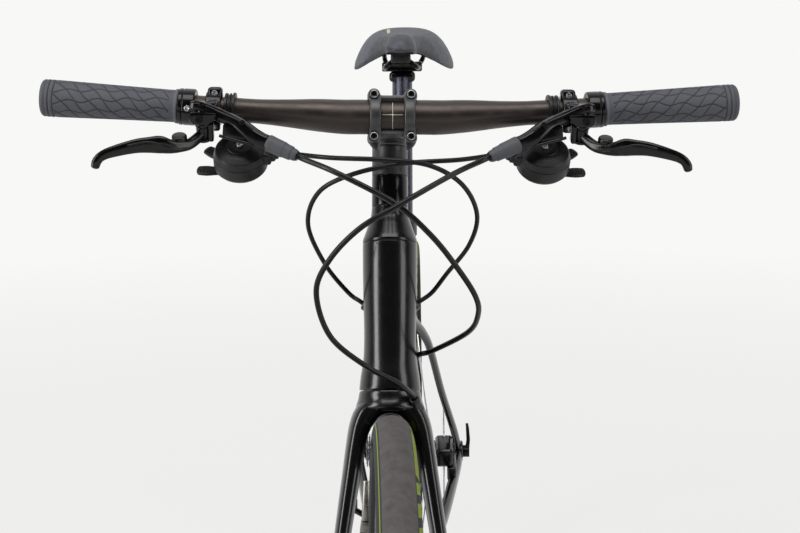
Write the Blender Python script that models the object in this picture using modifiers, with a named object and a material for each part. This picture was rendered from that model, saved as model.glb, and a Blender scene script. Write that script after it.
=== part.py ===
"""A flat-bar fitness road bicycle, modelled as separate pieces on their joint axes.

Metres, +Z up. The bicycle faces -Y: +X is the rider's left, the side of the brake discs, and -X the
rider's right, the side of the chain. The origin is on the ground, midway between the two axles.
"""

import math

import bmesh
import bpy
from mathutils import Matrix, Vector

# Clearances
SEAT_GAP = 0.0003
RUNNING_GAP = 0.0007

# Wheels, shared by front and rear
WHEELBASE = 1.010
RIM_BED_RADIUS = 0.3131
TYRE_HEIGHT = 0.0294
TYRE_RADIUS = RIM_BED_RADIUS + TYRE_HEIGHT
TYRE_WIDTH = 0.036
RIM_DEPTH = 0.0206
RIM_WIDTH = 0.0236
SPOKES_FRONT = 24
SPOKES_REAR = 24
SPOKE_RADIUS = 0.0013
SPOKE_SWEEP = math.radians(34.0)
AXLE_RADIUS = 0.0059

# Front and rear hubs: widths between the dropouts, and where flanges and brake discs stand
FRONT_HUB_WIDTH = 0.100
FRONT_FLANGES = (0.0240, -0.0330)
FRONT_FLANGE_RADIUS = 0.0215
FRONT_DISC_X = 0.0395
REAR_HUB_WIDTH = 0.142
REAR_FLANGES = (0.0340, -0.0200)
REAR_FLANGE_RADIUS = 0.0265
REAR_DISC_X = 0.0555
HUB_SHELL_RADIUS = 0.0125
HUB_END_RADIUS = 0.0105
HUB_SIDES = 12
DISC_RADIUS = 0.080
DISC_THICKNESS = 0.0018
DISC_BAND = 0.0150
DISC_SEAT_RADIUS = 0.0168
DISC_SLOT = 0.0034

# Steering geometry
HEAD_ANGLE = math.radians(72.0)
FORK_OVER_TYRE = 0.0275
FORK_LENGTH = TYRE_RADIUS + FORK_OVER_TYRE
FORK_RAKE = 0.048
STEER_AT_REST = math.radians(3.5)

# Head tube and headset, measured along the steerer from the crown race upwards
CROWN_SEAM = 0.0008
HEAD_TUBE_LENGTH = 0.141
HEAD_TUBE_FOOT_RADIUS = 0.0293
HEAD_TUBE_WAIST_RADIUS = 0.0248
HEAD_TUBE_TOP_RADIUS = 0.0262
UPPER_BEARING_RADIUS = 0.0209
LOWER_BEARING_RADIUS = 0.0260
BEARING_HEIGHT = 0.0070
STEERER_RADIUS = 0.0143
STEERER_FOOT_RADIUS = 0.0198
STEERER_BORE = 0.0118
CONE_HEIGHT = 0.035
GLOSS_SPACER_HEIGHT = 0.030
MATT_SPACER_HEIGHT = 0.028
SPACER_RADIUS = 0.0174

# Stem and handlebar
STEM_LENGTH = 0.080
STEM_DROP = math.radians(6.0)
STEM_CLAMP_HEIGHT = 0.040
STEM_CLAMP_RADIUS = 0.0178
STEM_TUBE_RADIUS = 0.0160
BAR_CLAMP_RADIUS = 0.0159
BAR_CLAMP_WALL = 0.0042
BAR_CLAMP_HALF_WIDTH = 0.0225
STEM_BOLT_ASIDE = 0.0169
STEM_BOLT_HEIGHT = 0.0193
STEM_BOLT_BOSS = 0.0060
BAR_HALF_WIDTH = 0.320
BAR_GRIP_RADIUS = 0.0111
BAR_CENTRE_HALF = 0.045
BAR_TAPER_END = 0.120
BAR_RISE = math.radians(3.1)
BAR_SWEEP = math.radians(2.5)
GRIP_LENGTH = 0.126
GRIP_RADIUS = 0.0163
LOCK_RING_WIDTH = 0.015
LOCK_RING_RADIUS = 0.0168
GRIP_SIDES = 10

# Brake levers and shifters, on the rider's left, mirrored for the right
BRAKE_CLAMP_X = 0.1635
BRAKE_CLAMP_WIDTH = 0.0140
SHIFT_CLAMP_X = 0.1490
SHIFT_CLAMP_WIDTH = 0.0090
CONTROL_CLAMP_RADIUS = 0.0155
LEVER_PIVOT_FROM_BAR = Vector((0.1700, -0.0328, -0.0114))
LEVER_ROOT_FROM_BAR = Vector((0.1660, -0.0283, 0.0081))
LEVER_TILT = math.radians(22.7)
LEVER_BOSS_RADIUS = 0.0060
LEVER_BOSS_HALF = 0.0055
LEVER_PIN_RADIUS = 0.0019
HOSE_RADIUS = 0.00255
HOUSING_RADIUS = 0.0022
BOOT_RADIUS = 0.0072
BOOT_START_FROM_BAR = Vector((0.1105, -0.0460, -0.0204))
BOOT_END_FROM_BAR = Vector((0.0855, -0.0543, -0.0307))
POD_CENTRE_FROM_BAR = Vector((0.1380, -0.0208, -0.0349))
POD_TILT = math.radians(37.0)
POD_RADIUS = 0.0245
POD_HALF_HEIGHT = 0.0130
POD_PIN_RADIUS = 0.0030
SHIFT_LEVER_THICKNESS = 0.0036
SHIFT_LEVER_REACH = 0.043
RELEASE_LEVER_REACH = 0.041
BARREL_ROOT = Vector((-0.0180, -0.0040, 0.0))
BARREL_END_FROM_BAR = Vector((0.1035, -0.0263, -0.0324))

# Frame
BB_DROP = 0.070
STAY_PAST_TYRE = 0.0825
CHAINSTAY_LENGTH = TYRE_RADIUS + STAY_PAST_TYRE
SEAT_ANGLE = math.radians(73.5)
SEAT_TUBE_LENGTH = 0.500
SEAT_TUBE_RADIUS = 0.0166
SEAT_COLLAR_RADIUS = 0.0185
SEAT_COLLAR_HEIGHT = 0.018
SEAT_BORE_DEPTH = 0.235
TOP_TUBE_AT_HEAD = 0.113
TOP_TUBE_AT_SEAT = 0.462
DOWN_TUBE_AT_HEAD = 0.0480
SEAT_STAY_AT_SEAT = 0.385
BB_SHELL_RADIUS = 0.0230
BB_SHELL_WIDTH = 0.0865
BB_BODY_RADIUS = 0.0200
DROPOUT_THICKNESS = 0.0144
DROPOUT_RADIUS = 0.0165
HANGER_FROM_AXLE = (0.0150, -0.0315)
PORT_RADIUS = 0.0046

# Saddle and seatpost
SEATPOST_RADIUS = 0.0136
SEATPOST_INSERT = 0.110
SADDLE_CROWN_HEIGHT = 1.0095
SADDLE_LENGTH = 0.270
SADDLE_HALF_WIDTH = 0.0715
SADDLE_NOSE_HALF_WIDTH = 0.0185
SADDLE_PAD_THICKNESS = 0.017
SADDLE_SHELL_THICKNESS = 0.003
SADDLE_SHELL_DROP = 0.0004
SADDLE_NOSE_FALL = 0.016
SADDLE_WING_FALL = 0.055
SADDLE_DRAWN_IN = 0.965
RAIL_RADIUS = 0.0035
RAIL_ASIDE = 0.022
RAIL_BELOW_CROWN = 0.0515
RAIL_HEIGHT = SADDLE_CROWN_HEIGHT - RAIL_BELOW_CROWN
CLAMP_BEHIND_POST = 0.00065
NOSE_BEFORE_CLAMP = 0.1215
CLAMP_LENGTH = 0.034

# Crankset, pedals and bottom bracket
CRANK_LENGTH = 0.1725
CRANK_INNER_X = 0.0540
CRANK_BOSS_RADIUS = 0.0200
CRANK_BOSS_WIDTH = 0.0130
CRANK_FLARE = 0.0090
CRANK_EYE_RADIUS = 0.0135
SPINDLE_RADIUS = 0.0120
BB_CUP_RADIUS = 0.0225
PEDAL_LENGTH = 0.092
PEDAL_WIDTH = 0.090
PEDAL_THICKNESS = 0.018
PEDAL_SPINDLE_RADIUS = 0.0046
SPIDER_ARMS = 4
SPIDER_REACH = 0.0600
RING_INNER_RADIUS = 0.0480
RING_THICKNESS = 0.0019
LARGE_RING_TEETH = 46
SMALL_RING_TEETH = 30
LARGE_RING_X = -0.0475
RING_SPACING = 0.0070

# Chain, cassette and derailleurs
CHAIN_PITCH = 0.0127
CHAIN_HALF_WIDTH = 0.0025
CHAIN_HALF_HEIGHT = 0.0042
CHAIN_SLOT_HALF = 0.0014
TOOTH_ROOT = 0.0049
TOOTH_TIP = 0.0024
COGS = (32, 28, 25, 22, 20, 18, 16, 14, 13, 12, 11)
COG_SPACING = 0.00374
COG_IN_USE = 18
COG_SIDES = 10
PULLEY_TEETH = 11
PULLEY_HALF_WIDTH = 0.0011
PULLEY_BOLT = 0.0024
STUB_RADIUS = 0.0065
STUB_LENGTH = 0.0070
LINK_PIN_RADIUS = 0.0021
YOKE_WALL = 0.0032
CAGE_PIVOT_FROM_AXLE = (-0.0050, -0.1095)
PULLEY_SPACING = 0.056
CAGE_LEAN = math.radians(17.0)
CAGE_PLATE = 0.0016
CAGE_HALF_GAP = 0.0068
LINK_LENGTH = 0.036
LINK_LEAN = math.radians(20.0)
LINK_TOP_FROM_AXLE = Vector((-0.0895, 0.0120, -0.0535))
LINK_HALF_WIDTH = 0.0070
FRONT_MECH_HEIGHT = 0.160
FRONT_MECH_ROD_RADIUS = 0.0034

# Derived directions and places
ASIDE = Vector((1.0, 0.0, 0.0))
STEER_AXIS = Vector((0.0, math.cos(HEAD_ANGLE), math.sin(HEAD_ANGLE)))
STEER_AHEAD = Vector((0.0, -math.sin(HEAD_ANGLE), math.cos(HEAD_ANGLE)))
SEAT_AXIS = Vector((0.0, math.cos(SEAT_ANGLE), math.sin(SEAT_ANGLE)))
FRONT_AXLE = Vector((0.0, -WHEELBASE / 2, TYRE_RADIUS))
REAR_AXLE = Vector((0.0, WHEELBASE / 2, TYRE_RADIUS))
FORK_DROP = math.sqrt(FORK_LENGTH**2 - FORK_RAKE**2)
CROWN = FRONT_AXLE - STEER_AHEAD * FORK_RAKE + STEER_AXIS * FORK_DROP
BB_CENTRE = Vector((0.0, REAR_AXLE.y - math.sqrt(CHAINSTAY_LENGTH**2 - BB_DROP**2), TYRE_RADIUS - BB_DROP))
HEAD_TOP = CROWN_SEAM + HEAD_TUBE_LENGTH
CONE_FOOT = HEAD_TOP + SEAT_GAP
SPACER_FOOT = CONE_FOOT + CONE_HEIGHT + SEAT_GAP
STEM_FOOT = SPACER_FOOT + GLOSS_SPACER_HEIGHT + MATT_SPACER_HEIGHT + SEAT_GAP
STEERER_TOP = STEM_FOOT + STEM_CLAMP_HEIGHT - 0.003
STEM_AHEAD = STEER_AHEAD * math.cos(STEM_DROP) - STEER_AXIS * math.sin(STEM_DROP)
STEM_UP = STEM_AHEAD.cross(ASIDE)
BAR_CENTRE = CROWN + STEER_AXIS * (STEM_FOOT + STEM_CLAMP_HEIGHT / 2) + STEM_AHEAD * STEM_LENGTH
LEVER_PIVOT = BAR_CENTRE + LEVER_PIVOT_FROM_BAR
LEVER_ROOT = BAR_CENTRE + LEVER_ROOT_FROM_BAR
BOOT_START = BAR_CENTRE + BOOT_START_FROM_BAR
BOOT_END = BAR_CENTRE + BOOT_END_FROM_BAR
POD_CENTRE = BAR_CENTRE + POD_CENTRE_FROM_BAR
BARREL_END = BAR_CENTRE + BARREL_END_FROM_BAR
LEVER_AXIS = Vector((0.0, -math.sin(LEVER_TILT), math.cos(LEVER_TILT)))
POD_AXIS = Vector((0.0, -math.sin(POD_TILT), math.cos(POD_TILT)))
POD_BACK = POD_AXIS.cross(ASIDE)
DROPOUT_X = REAR_HUB_WIDTH / 2 + SEAT_GAP + DROPOUT_THICKNESS / 2
RIM_INNER_RADIUS = RIM_BED_RADIUS - RIM_DEPTH
HANGER_PIVOT = (REAR_AXLE.y + HANGER_FROM_AXLE[0], REAR_AXLE.z + HANGER_FROM_AXLE[1])
CAGE_PIVOT = (REAR_AXLE.y + CAGE_PIVOT_FROM_AXLE[0], REAR_AXLE.z + CAGE_PIVOT_FROM_AXLE[1])
LINK_TOP = REAR_AXLE + LINK_TOP_FROM_AXLE
CLAMP_Y = BB_CENTRE.y + (RAIL_HEIGHT - BB_CENTRE.z) / math.tan(SEAT_ANGLE) + CLAMP_BEHIND_POST
SADDLE_NOSE_Y = CLAMP_Y - NOSE_BEFORE_CLAMP

WHEEL_SIDES = 34
TUBE_SIDES = 12
SMALL_SIDES = 8
SECTION_POINTS = 10
OFF_EDGE = math.radians(4.0)

COLLECTION = "fitness_road_bike"
FINISHES = {
    "gloss_black": ((0.012, 0.012, 0.014), 0.18, 0.0),
    "satin_black": ((0.020, 0.020, 0.022), 0.42, 0.3),
    "black_plastic": ((0.018, 0.018, 0.019), 0.50, 0.0),
    "grip_rubber": ((0.070, 0.072, 0.078), 0.75, 0.0),
    "tyre_rubber": ((0.055, 0.053, 0.055), 0.85, 0.0),
    "steel": ((0.42, 0.42, 0.44), 0.32, 1.0),
    "dark_steel": ((0.10, 0.10, 0.11), 0.40, 1.0),
    "cable_black": ((0.015, 0.015, 0.016), 0.35, 0.0),
    "saddle_cover": ((0.060, 0.063, 0.070), 0.65, 0.0),
}
straight_matrices = {}


def clear_scene():
    for obj in list(bpy.data.objects):
        bpy.data.objects.remove(obj, do_unlink=True)


def make_collections():
    pieces = bpy.data.collections.new(COLLECTION)
    cutters = bpy.data.collections.new("cutters")
    bpy.context.scene.collection.children.link(pieces)
    bpy.context.scene.collection.children.link(cutters)
    return pieces, cutters


def make_finishes():
    made = {}
    for name, (colour, roughness, metallic) in FINISHES.items():
        finish = bpy.data.materials.new(name)
        finish.use_nodes = True
        surface = finish.node_tree.nodes["Principled BSDF"]
        surface.inputs["Base Color"].default_value = (*colour, 1.0)
        surface.inputs["Roughness"].default_value = roughness
        surface.inputs["Metallic"].default_value = metallic
        made[name] = finish
    return made


def add_object(name, data, finish=None):
    """A piece with a finish, or a helper shape without one."""
    obj = bpy.data.objects.new(name, data)
    if finish:
        data.materials.append(finishes[finish])
        pieces.objects.link(obj)
    else:
        obj.hide_render = True
        obj.display_type = "WIRE"
        cutters.objects.link(obj)
    return obj


def from_bmesh(name, bm, finish=None):
    bmesh.ops.recalc_face_normals(bm, faces=bm.faces)
    mesh = bpy.data.meshes.new(name)
    bm.to_mesh(mesh)
    bm.free()
    mesh.shade_smooth()
    mesh.set_sharp_from_angle(angle=math.radians(32.0))
    return add_object(name, mesh, finish)


def facing(origin, direction, spin=0.0):
    """The matrix that puts local Z along a direction, at an origin."""
    turn = direction.to_track_quat("Z", "Y").to_matrix().to_4x4()
    return Matrix.Translation(origin) @ turn @ Matrix.Rotation(spin, 4, "Z")


def frame_of(origin, x_axis, y_axis, z_axis):
    turn = Matrix((x_axis, y_axis, z_axis)).transposed().to_4x4()
    return Matrix.Translation(origin) @ turn


def box(name, size, matrix, finish=None, rounding=0.0):
    """A box of this size about the matrix's origin, or about a point."""
    if isinstance(matrix, Vector):
        matrix = Matrix.Translation(matrix)
    bm = bmesh.new()
    bmesh.ops.create_cube(bm, size=1.0)
    bmesh.ops.scale(bm, vec=Vector(size), verts=bm.verts)
    if rounding:
        bmesh.ops.bevel(bm, geom=bm.edges, offset=rounding, segments=1, affect="EDGES")
    bmesh.ops.transform(bm, matrix=matrix, verts=bm.verts)
    return from_bmesh(name, bm, finish)


def rod(name, radius, start, end, sides=SMALL_SIDES, finish=None, spin=0.0):
    """A cylinder between two points."""
    span = end - start
    bm = bmesh.new()
    length = span.length
    bmesh.ops.create_cone(bm, cap_ends=True, segments=sides, radius1=radius, radius2=radius, depth=length)
    bmesh.ops.transform(bm, matrix=facing((start + end) / 2, span.normalized(), spin), verts=bm.verts)
    return from_bmesh(name, bm, finish)


def bore_for(radius, sides, gap=SEAT_GAP):
    """The radius of a faceted bore whose flats stand a gap off a round shaft."""
    return (radius + gap) / math.cos(math.pi / sides)


def bore(name, shaft_radius, start, end, sides=SMALL_SIDES, gap=SEAT_GAP):
    """A cutter that clears a shaft, turned a little so that no cut runs along an edge."""
    return rod(name, bore_for(shaft_radius, sides, gap), start, end, sides, spin=OFF_EDGE)


def turned(name, outline, origin, direction, sides=TUBE_SIDES, finish=None, ring=False, spin=0.0):
    """An outline of (along, radius) points turned about a direction, from the far end back."""
    mesh = bpy.data.meshes.new(name)
    points = [(radius, 0.0, along) for along, radius in outline]
    links = [(i, i + 1) for i in range(len(points) - 1)]
    if ring:
        links.append((len(points) - 1, 0))
    mesh.from_pydata(points, links, [])
    obj = add_object(name, mesh, finish)
    obj.matrix_world = facing(origin, direction, spin)
    screw = obj.modifiers.new("turn", "SCREW")
    screw.axis = "Z"
    screw.steps = sides
    screw.render_steps = sides
    screw.use_merge_vertices = True
    screw.merge_threshold = 0.00001
    screw.use_smooth_shade = True
    return obj


def loft(name, rings, finish=None):
    """A closed skin over rings of equally many points."""
    bm = bmesh.new()
    rows = [[bm.verts.new(point) for point in ring] for ring in rings]
    count = len(rows[0])
    for near, far in zip(rows, rows[1:]):
        for i in range(count):
            j = (i + 1) % count
            bm.faces.new((near[i], near[j], far[j], far[i]))
    bm.faces.new(list(reversed(rows[0])))
    bm.faces.new(rows[-1])
    return from_bmesh(name, bm, finish)


def oval(half_width, half_height, power, count):
    """Points of a superellipse: power 2 is an ellipse, and a larger one is boxier."""
    points = []
    for i in range(count):
        turn = 2 * math.pi * (i + 0.5) / count
        cosine, sine = math.cos(turn), math.sin(turn)
        across = math.copysign(abs(cosine) ** (2 / power), cosine) * half_width
        up = math.copysign(abs(sine) ** (2 / power), sine) * half_height
        points.append((across, up))
    return points


def swept(name, stations, across, finish=None, power=2.0, count=12):
    """A tube of changing oval section through stations of (centre, half width, half height)."""
    rings = []
    for i, (centre, half_width, half_height) in enumerate(stations):
        before = stations[max(i - 1, 0)][0]
        after = stations[min(i + 1, len(stations) - 1)][0]
        along = (after - before).normalized()
        side = (across - along * across.dot(along)).normalized()
        up = along.cross(side)
        rings.append([centre + side * a + up * b for a, b in oval(half_width, half_height, power, count)])
    return loft(name, rings, finish)


def smooth_route(points, spacing):
    """Points about a spacing apart on a smooth curve through the given ones."""
    padded = [points[0] * 2 - points[1], *points, points[-1] * 2 - points[-2]]
    route = []
    for i in range(1, len(padded) - 2):
        before, start, end, after = padded[i - 1 : i + 3]
        steps = max(1, round((end - start).length / spacing))
        for k in range(steps):
            t = k / steps
            route.append(
                0.5
                * (
                    2 * start
                    + (end - before) * t
                    + (2 * before - 5 * start + 4 * end - after) * t**2
                    + (3 * start - before - 3 * end + after) * t**3
                )
            )
    route.append(points[-1])
    return route


def tube(name, points, radius, finish=None, swell=None, rounds=2):
    """A round tube along points, with a factor on its radius at each if swell is given."""
    curve = bpy.data.curves.new(name, "CURVE")
    curve.dimensions = "3D"
    curve.bevel_depth = radius
    curve.bevel_resolution = rounds
    curve.use_fill_caps = True
    spline = curve.splines.new("POLY")
    spline.points.add(len(points) - 1)
    for i, point in enumerate(points):
        spline.points[i].co = (*point, 1.0)
        spline.points[i].radius = swell[i] if swell else 1.0
    return add_object(name, curve, finish)


def as_mesh(obj):
    """The same shape as a mesh with welded caps, so that a Boolean can use it."""
    graph = bpy.context.evaluated_depsgraph_get()
    mesh = bpy.data.meshes.new_from_object(obj.evaluated_get(graph))
    bm = bmesh.new()
    bm.from_mesh(mesh)
    bmesh.ops.remove_doubles(bm, verts=bm.verts, dist=0.000005)
    bmesh.ops.recalc_face_normals(bm, faces=bm.faces)
    bm.to_mesh(mesh)
    bm.free()
    name = obj.name
    made = bpy.data.objects.new(name, mesh)
    made.matrix_world = obj.matrix_world.copy()
    made.hide_render = obj.hide_render
    made.display_type = obj.display_type
    for collection in obj.users_collection:
        collection.objects.link(made)
    bpy.data.objects.remove(obj, do_unlink=True)
    made.name = name
    return made


def flat_plate(name, outlines, thickness, matrix, finish=None):
    """A plate from a closed outline and its holes, as thick about the matrix's XY plane."""
    curve = bpy.data.curves.new(name, "CURVE")
    curve.dimensions = "2D"
    curve.fill_mode = "BOTH"
    curve.extrude = thickness / 2
    for outline in outlines:
        spline = curve.splines.new("POLY")
        spline.points.add(len(outline) - 1)
        spline.use_cyclic_u = True
        for i, (across, up) in enumerate(outline):
            spline.points[i].co = (across, up, 0.0, 1.0)
    obj = add_object(name, curve, finish)
    obj.matrix_world = matrix
    return as_mesh(obj)


def circle(radius, sides, centre=(0.0, 0.0), start=0.0):
    return [
        (
            centre[0] + radius * math.cos(start + 2 * math.pi * i / sides),
            centre[1] + radius * math.sin(start + 2 * math.pi * i / sides),
        )
        for i in range(sides)
    ]


def combine(target, operation, others):
    for other in others:
        modifier = target.modifiers.new(f"{operation.lower()}_{other.name}", "BOOLEAN")
        modifier.operation = operation
        modifier.solver = "EXACT"
        modifier.object = other
    return target


def join(target, *others):
    return combine(target, "UNION", others)


def cut(target, *others):
    return combine(target, "DIFFERENCE", others)


def axis_empty(name, origin, direction, parent=None):
    """An empty whose local Z is a joint's axis."""
    empty = bpy.data.objects.new(name, None)
    empty.empty_display_size = 0.02
    pieces.objects.link(empty)
    empty.matrix_world = facing(origin, direction)
    straight_matrices[name] = empty.matrix_world.copy()
    if parent:
        carry(parent, empty)
    return empty


def carry(empty, *objects):
    """Parents objects, and the helpers of their Booleans, to a joint's empty where they stand."""
    for obj in objects:
        obj.parent = empty
        obj.matrix_parent_inverse = straight_matrices[empty.name].inverted()
        for modifier in obj.modifiers:
            if modifier.type == "BOOLEAN" and modifier.object.parent is None:
                carry(empty, modifier.object)


def on_steerer(up, ahead=0.0, aside=0.0):
    return CROWN + STEER_AXIS * up + STEER_AHEAD * ahead + ASIDE * aside


def on_seat_tube(up, ahead=0.0, aside=0.0):
    return BB_CENTRE + SEAT_AXIS * up + ASIDE * aside + ASIDE.cross(SEAT_AXIS) * ahead


def on_bar(aside):
    """The handlebar's centre at a distance from its middle, on the left or right."""
    reach = max(abs(aside) - BAR_CENTRE_HALF, 0.0)
    return BAR_CENTRE + Vector((aside, reach * math.tan(BAR_SWEEP), reach * math.tan(BAR_RISE)))


def along_bar(side):
    """The direction of the handlebar's outer part, outwards."""
    return (on_bar(side * BAR_HALF_WIDTH) - on_bar(side * BAR_TAPER_END)).normalized()


def sided(point, side):
    """A point of the rider's left, or its mirror image on the right."""
    return Vector((point.x * side, point.y, point.z))


def turned_round_steerer(point, angle):
    return CROWN + Matrix.Rotation(angle, 3, STEER_AXIS) @ (point - CROWN)


def pitch_radius(teeth):
    return CHAIN_PITCH / (2 * math.sin(math.pi / teeth))


def blend(start, end, share):
    return start + (end - start) * share


# Frame


def head_tube_solid():
    outline = [
        (HEAD_TOP, 0.0),
        (HEAD_TOP, HEAD_TUBE_TOP_RADIUS),
        (HEAD_TOP - 0.018, HEAD_TUBE_TOP_RADIUS),
        (blend(CROWN_SEAM, HEAD_TOP, 0.66), blend(HEAD_TUBE_WAIST_RADIUS, HEAD_TUBE_TOP_RADIUS, 0.70)),
        (blend(CROWN_SEAM, HEAD_TOP, 0.40), HEAD_TUBE_WAIST_RADIUS),
        (CROWN_SEAM + 0.031, blend(HEAD_TUBE_WAIST_RADIUS, HEAD_TUBE_FOOT_RADIUS, 0.12)),
        (CROWN_SEAM + 0.013, blend(HEAD_TUBE_WAIST_RADIUS, HEAD_TUBE_FOOT_RADIUS, 0.70)),
        (CROWN_SEAM, HEAD_TUBE_FOOT_RADIUS),
        (CROWN_SEAM, 0.0),
    ]
    return turned("frame", outline, CROWN, STEER_AXIS, TUBE_SIDES, "gloss_black")


def head_tube_bore():
    lower = bore_for(LOWER_BEARING_RADIUS, TUBE_SIDES)
    upper = bore_for(UPPER_BEARING_RADIUS, TUBE_SIDES)
    pocket = BEARING_HEIGHT + 2 * SEAT_GAP
    waist = STEERER_FOOT_RADIUS + 0.0008
    foot = STEERER_FOOT_RADIUS + 0.0020
    outline = [
        (HEAD_TOP + 0.010, 0.0),
        (HEAD_TOP + 0.010, upper),
        (HEAD_TOP - pocket, upper),
        (HEAD_TOP - pocket, waist),
        (CROWN_SEAM + pocket, foot),
        (CROWN_SEAM + pocket, lower),
        (-0.010, lower),
        (-0.010, 0.0),
    ]
    return turned("head_tube_bore", outline, CROWN, STEER_AXIS, spin=OFF_EDGE)


def down_tube():
    start = on_steerer(DOWN_TUBE_AT_HEAD)
    sizes = ((0.0, 0.0205, 0.0240), (0.14, 0.0225, 0.0240), (0.5, 0.0225, 0.0222), (1.0, 0.0240, 0.0190))
    stations = [(blend(start, BB_CENTRE, share), width, height) for share, width, height in sizes]
    return swept("down_tube", stations, ASIDE, power=2.5)


def top_tube():
    start = on_steerer(TOP_TUBE_AT_HEAD)
    end = on_seat_tube(TOP_TUBE_AT_SEAT)
    sizes = ((0.0, 0.0175, 0.0210), (0.25, 0.0175, 0.0180), (1.0, 0.0152, 0.0140))
    stations = [(blend(start, end, share), width, height) for share, width, height in sizes]
    return swept("top_tube", stations, ASIDE, power=2.5)


def seat_tube():
    collar = SEAT_TUBE_LENGTH - SEAT_COLLAR_HEIGHT
    outline = [
        (SEAT_TUBE_LENGTH, 0.0),
        (SEAT_TUBE_LENGTH, SEAT_COLLAR_RADIUS),
        (collar, SEAT_COLLAR_RADIUS),
        (collar - 0.004, SEAT_TUBE_RADIUS),
        (0.0, SEAT_TUBE_RADIUS),
        (0.0, 0.0),
    ]
    return turned("seat_tube", outline, BB_CENTRE, SEAT_AXIS)


def chainstay(side):
    start = BB_CENTRE + Vector((0.0, 0.008, 0.002))
    stations = []
    for share, aside, width, height in (
        (0.00, 0.0215, 0.0085, 0.0160),
        (0.12, 0.0245, 0.0082, 0.0152),
        (0.24, 0.0318, 0.0074, 0.0138),
        (0.37, 0.0415, 0.0074, 0.0125),
        (0.53, 0.0548, 0.0078, 0.0115),
        (0.88, DROPOUT_X - 0.0030, 0.0070, 0.0108),
        (1.00, DROPOUT_X, 0.0064, 0.0105),
    ):
        centre = blend(start, REAR_AXLE, share)
        centre.x = side * aside
        stations.append((centre, width, height))
    return swept(f"chainstay_{side}", stations, ASIDE, power=2.6, count=8)


def seat_stay(side):
    start = on_seat_tube(SEAT_STAY_AT_SEAT)
    stations = []
    for share, bow, aside, width, height in (
        (0.00, 0.000, 0.0060, 0.0060, 0.0095),
        (0.12, 0.010, 0.0130, 0.0056, 0.0082),
        (0.24, 0.018, 0.0268, 0.0052, 0.0075),
        (0.34, 0.018, 0.0360, 0.0052, 0.0072),
        (0.60, 0.010, 0.0525, 0.0052, 0.0068),
        (0.84, 0.003, 0.0705, 0.0054, 0.0070),
        (1.00, 0.000, DROPOUT_X, 0.0060, 0.0085),
    ):
        centre = blend(start, REAR_AXLE, share) + Vector((0.0, 0.0, bow))
        centre.x = side * aside
        stations.append((centre, width, height))
    return swept(f"seat_stay_{side}", stations, ASIDE, power=2.4, count=8)


def dropout(side):
    inner = REAR_AXLE + ASIDE * side * (DROPOUT_X - DROPOUT_THICKNESS / 2)
    outer = REAR_AXLE + ASIDE * side * (DROPOUT_X + DROPOUT_THICKNESS / 2)
    return rod(f"dropout_{side}", DROPOUT_RADIUS, inner, outer, 16)


def hanger():
    """The tab below the right dropout that carries the rear derailleur."""
    foot = Vector((0.0, *HANGER_PIVOT))
    top = REAR_AXLE + Vector((0.0, 0.004, -0.008))
    stations = [(top, 0.0030, 0.0110), (blend(top, foot, 0.6), 0.0030, 0.0090), (foot, 0.0030, 0.0085)]
    moved = [(centre + ASIDE * (HANGER_OUTER_X + 0.0036), a, b) for centre, a, b in stations]
    plate = swept("hanger", moved, ASIDE, power=4.0, count=8)
    eye_end = foot + ASIDE * (HANGER_OUTER_X + 0.0070)
    return plate, rod("hanger_eye", 0.0095, foot + ASIDE * HANGER_OUTER_X, eye_end)


HANGER_OUTER_X = -0.0795
STAY_SLOPE = (REAR_AXLE - BB_CENTRE).normalized()
REAR_CALIPER_CENTRE = REAR_AXLE + Vector((REAR_DISC_X, -0.0850, 0.0275))
REAR_CALIPER_SIZE = (0.0270, 0.054, 0.030)
REAR_PAD_HEIGHT = 0.022


def rear_caliper_frame(drop=0.0):
    up = ASIDE.cross(STAY_SLOPE)
    return frame_of(REAR_CALIPER_CENTRE - up * drop, ASIDE, STAY_SLOPE, up)


def rear_caliper_pad():
    """The flat seat that the rear caliper is bolted to, on the left chainstay."""
    drop = REAR_CALIPER_SIZE[2] / 2 + SEAT_GAP + REAR_PAD_HEIGHT / 2
    place = rear_caliper_frame(drop)
    place.translation.x = DROPOUT_X - 0.0115
    return box("rear_caliper_pad", (0.014, REAR_CALIPER_SIZE[1], REAR_PAD_HEIGHT), place)


def cable_ports():
    """Where the rear hose and the two shift housings enter: (place, outward direction)."""
    brake = (CROWN + Vector((0.0232, 0.0310, 0.0264)), Vector((0.86, -0.36, 0.36)).normalized())
    shift = CROWN + Vector((0.0238, 0.0325, 0.0764))
    outward = Vector((0.80, 0.18, 0.57)).normalized()
    return {
        "rear_brake_hose": brake,
        "shift_housing_right": (shift, outward),
        "shift_housing_left": (sided(shift, -1), sided(outward, -1)),
    }


PORT_RISE = 0.0030


def make_frame():
    frame = head_tube_solid()
    shell_half = ASIDE * BB_SHELL_WIDTH / 2
    shell = rod("bb_shell", BB_SHELL_RADIUS, BB_CENTRE - shell_half, BB_CENTRE + shell_half, TUBE_SIDES)
    parts = [down_tube(), top_tube(), seat_tube(), shell]
    for side in (1, -1):
        parts += [chainstay(side), seat_stay(side), dropout(side)]
    parts += hanger()
    parts.append(rear_caliper_pad())
    for name, (place, outward) in cable_ports().items():
        parts.append(rod(f"port_{name}", PORT_RADIUS, place - outward * 0.010, place + outward * PORT_RISE))
    join(frame, *parts)
    reach = ASIDE * 0.2
    seat_bore_start = on_seat_tube(SEAT_TUBE_LENGTH - SEAT_BORE_DEPTH)
    cut(
        frame,
        head_tube_bore(),
        bore("seat_bore", SEATPOST_RADIUS, seat_bore_start, on_seat_tube(0.6), TUBE_SIDES),
        bore("bb_bore", BB_BODY_RADIUS, BB_CENTRE - reach, BB_CENTRE + reach, TUBE_SIDES),
        bore("rear_axle_hole", AXLE_RADIUS, REAR_AXLE - reach, REAR_AXLE + reach),
    )
    return frame


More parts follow.
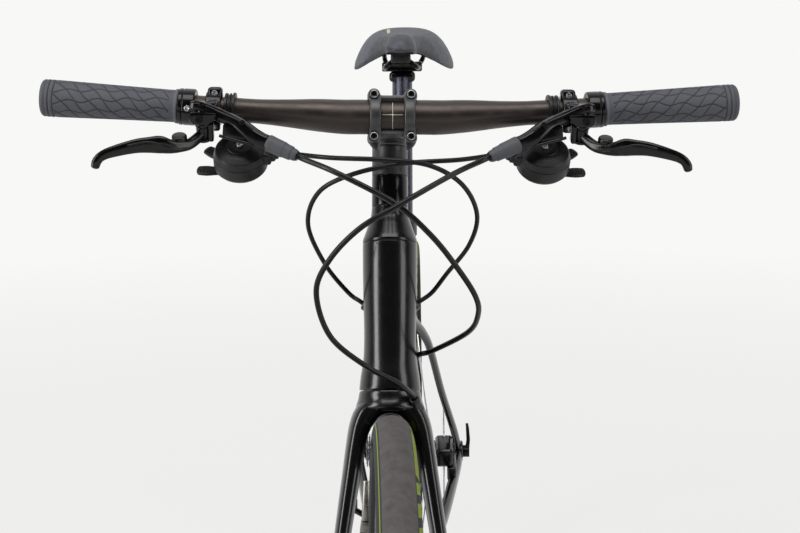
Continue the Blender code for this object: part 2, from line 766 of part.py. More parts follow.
def bearing(name, foot, inner, outer):
    top = foot + BEARING_HEIGHT
    outline = [(top, inner), (top, outer), (foot, outer), (foot, inner)]
    return turned(name, outline, CROWN, STEER_AXIS, TUBE_SIDES, "dark_steel", ring=True)


def make_headset_bearings():
    upper_foot = HEAD_TOP - BEARING_HEIGHT - SEAT_GAP
    lower_foot = CROWN_SEAM + SEAT_GAP
    upper_bore = bore_for(STEERER_RADIUS, TUBE_SIDES)
    lower_bore = bore_for(STEERER_FOOT_RADIUS, TUBE_SIDES)
    bearing("headset_bearing_upper", upper_foot, upper_bore, UPPER_BEARING_RADIUS)
    bearing("headset_bearing_lower", lower_foot, lower_bore, LOWER_BEARING_RADIUS)


def make_bottom_bracket():
    shell_end = BB_SHELL_WIDTH / 2 + SEAT_GAP
    cup_end = shell_end + 0.0019
    inner = bore_for(SPINDLE_RADIUS, TUBE_SIDES)
    body = BB_BODY_RADIUS
    outline = [
        (cup_end, inner),
        (cup_end, BB_CUP_RADIUS),
        (shell_end, BB_CUP_RADIUS),
        (shell_end, body),
        (-shell_end, body),
        (-shell_end, BB_CUP_RADIUS),
        (-cup_end, BB_CUP_RADIUS),
        (-cup_end, inner),
    ]
    turned("bottom_bracket", outline, BB_CENTRE, ASIDE, TUBE_SIDES, "dark_steel", ring=True)


# Fork and headset


def fork_arch():
    """Both blades and the crown between them, as one arch from dropout to dropout."""
    half = [
        (0.0570, FORK_DROP, FORK_RAKE, 0.0105, 0.0058),
        (0.0568, 0.3100, 0.0415, 0.0118, 0.0060),
        (0.0540, 0.2300, 0.0290, 0.0142, 0.0062),
        (0.0480, 0.1400, 0.0150, 0.0172, 0.0060),
        (0.0418, 0.0800, 0.0070, 0.0198, 0.0058),
        (0.0376, 0.0460, 0.0030, 0.0220, 0.0064),
        (0.0320, 0.0275, 0.0010, 0.0236, 0.0082),
        (0.0220, 0.0155, 0.0000, 0.0248, 0.0096),
        (0.0, 0.0118, 0.0, 0.0252, 0.0102),
    ]
    stations = [(on_steerer(-down, ahead, aside), depth, thick) for aside, down, ahead, depth, thick in half]
    others = [(sided(centre, -1), depth, thick) for centre, depth, thick in reversed(stations[:-1])]
    return swept("fork", stations + others, STEER_AHEAD, "gloss_black", power=2.4, count=SECTION_POINTS)


def steerer():
    outline = [
        (STEERER_TOP, 0.0),
        (STEERER_TOP, STEERER_RADIUS),
        (0.062, STEERER_RADIUS),
        (0.020, STEERER_FOOT_RADIUS),
        (-0.006, STEERER_FOOT_RADIUS),
        (-0.006, 0.0),
    ]
    return turned("steerer", outline, CROWN, STEER_AXIS, spin=OFF_EDGE)


FRONT_CALIPER_SIZE = (0.0255, 0.034, 0.060)
FRONT_CALIPER_DOWN = FORK_DROP - 0.06687
FRONT_CALIPER_AHEAD = 0.002
FRONT_CALIPER_X = FRONT_DISC_X + 0.0015
FRONT_PAD_X = (0.0462, 0.0600)


def front_caliper_frame(ahead=0.0):
    centre = on_steerer(-FRONT_CALIPER_DOWN, FRONT_CALIPER_AHEAD + ahead, FRONT_CALIPER_X)
    return frame_of(centre, ASIDE, -STEER_AHEAD, STEER_AXIS)


def front_caliper_pad():
    """The flat seat on the left blade that the front caliper is bolted to."""
    start = FRONT_CALIPER_SIZE[1] / 2 + SEAT_GAP
    end = 0.032
    place = front_caliper_frame((start + end) / 2)
    place.translation.x = sum(FRONT_PAD_X) / 2
    size = (FRONT_PAD_X[1] - FRONT_PAD_X[0], end - start, FRONT_CALIPER_SIZE[2])
    return box("front_caliper_pad", size, place)


CROWN_PORT = on_steerer(-0.0095, 0.0262, 0.0222)
CROWN_PORT_OUT = Vector((-0.30, -0.50, 0.81)).normalized()


def make_fork():
    fork = fork_arch()
    race = [
        (-SEAT_GAP, 0.0),
        (-SEAT_GAP, HEAD_TUBE_FOOT_RADIUS - 0.0006),
        (-0.0010, HEAD_TUBE_FOOT_RADIUS),
        (-0.0110, HEAD_TUBE_FOOT_RADIUS + 0.0006),
        (-0.0170, HEAD_TUBE_FOOT_RADIUS - 0.0080),
        (-0.0170, 0.0),
    ]
    join(fork, turned("crown_race", race, CROWN, STEER_AXIS), steerer(), front_caliper_pad())
    inner = FRONT_HUB_WIDTH / 2 + SEAT_GAP
    for side in (1, -1):
        start = FRONT_AXLE + ASIDE * side * inner
        join(fork, rod(f"fork_end_{side}", 0.0150, start, start + ASIDE * side * 0.0130, 16))
    reach = ASIDE * 0.2
    port_start = CROWN_PORT - CROWN_PORT_OUT * 0.006
    return cut(
        fork,
        bore("front_axle_hole", AXLE_RADIUS, FRONT_AXLE - reach, FRONT_AXLE + reach),
        bore("crown_port", HOSE_RADIUS, port_start, CROWN_PORT + CROWN_PORT_OUT * 0.02, gap=0.0005),
        rod("steerer_bore", STEERER_BORE, on_steerer(0.030), on_steerer(0.5), 12, spin=OFF_EDGE * 2),
    )


def make_headset_top():
    inner = bore_for(STEERER_RADIUS, TUBE_SIDES)
    foot, top = CONE_FOOT, CONE_FOOT + CONE_HEIGHT
    cone = [
        (top, inner),
        (top, SPACER_RADIUS),
        (top - 0.009, SPACER_RADIUS + 0.0013),
        (foot + 0.012, blend(SPACER_RADIUS, HEAD_TUBE_TOP_RADIUS, 0.58)),
        (foot + 0.003, HEAD_TUBE_TOP_RADIUS),
        (foot, HEAD_TUBE_TOP_RADIUS),
        (foot, inner),
    ]
    seam = SPACER_FOOT + GLOSS_SPACER_HEIGHT
    end = seam + MATT_SPACER_HEIGHT
    spacers = [
        (end, inner),
        (end, SPACER_RADIUS - 0.0002),
        (seam + 0.0006, SPACER_RADIUS - 0.0002),
        (seam, SPACER_RADIUS - 0.0012),
        (seam - 0.0030, SPACER_RADIUS + 0.0002),
        (SPACER_FOOT, SPACER_RADIUS + 0.0002),
        (SPACER_FOOT, inner),
    ]
    return (
        turned("headset_cone", cone, CROWN, STEER_AXIS, TUBE_SIDES, "gloss_black", ring=True),
        turned("headset_spacers", spacers, CROWN, STEER_AXIS, TUBE_SIDES, "satin_black", ring=True),
    )


# Stem, handlebar and grips

SPLIT_HALF = 0.0007


def clamp_bosses(name, start, end):
    """Four bolt bosses round the bar, from one distance ahead of it to another."""
    bosses = []
    for aside in (STEM_BOLT_ASIDE, -STEM_BOLT_ASIDE):
        for height in (STEM_BOLT_HEIGHT, -STEM_BOLT_HEIGHT):
            centre = BAR_CENTRE + ASIDE * aside + STEM_UP * height
            first, last = centre + STEM_AHEAD * start, centre + STEM_AHEAD * end
            bosses.append(rod(f"{name}_boss", STEM_BOLT_BOSS, first, last, SMALL_SIDES))
    return bosses


def clamp_shell(name, finish=None):
    outer = BAR_CLAMP_RADIUS + BAR_CLAMP_WALL
    half = ASIDE * BAR_CLAMP_HALF_WIDTH
    return rod(name, outer, BAR_CENTRE - half, BAR_CENTRE + half, TUBE_SIDES, finish)


def bar_bore(name):
    reach = ASIDE * 0.1
    return bore(name, BAR_CLAMP_RADIUS, BAR_CENTRE - reach, BAR_CENTRE + reach, TUBE_SIDES)


def half_space(name, ahead_side):
    """A block on one side of the clamp's split."""
    depth = 0.06
    centre = BAR_CENTRE + STEM_AHEAD * ahead_side * (depth / 2 - SPLIT_HALF)
    return box(name, (0.08, depth, 0.08), frame_of(centre, ASIDE, STEM_AHEAD, STEM_UP * -1))


def make_stem():
    stem = clamp_shell("stem", "satin_black")
    pivot = CROWN + STEER_AXIS * (STEM_FOOT + STEM_CLAMP_HEIGHT / 2)
    stations = [
        (pivot, STEM_TUBE_RADIUS, STEM_TUBE_RADIUS),
        (blend(pivot, BAR_CENTRE, 0.45), STEM_TUBE_RADIUS, STEM_TUBE_RADIUS),
        (blend(pivot, BAR_CENTRE, 0.72), STEM_TUBE_RADIUS + 0.003, STEM_TUBE_RADIUS),
        (blend(pivot, BAR_CENTRE, 0.90), BAR_CLAMP_HALF_WIDTH - 0.003, STEM_TUBE_RADIUS + 0.001),
    ]
    join(stem, *clamp_bosses("stem", -0.0125, 0.004))
    cut(stem, half_space("stem_split", 1))
    clamp = [
        (STEM_FOOT + STEM_CLAMP_HEIGHT, 0.0),
        (STEM_FOOT + STEM_CLAMP_HEIGHT, STEM_CLAMP_RADIUS - 0.001),
        (STEM_FOOT + STEM_CLAMP_HEIGHT - 0.001, STEM_CLAMP_RADIUS),
        (STEM_FOOT + 0.001, STEM_CLAMP_RADIUS),
        (STEM_FOOT, STEM_CLAMP_RADIUS - 0.001),
        (STEM_FOOT, 0.0),
    ]
    join(
        stem,
        swept("stem_tube", stations, ASIDE, power=2.3, count=SECTION_POINTS),
        turned("stem_clamp", clamp, CROWN, STEER_AXIS, TUBE_SIDES),
    )
    start, end = on_steerer(STEM_FOOT - 0.01), on_steerer(STEM_FOOT + STEM_CLAMP_HEIGHT + 0.01)
    cut(stem, bar_bore("stem_bar_bore"), bore("stem_steerer_bore", STEERER_RADIUS, start, end, TUBE_SIDES))
    return stem


def make_faceplate():
    plate = clamp_shell("stem_faceplate", "satin_black")
    join(plate, *clamp_bosses("faceplate", -0.004, 0.0120))
    window = box(
        "faceplate_window",
        (0.019, 0.06, 0.030),
        frame_of(BAR_CENTRE + STEM_AHEAD * 0.03, ASIDE, STEM_AHEAD, STEM_UP * -1),
    )
    cut(plate, half_space("faceplate_split", -1), bar_bore("faceplate_bar_bore"), window)
    return plate


def make_handlebar():
    asides = [0.0, BAR_CENTRE_HALF, 0.070, 0.095, BAR_TAPER_END, 0.22, BAR_HALF_WIDTH - 0.003]
    factors = [1.0, 1.0, 0.93, 0.80, 0.0, 0.0, 0.0]
    slim = BAR_GRIP_RADIUS / BAR_CLAMP_RADIUS
    points = [on_bar(-aside) for aside in reversed(asides)] + [on_bar(aside) for aside in asides[1:]]
    swell = [max(factor, slim) for factor in [*reversed(factors), *factors[1:]]]
    return tube("handlebar", points, BAR_CLAMP_RADIUS, "satin_black", swell, 5)


def make_grip(side, name):
    """A grip with its locking ring at the inner end and its closed outer end."""
    ring = LOCK_RING_WIDTH
    length = GRIP_LENGTH + ring
    inner = bore_for(BAR_GRIP_RADIUS, GRIP_SIDES)
    outline = [
        (length, 0.0),
        (length, GRIP_RADIUS - 0.0010),
        (length - 0.0020, GRIP_RADIUS + 0.0008),
        (blend(ring, length, 0.45), GRIP_RADIUS),
        (ring + 0.0005, GRIP_RADIUS - 0.0012),
        (ring, LOCK_RING_RADIUS),
        (0.0006, LOCK_RING_RADIUS),
        (0.0, LOCK_RING_RADIUS - 0.0006),
        (0.0, inner),
        (length - 0.0030, inner),
        (length - 0.0030, 0.0),
    ]
    start = on_bar(side * (BAR_HALF_WIDTH - length + 0.001))
    return turned(name, outline, start, along_bar(side), GRIP_SIDES, "grip_rubber")


# Brake levers


def control_clamp(name, aside, width, side, finish=None):
    """A band round the bar that holds a lever or a shifter."""
    half = along_bar(side) * width / 2
    centre = on_bar(side * aside)
    return rod(name, CONTROL_CLAMP_RADIUS, centre - half, centre + half, 14, finish)


def control_bore(name, aside, side):
    half = along_bar(side) * 0.03
    centre = on_bar(side * aside)
    return bore(name, BAR_GRIP_RADIUS, centre - half, centre + half, 16)


def make_brake_body(side, name):
    """The master cylinder with its bar clamp, its lever's fork and pin, and the hose's boot."""
    places = (
        (BAR_CENTRE + Vector((0.1830, -0.02478, 0.01210)), 0.0060, 0.0065),
        (BAR_CENTRE + Vector((0.1750, -0.02628, 0.01040)), 0.0078, 0.0082),
        (BAR_CENTRE + Vector((0.1500, -0.03228, 0.00240)), 0.0092, 0.0098),
        (BAR_CENTRE + Vector((0.1240, -0.04078, -0.00990)), 0.0098, 0.0100),
        (BAR_CENTRE + Vector((0.1130, -0.04498, -0.01890)), 0.0078, 0.0078),
        (BOOT_START, BOOT_RADIUS, BOOT_RADIUS),
        (BOOT_END, BOOT_RADIUS - 0.0012, BOOT_RADIUS - 0.0012),
    )
    stations = [(sided(place, side), depth, height) for place, depth, height in places]
    body = swept(name, stations, Vector((0.0, 1.0, 0.0)), "gloss_black", power=2.6, count=8)
    clamp = control_clamp(f"{name}_clamp", BRAKE_CLAMP_X, BRAKE_CLAMP_WIDTH, side)
    neck_centre = sided(BAR_CENTRE + Vector((BRAKE_CLAMP_X, -0.01578, 0.00760)), side)
    neck = box(f"{name}_neck", (0.0120, 0.0220, 0.0160), neck_centre)
    pivot = sided(LEVER_PIVOT, side)
    gap = LEVER_BOSS_HALF + SEAT_GAP
    ear = LEVER_BOSS_RADIUS + 0.0010
    ear_end = gap + 0.0026
    post = rod(f"{name}_post", ear, pivot - LEVER_AXIS * ear_end, pivot + LEVER_AXIS * (gap + 0.004), 12)
    root = [(pivot + LEVER_AXIS * 0.002, 0.0080, 0.0064), (sided(LEVER_ROOT, side), 0.0100, 0.0070)]
    back = LEVER_AXIS.cross(ASIDE)
    web_centre = pivot + ASIDE * side * -0.0070 + LEVER_AXIS * 0.0030
    web = box(f"{name}_web", (0.0100, 0.0100, 0.0200), frame_of(web_centre, ASIDE, back, LEVER_AXIS))
    room_centre = pivot + ASIDE * side * 0.0100 - back * 0.0100
    room = box(f"{name}_room", (0.0340, 0.0410, 2 * gap), frame_of(room_centre, ASIDE, back, LEVER_AXIS))
    pin_foot = pivot - LEVER_AXIS * (gap + 0.001)
    pin = rod(f"{name}_pin", LEVER_PIN_RADIUS, pin_foot, pivot + LEVER_AXIS * 0.010, 8)
    join(body, clamp, neck, post, swept(f"{name}_root", root, ASIDE, power=3.0, count=8), web)
    cut(body, room, control_bore(f"{name}_bore", BRAKE_CLAMP_X, side))
    return join(body, pin)


def make_brake_lever(side, name):
    """A brake lever whose boss turns on the body's pin."""
    pivot = sided(LEVER_PIVOT, side)
    places = (
        (BAR_CENTRE + Vector((0.1730, -0.03678, -0.01340)), 0.0040, 0.0050),
        (BAR_CENTRE + Vector((0.1860, -0.04778, -0.01690)), 0.0042, 0.0062),
        (BAR_CENTRE + Vector((0.2020, -0.05578, -0.01740)), 0.0036, 0.0058),
        (BAR_CENTRE + Vector((0.2250, -0.06098, -0.02240)), 0.0032, 0.0050),
        (BAR_CENTRE + Vector((0.2440, -0.06358, -0.02790)), 0.0030, 0.0044),
        (BAR_CENTRE + Vector((0.2560, -0.06428, -0.03340)), 0.0034, 0.0044),
        (BAR_CENTRE + Vector((0.2600, -0.06428, -0.03790)), 0.0042, 0.0046),
        (BAR_CENTRE + Vector((0.2608, -0.06428, -0.04140)), 0.0026, 0.0028),
    )
    stations = [(sided(place, side), depth, height) for place, depth, height in places]
    lever = swept(name, stations, Vector((0.0, 1.0, 0.0)), "gloss_black", power=2.4, count=8)
    half = LEVER_AXIS * LEVER_BOSS_HALF
    join(lever, rod(f"{name}_boss", LEVER_BOSS_RADIUS, pivot - half, pivot + half, 12))
    cut(lever, bore(f"{name}_bore", LEVER_PIN_RADIUS, pivot - half * 2, pivot + half * 2, 8))
    axis = axis_empty(f"{name}_axis", pivot, LEVER_AXIS * side, steering)
    carry(axis, lever)
    return lever


# Shifters


def make_shifter(side, name):
    """A round housing under the bar with its clamp, its levers' pin and the housing's barrel."""
    centre = sided(POD_CENTRE, side)
    top, foot = POD_HALF_HEIGHT, -POD_HALF_HEIGHT
    outline = [
        (top, 0.0),
        (top, POD_RADIUS * 0.55),
        (top - 0.004, POD_RADIUS * 0.90),
        (top - 0.010, POD_RADIUS),
        (foot + 0.004, POD_RADIUS),
        (foot, POD_RADIUS - 0.003),
        (foot, POD_PIN_RADIUS),
        (foot - 2 * SHIFT_LEVER_THICKNESS - 0.0040, POD_PIN_RADIUS),
        (foot - 2 * SHIFT_LEVER_THICKNESS - 0.0040, 0.0),
    ]
    body = turned(name, outline, centre, POD_AXIS, 12, "black_plastic")
    clamp = control_clamp(f"{name}_clamp", SHIFT_CLAMP_X, SHIFT_CLAMP_WIDTH, side)
    stalk_centre = sided(BAR_CENTRE + Vector((SHIFT_CLAMP_X, -0.00278, -0.01340)), side)
    stalk = box(f"{name}_stalk", (0.0080, 0.0160, 0.0200), stalk_centre)
    barrel_start = sided(POD_CENTRE + BARREL_ROOT, side)
    barrel = rod(f"{name}_barrel", 0.0042, barrel_start, sided(BARREL_END, side), 10)
    join(body, clamp, stalk, barrel)
    cut(body, control_bore(f"{name}_bore", SHIFT_CLAMP_X, side))
    return body


def make_trigger(side, name, level, reach, lean):
    """A lever on the shifter's pin, at a level of its stack, leaning back by an angle."""
    centre = sided(POD_CENTRE, side)
    drop = POD_HALF_HEIGHT + SEAT_GAP + SHIFT_LEVER_THICKNESS / 2
    drop += level * (SHIFT_LEVER_THICKNESS + SEAT_GAP)
    hub = centre - POD_AXIS * drop
    outward = ASIDE * side * math.cos(lean) + POD_BACK * math.sin(lean)
    half = POD_AXIS * SHIFT_LEVER_THICKNESS / 2
    thick = SHIFT_LEVER_THICKNESS / 2 - 0.0005
    stations = [
        (hub + outward * 0.002, 0.0070, thick),
        (hub + outward * reach * 0.45, 0.0048, thick),
        (hub + outward * reach * 0.75, 0.0062, thick),
        (hub + outward * reach, 0.0050, thick),
    ]
    lever = swept(name, stations, POD_AXIS.cross(outward), "black_plastic", power=3.0, count=10)
    join(lever, rod(f"{name}_hub", 0.0078, hub - half, hub + half, 12))
    cut(lever, bore(f"{name}_bore", POD_PIN_RADIUS, hub - half * 3, hub + half * 3))
    axis = axis_empty(f"{name}_axis", hub, POD_AXIS * -side, steering)
    carry(axis, lever)
    return lever


# Hoses and housings


def make_hoses():
    """The front hose turns with the fork. The other three end at ports of the frame, which stands still."""
    ports = {name: (turned_round_steerer(place + outward * (PORT_RISE + SEAT_GAP), -STEER_AT_REST), outward)
             for name, (place, outward) in cable_ports().items()}
    boot_out = (BOOT_END - BOOT_START).normalized()
    barrel_out = (BARREL_END - POD_CENTRE - BARREL_ROOT).normalized()
    boot = [BOOT_END + boot_out * SEAT_GAP, BOOT_END + boot_out * 0.008]
    barrel = [BARREL_END + barrel_out * SEAT_GAP, BARREL_END + barrel_out * 0.008]
    routes = {
        "front_brake_hose": [
            *boot,
            CROWN + Vector((0.0500, -0.0780, 0.2159)),
            CROWN + Vector((0.0005, -0.1020, 0.1908)),
            CROWN + Vector((-0.0310, -0.1020, 0.1714)),
            CROWN + Vector((-0.0565, -0.0920, 0.1424)),
            CROWN + Vector((-0.0680, -0.0800, 0.1114)),
            CROWN + Vector((-0.0560, -0.0720, 0.0704)),
            CROWN + Vector((-0.0245, -0.0650, 0.0414)),
            CROWN + Vector((0.0060, -0.0520, 0.0214)),
            CROWN_PORT + CROWN_PORT_OUT * 0.006,
            CROWN_PORT - CROWN_PORT_OUT * 0.002,
        ],
        "rear_brake_hose": [
            *[sided(point, -1) for point in boot],
            CROWN + Vector((-0.0480, -0.0770, 0.2160)),
            CROWN + Vector((0.0002, -0.0900, 0.1921)),
            CROWN + Vector((0.0306, -0.0940, 0.1662)),
            CROWN + Vector((0.0540, -0.0890, 0.1374)),
            CROWN + Vector((0.0730, -0.0740, 0.1074)),
            CROWN + Vector((0.0776, -0.0530, 0.0854)),
            CROWN + Vector((0.0710, -0.0230, 0.0624)),
        ],
        "shift_housing_right": [
            *[sided(point, -1) for point in barrel],
            CROWN + Vector((-0.0560, -0.0520, 0.2276)),
            CROWN + Vector((-0.0079, -0.0690, 0.2277)),
            CROWN + Vector((0.0318, -0.0650, 0.2224)),
            CROWN + Vector((0.0620, -0.0490, 0.2035)),
            CROWN + Vector((0.0777, -0.0240, 0.1729)),
            CROWN + Vector((0.0730, 0.0010, 0.1409)),
            CROWN + Vector((0.0540, 0.0230, 0.1094)),
        ],
        "shift_housing_left": [
            *barrel,
            CROWN + Vector((0.0597, -0.0420, 0.2254)),
            CROWN + Vector((0.0057, -0.0560, 0.2229)),
            CROWN + Vector((-0.0385, -0.0500, 0.2120)),
            CROWN + Vector((-0.0673, -0.0340, 0.1938)),
            CROWN + Vector((-0.0772, -0.0090, 0.1608)),
            CROWN + Vector((-0.0620, 0.0170, 0.1194)),
        ],
    }
    made = []
    for name, points in routes.items():
        if name in ports:
            end, outward = ports[name]
            points += [end + outward * 0.018, end + outward * 0.004, end]
        radius = HOSE_RADIUS if "hose" in name else HOUSING_RADIUS
        route = smooth_route(points, 0.0168)
        length = sum((b - a).length for a, b in zip(route, route[1:]))
        print(f"{name}: {1000 * length:.0f} mm long, {len(route)} points")
        made.append(tube(name, route, radius, "cable_black"))
    return made


# Brake calipers, axles and wheels


def caliper(name, size, place, disc_centre, finish="gloss_black"):
    """A block slotted for the disc, with a round piston housing through it."""
    body = box(name, size, place, finish, rounding=0.004)
    out = place.to_3x3() @ Vector((1.0, 0.0, 0.0))
    middle = place.translation
    half = out * (size[0] / 2 + 0.0022)
    join(body, rod(f"{name}_pistons", min(size[1:]) * 0.42, middle - half, middle + half, 12))
    slot_half = ASIDE * DISC_SLOT / 2
    room = bore_for(DISC_RADIUS, 40, 0.0015)
    cut(body, rod(f"{name}_slot", room, disc_centre - slot_half, disc_centre + slot_half, 40))
    return body


def make_axle(name, centre, half_length, head_side, parent=None):
    """A thru axle with a lever at its head, on one side."""
    thread_end = centre - ASIDE * head_side * half_length
    head = centre + ASIDE * head_side * (half_length + SEAT_GAP)
    axle = rod(name, AXLE_RADIUS, thread_end, head + ASIDE * head_side * 0.002, 16, "satin_black")
    collar = rod(f"{name}_head", 0.0095, head, head + ASIDE * head_side * 0.0100, 16)
    arm_start = head + ASIDE * head_side * 0.0065
    lean = Vector((0.0, 0.30, 0.954)) if head_side > 0 else Vector((0.0, -0.30, 0.954))
    stations = [
        (arm_start, 0.0070, 0.0034),
        (arm_start + lean * 0.018 + ASIDE * head_side * 0.002, 0.0055, 0.0030),
        (arm_start + lean * 0.036 + ASIDE * head_side * 0.001, 0.0048, 0.0026),
        (arm_start + lean * 0.044, 0.0030, 0.0020),
    ]
    join(axle, collar, swept(f"{name}_lever", stations, lean.cross(ASIDE), power=3.0, count=10))
    axis = axis_empty(f"{name}_axis", centre, ASIDE, parent)
    carry(axis, axle)
    return axle


TYRE_ARC = (118.0, 80.0, 34.0, -34.0, -80.0, -118.0)


def make_tyre(name, centre):
    """A tyre whose flats stand at its radius, so that it rests on a flat."""
    half = TYRE_WIDTH / 2
    flat = 1 / math.cos(math.pi / WHEEL_SIDES)
    middle = TYRE_RADIUS - half
    bed = RIM_BED_RADIUS + SEAT_GAP
    arc = []
    for degrees in TYRE_ARC:
        turn = math.radians(degrees)
        height = min(half * math.cos(turn) * 1.21, half)
        arc.append((half * math.sin(turn), (middle + height) * flat))
    lip = RIM_WIDTH / 2
    outline = [(lip, bed), *arc, (-lip, bed)]
    return turned(name, outline, centre, ASIDE, WHEEL_SIDES, "tyre_rubber", ring=True)


def make_rim(name, centre):
    lip = RIM_WIDTH / 2
    outline = [
        (lip, RIM_BED_RADIUS),
        (-lip, RIM_BED_RADIUS),
        (-lip / 2, RIM_INNER_RADIUS),
        (lip / 2, RIM_INNER_RADIUS),
    ]
    return turned(name, outline, centre, ASIDE, WHEEL_SIDES, "satin_black", ring=True)


def spokes(name, centre, count, flanges, flange_radius):
    """All the spokes of a wheel as one helper shape, crossing between hub and rim."""
    bm = bmesh.new()
    end_radius = RIM_INNER_RADIUS * math.cos(math.pi / WHEEL_SIDES) - SEAT_GAP
    for i in range(count):
        flange = flanges[i % 2]
        trailing = 1 if (i // 2) % 2 else -1
        at_rim = 2 * math.pi * (i + 0.5) / count
        at_hub = at_rim + trailing * SPOKE_SWEEP
        start_x = flange + trailing * SPOKE_RADIUS
        start_radius = flange_radius - 0.0035
        start = Vector((start_x, start_radius * math.cos(at_hub), start_radius * math.sin(at_hub)))
        end_x = math.copysign(0.0030, flange)
        end = Vector((end_x, end_radius * math.cos(at_rim), end_radius * math.sin(at_rim)))
        made = bmesh.ops.create_cone(
            bm,
            cap_ends=True,
            segments=3,
            radius1=SPOKE_RADIUS,
            radius2=SPOKE_RADIUS,
            depth=(end - start).length,
        )
        matrix = Matrix.Translation(centre) @ facing((start + end) / 2, (end - start).normalized())
        bmesh.ops.transform(bm, matrix=matrix, verts=made["verts"])
    return from_bmesh(name, bm)


def make_hub(name, centre, half_width, flanges, flange_radius, disc_x, shell_end, count):
    """A hub with its spokes: ends, disc seat, two flanges and the shell between them."""
    left, right = flanges
    end = half_width - SEAT_GAP
    web = 0.0024
    inner = bore_for(AXLE_RADIUS, HUB_SIDES)
    outline = [
        (end, inner),
        (end, HUB_END_RADIUS),
        (disc_x + 0.0032, HUB_END_RADIUS),
        (disc_x + 0.0032, DISC_SEAT_RADIUS),
        (left + 0.0060, DISC_SEAT_RADIUS),
        (left + web, flange_radius),
        (left - web, flange_radius),
        (left - 0.0060, HUB_SHELL_RADIUS),
        (right + 0.0060, HUB_SHELL_RADIUS),
        (right + web, flange_radius),
        (right - web, flange_radius),
        (shell_end, HUB_END_RADIUS),
        (shell_end, inner),
    ]
    hub = turned(name, outline, centre, ASIDE, HUB_SIDES, "satin_black", ring=True)
    join(hub, spokes(f"{name}_spokes", centre, count, flanges, flange_radius))
    return hub


def make_disc(name, centre, disc_x):
    """A brake disc: an outer band on six slanted arms round a carrier."""
    band = DISC_RADIUS - DISC_BAND
    carrier = 0.0260
    holes = [circle(bore_for(DISC_SEAT_RADIUS, HUB_SIDES), HUB_SIDES)]
    arms = 6
    for i in range(arms):
        start = 2 * math.pi * i / arms
        end = start + 2 * math.pi / arms - 0.17
        inner_end = end - 0.24
        window = [(band, blend(start, end, k / 2)) for k in range(3)]
        window += [(carrier, inner_end), (carrier, start - 0.20)]
        holes.append([(radius * math.cos(turn), radius * math.sin(turn)) for radius, turn in window])
    place = facing(centre + ASIDE * disc_x, ASIDE)
    return flat_plate(name, [circle(DISC_RADIUS, 26), *holes], DISC_THICKNESS, place, "steel")


def make_front_wheel():
    names = ("front_tyre", "front_rim", "front_hub_and_spokes", "front_brake_disc")
    half = FRONT_HUB_WIDTH / 2
    wheel = (
        make_tyre(names[0], FRONT_AXLE),
        make_rim(names[1], FRONT_AXLE),
        make_hub(names[2], FRONT_AXLE, half, FRONT_FLANGES, FRONT_FLANGE_RADIUS, FRONT_DISC_X,
                 SEAT_GAP - half, SPOKES_FRONT),
        make_disc(names[3], FRONT_AXLE, FRONT_DISC_X),
    )
    carry(axis_empty("front_wheel_axis", FRONT_AXLE, ASIDE, steering), *wheel)


def make_rear_wheel():
    names = ("rear_tyre", "rear_rim", "rear_hub_and_spokes", "rear_brake_disc")
    wheel = (
        make_tyre(names[0], REAR_AXLE),
        make_rim(names[1], REAR_AXLE),
        make_hub(names[2], REAR_AXLE, REAR_HUB_WIDTH / 2, REAR_FLANGES, REAR_FLANGE_RADIUS, REAR_DISC_X,
                 FREEHUB_START + SEAT_GAP, SPOKES_REAR),
        make_disc(names[3], REAR_AXLE, REAR_DISC_X),
    )
    carry(axis_empty("rear_wheel_axis", REAR_AXLE, ASIDE), *wheel)


# Drive train

FREEHUB_START = REAR_FLANGES[1] - 0.0062


def cog_x(index):
    """Where a cog of the cassette stands: the one in use lines up with the large chainring."""
    return LARGE_RING_X + (COGS.index(COG_IN_USE) - index) * COG_SPACING


def make_cassette():
    """The stack of cogs on its freehub body, each as a disc of its tooth root's radius."""
    half = 0.0008
    inner = bore_for(AXLE_RADIUS, COG_SIDES)
    outline = [(FREEHUB_START, inner), (FREEHUB_START, 0.0165), (cog_x(0) + half, 0.0165)]
    near = cog_x(0) + half
    for index, teeth in enumerate(COGS):
        radius = pitch_radius(teeth) - TOOTH_ROOT
        outline += [(near, radius), (cog_x(index) - half, radius)]
        near = cog_x(index) - half
    end = SEAT_GAP - REAR_HUB_WIDTH / 2
    outline += [(near, 0.0150), (end, 0.0100), (end, inner)]
    cassette = turned("cassette", outline, REAR_AXLE, ASIDE, COG_SIDES, "steel", ring=True)
    carry(axis_empty("cassette_axis", REAR_AXLE, ASIDE), cassette)


def ring_outline(teeth):
    """A chainring's outer edge with one tooth to each pitch."""
    pitch = pitch_radius(teeth)
    points = []
    for i in range(teeth):
        for share, radius in ((0.0, pitch + TOOTH_TIP), (0.5, pitch - TOOTH_ROOT)):
            turn = 2 * math.pi * (i + share) / teeth
            points.append((radius * math.cos(turn), radius * math.sin(turn)))
    return points


def make_chainring(name, teeth, at_x):
    holes = [circle(RING_INNER_RADIUS, 20)]
    place = facing(BB_CENTRE + ASIDE * at_x, ASIDE)
    return flat_plate(name, [ring_outline(teeth), *holes], RING_THICKNESS, place, "dark_steel")


CRANK_AHEAD = Vector((0.0, -1.0, 0.0))


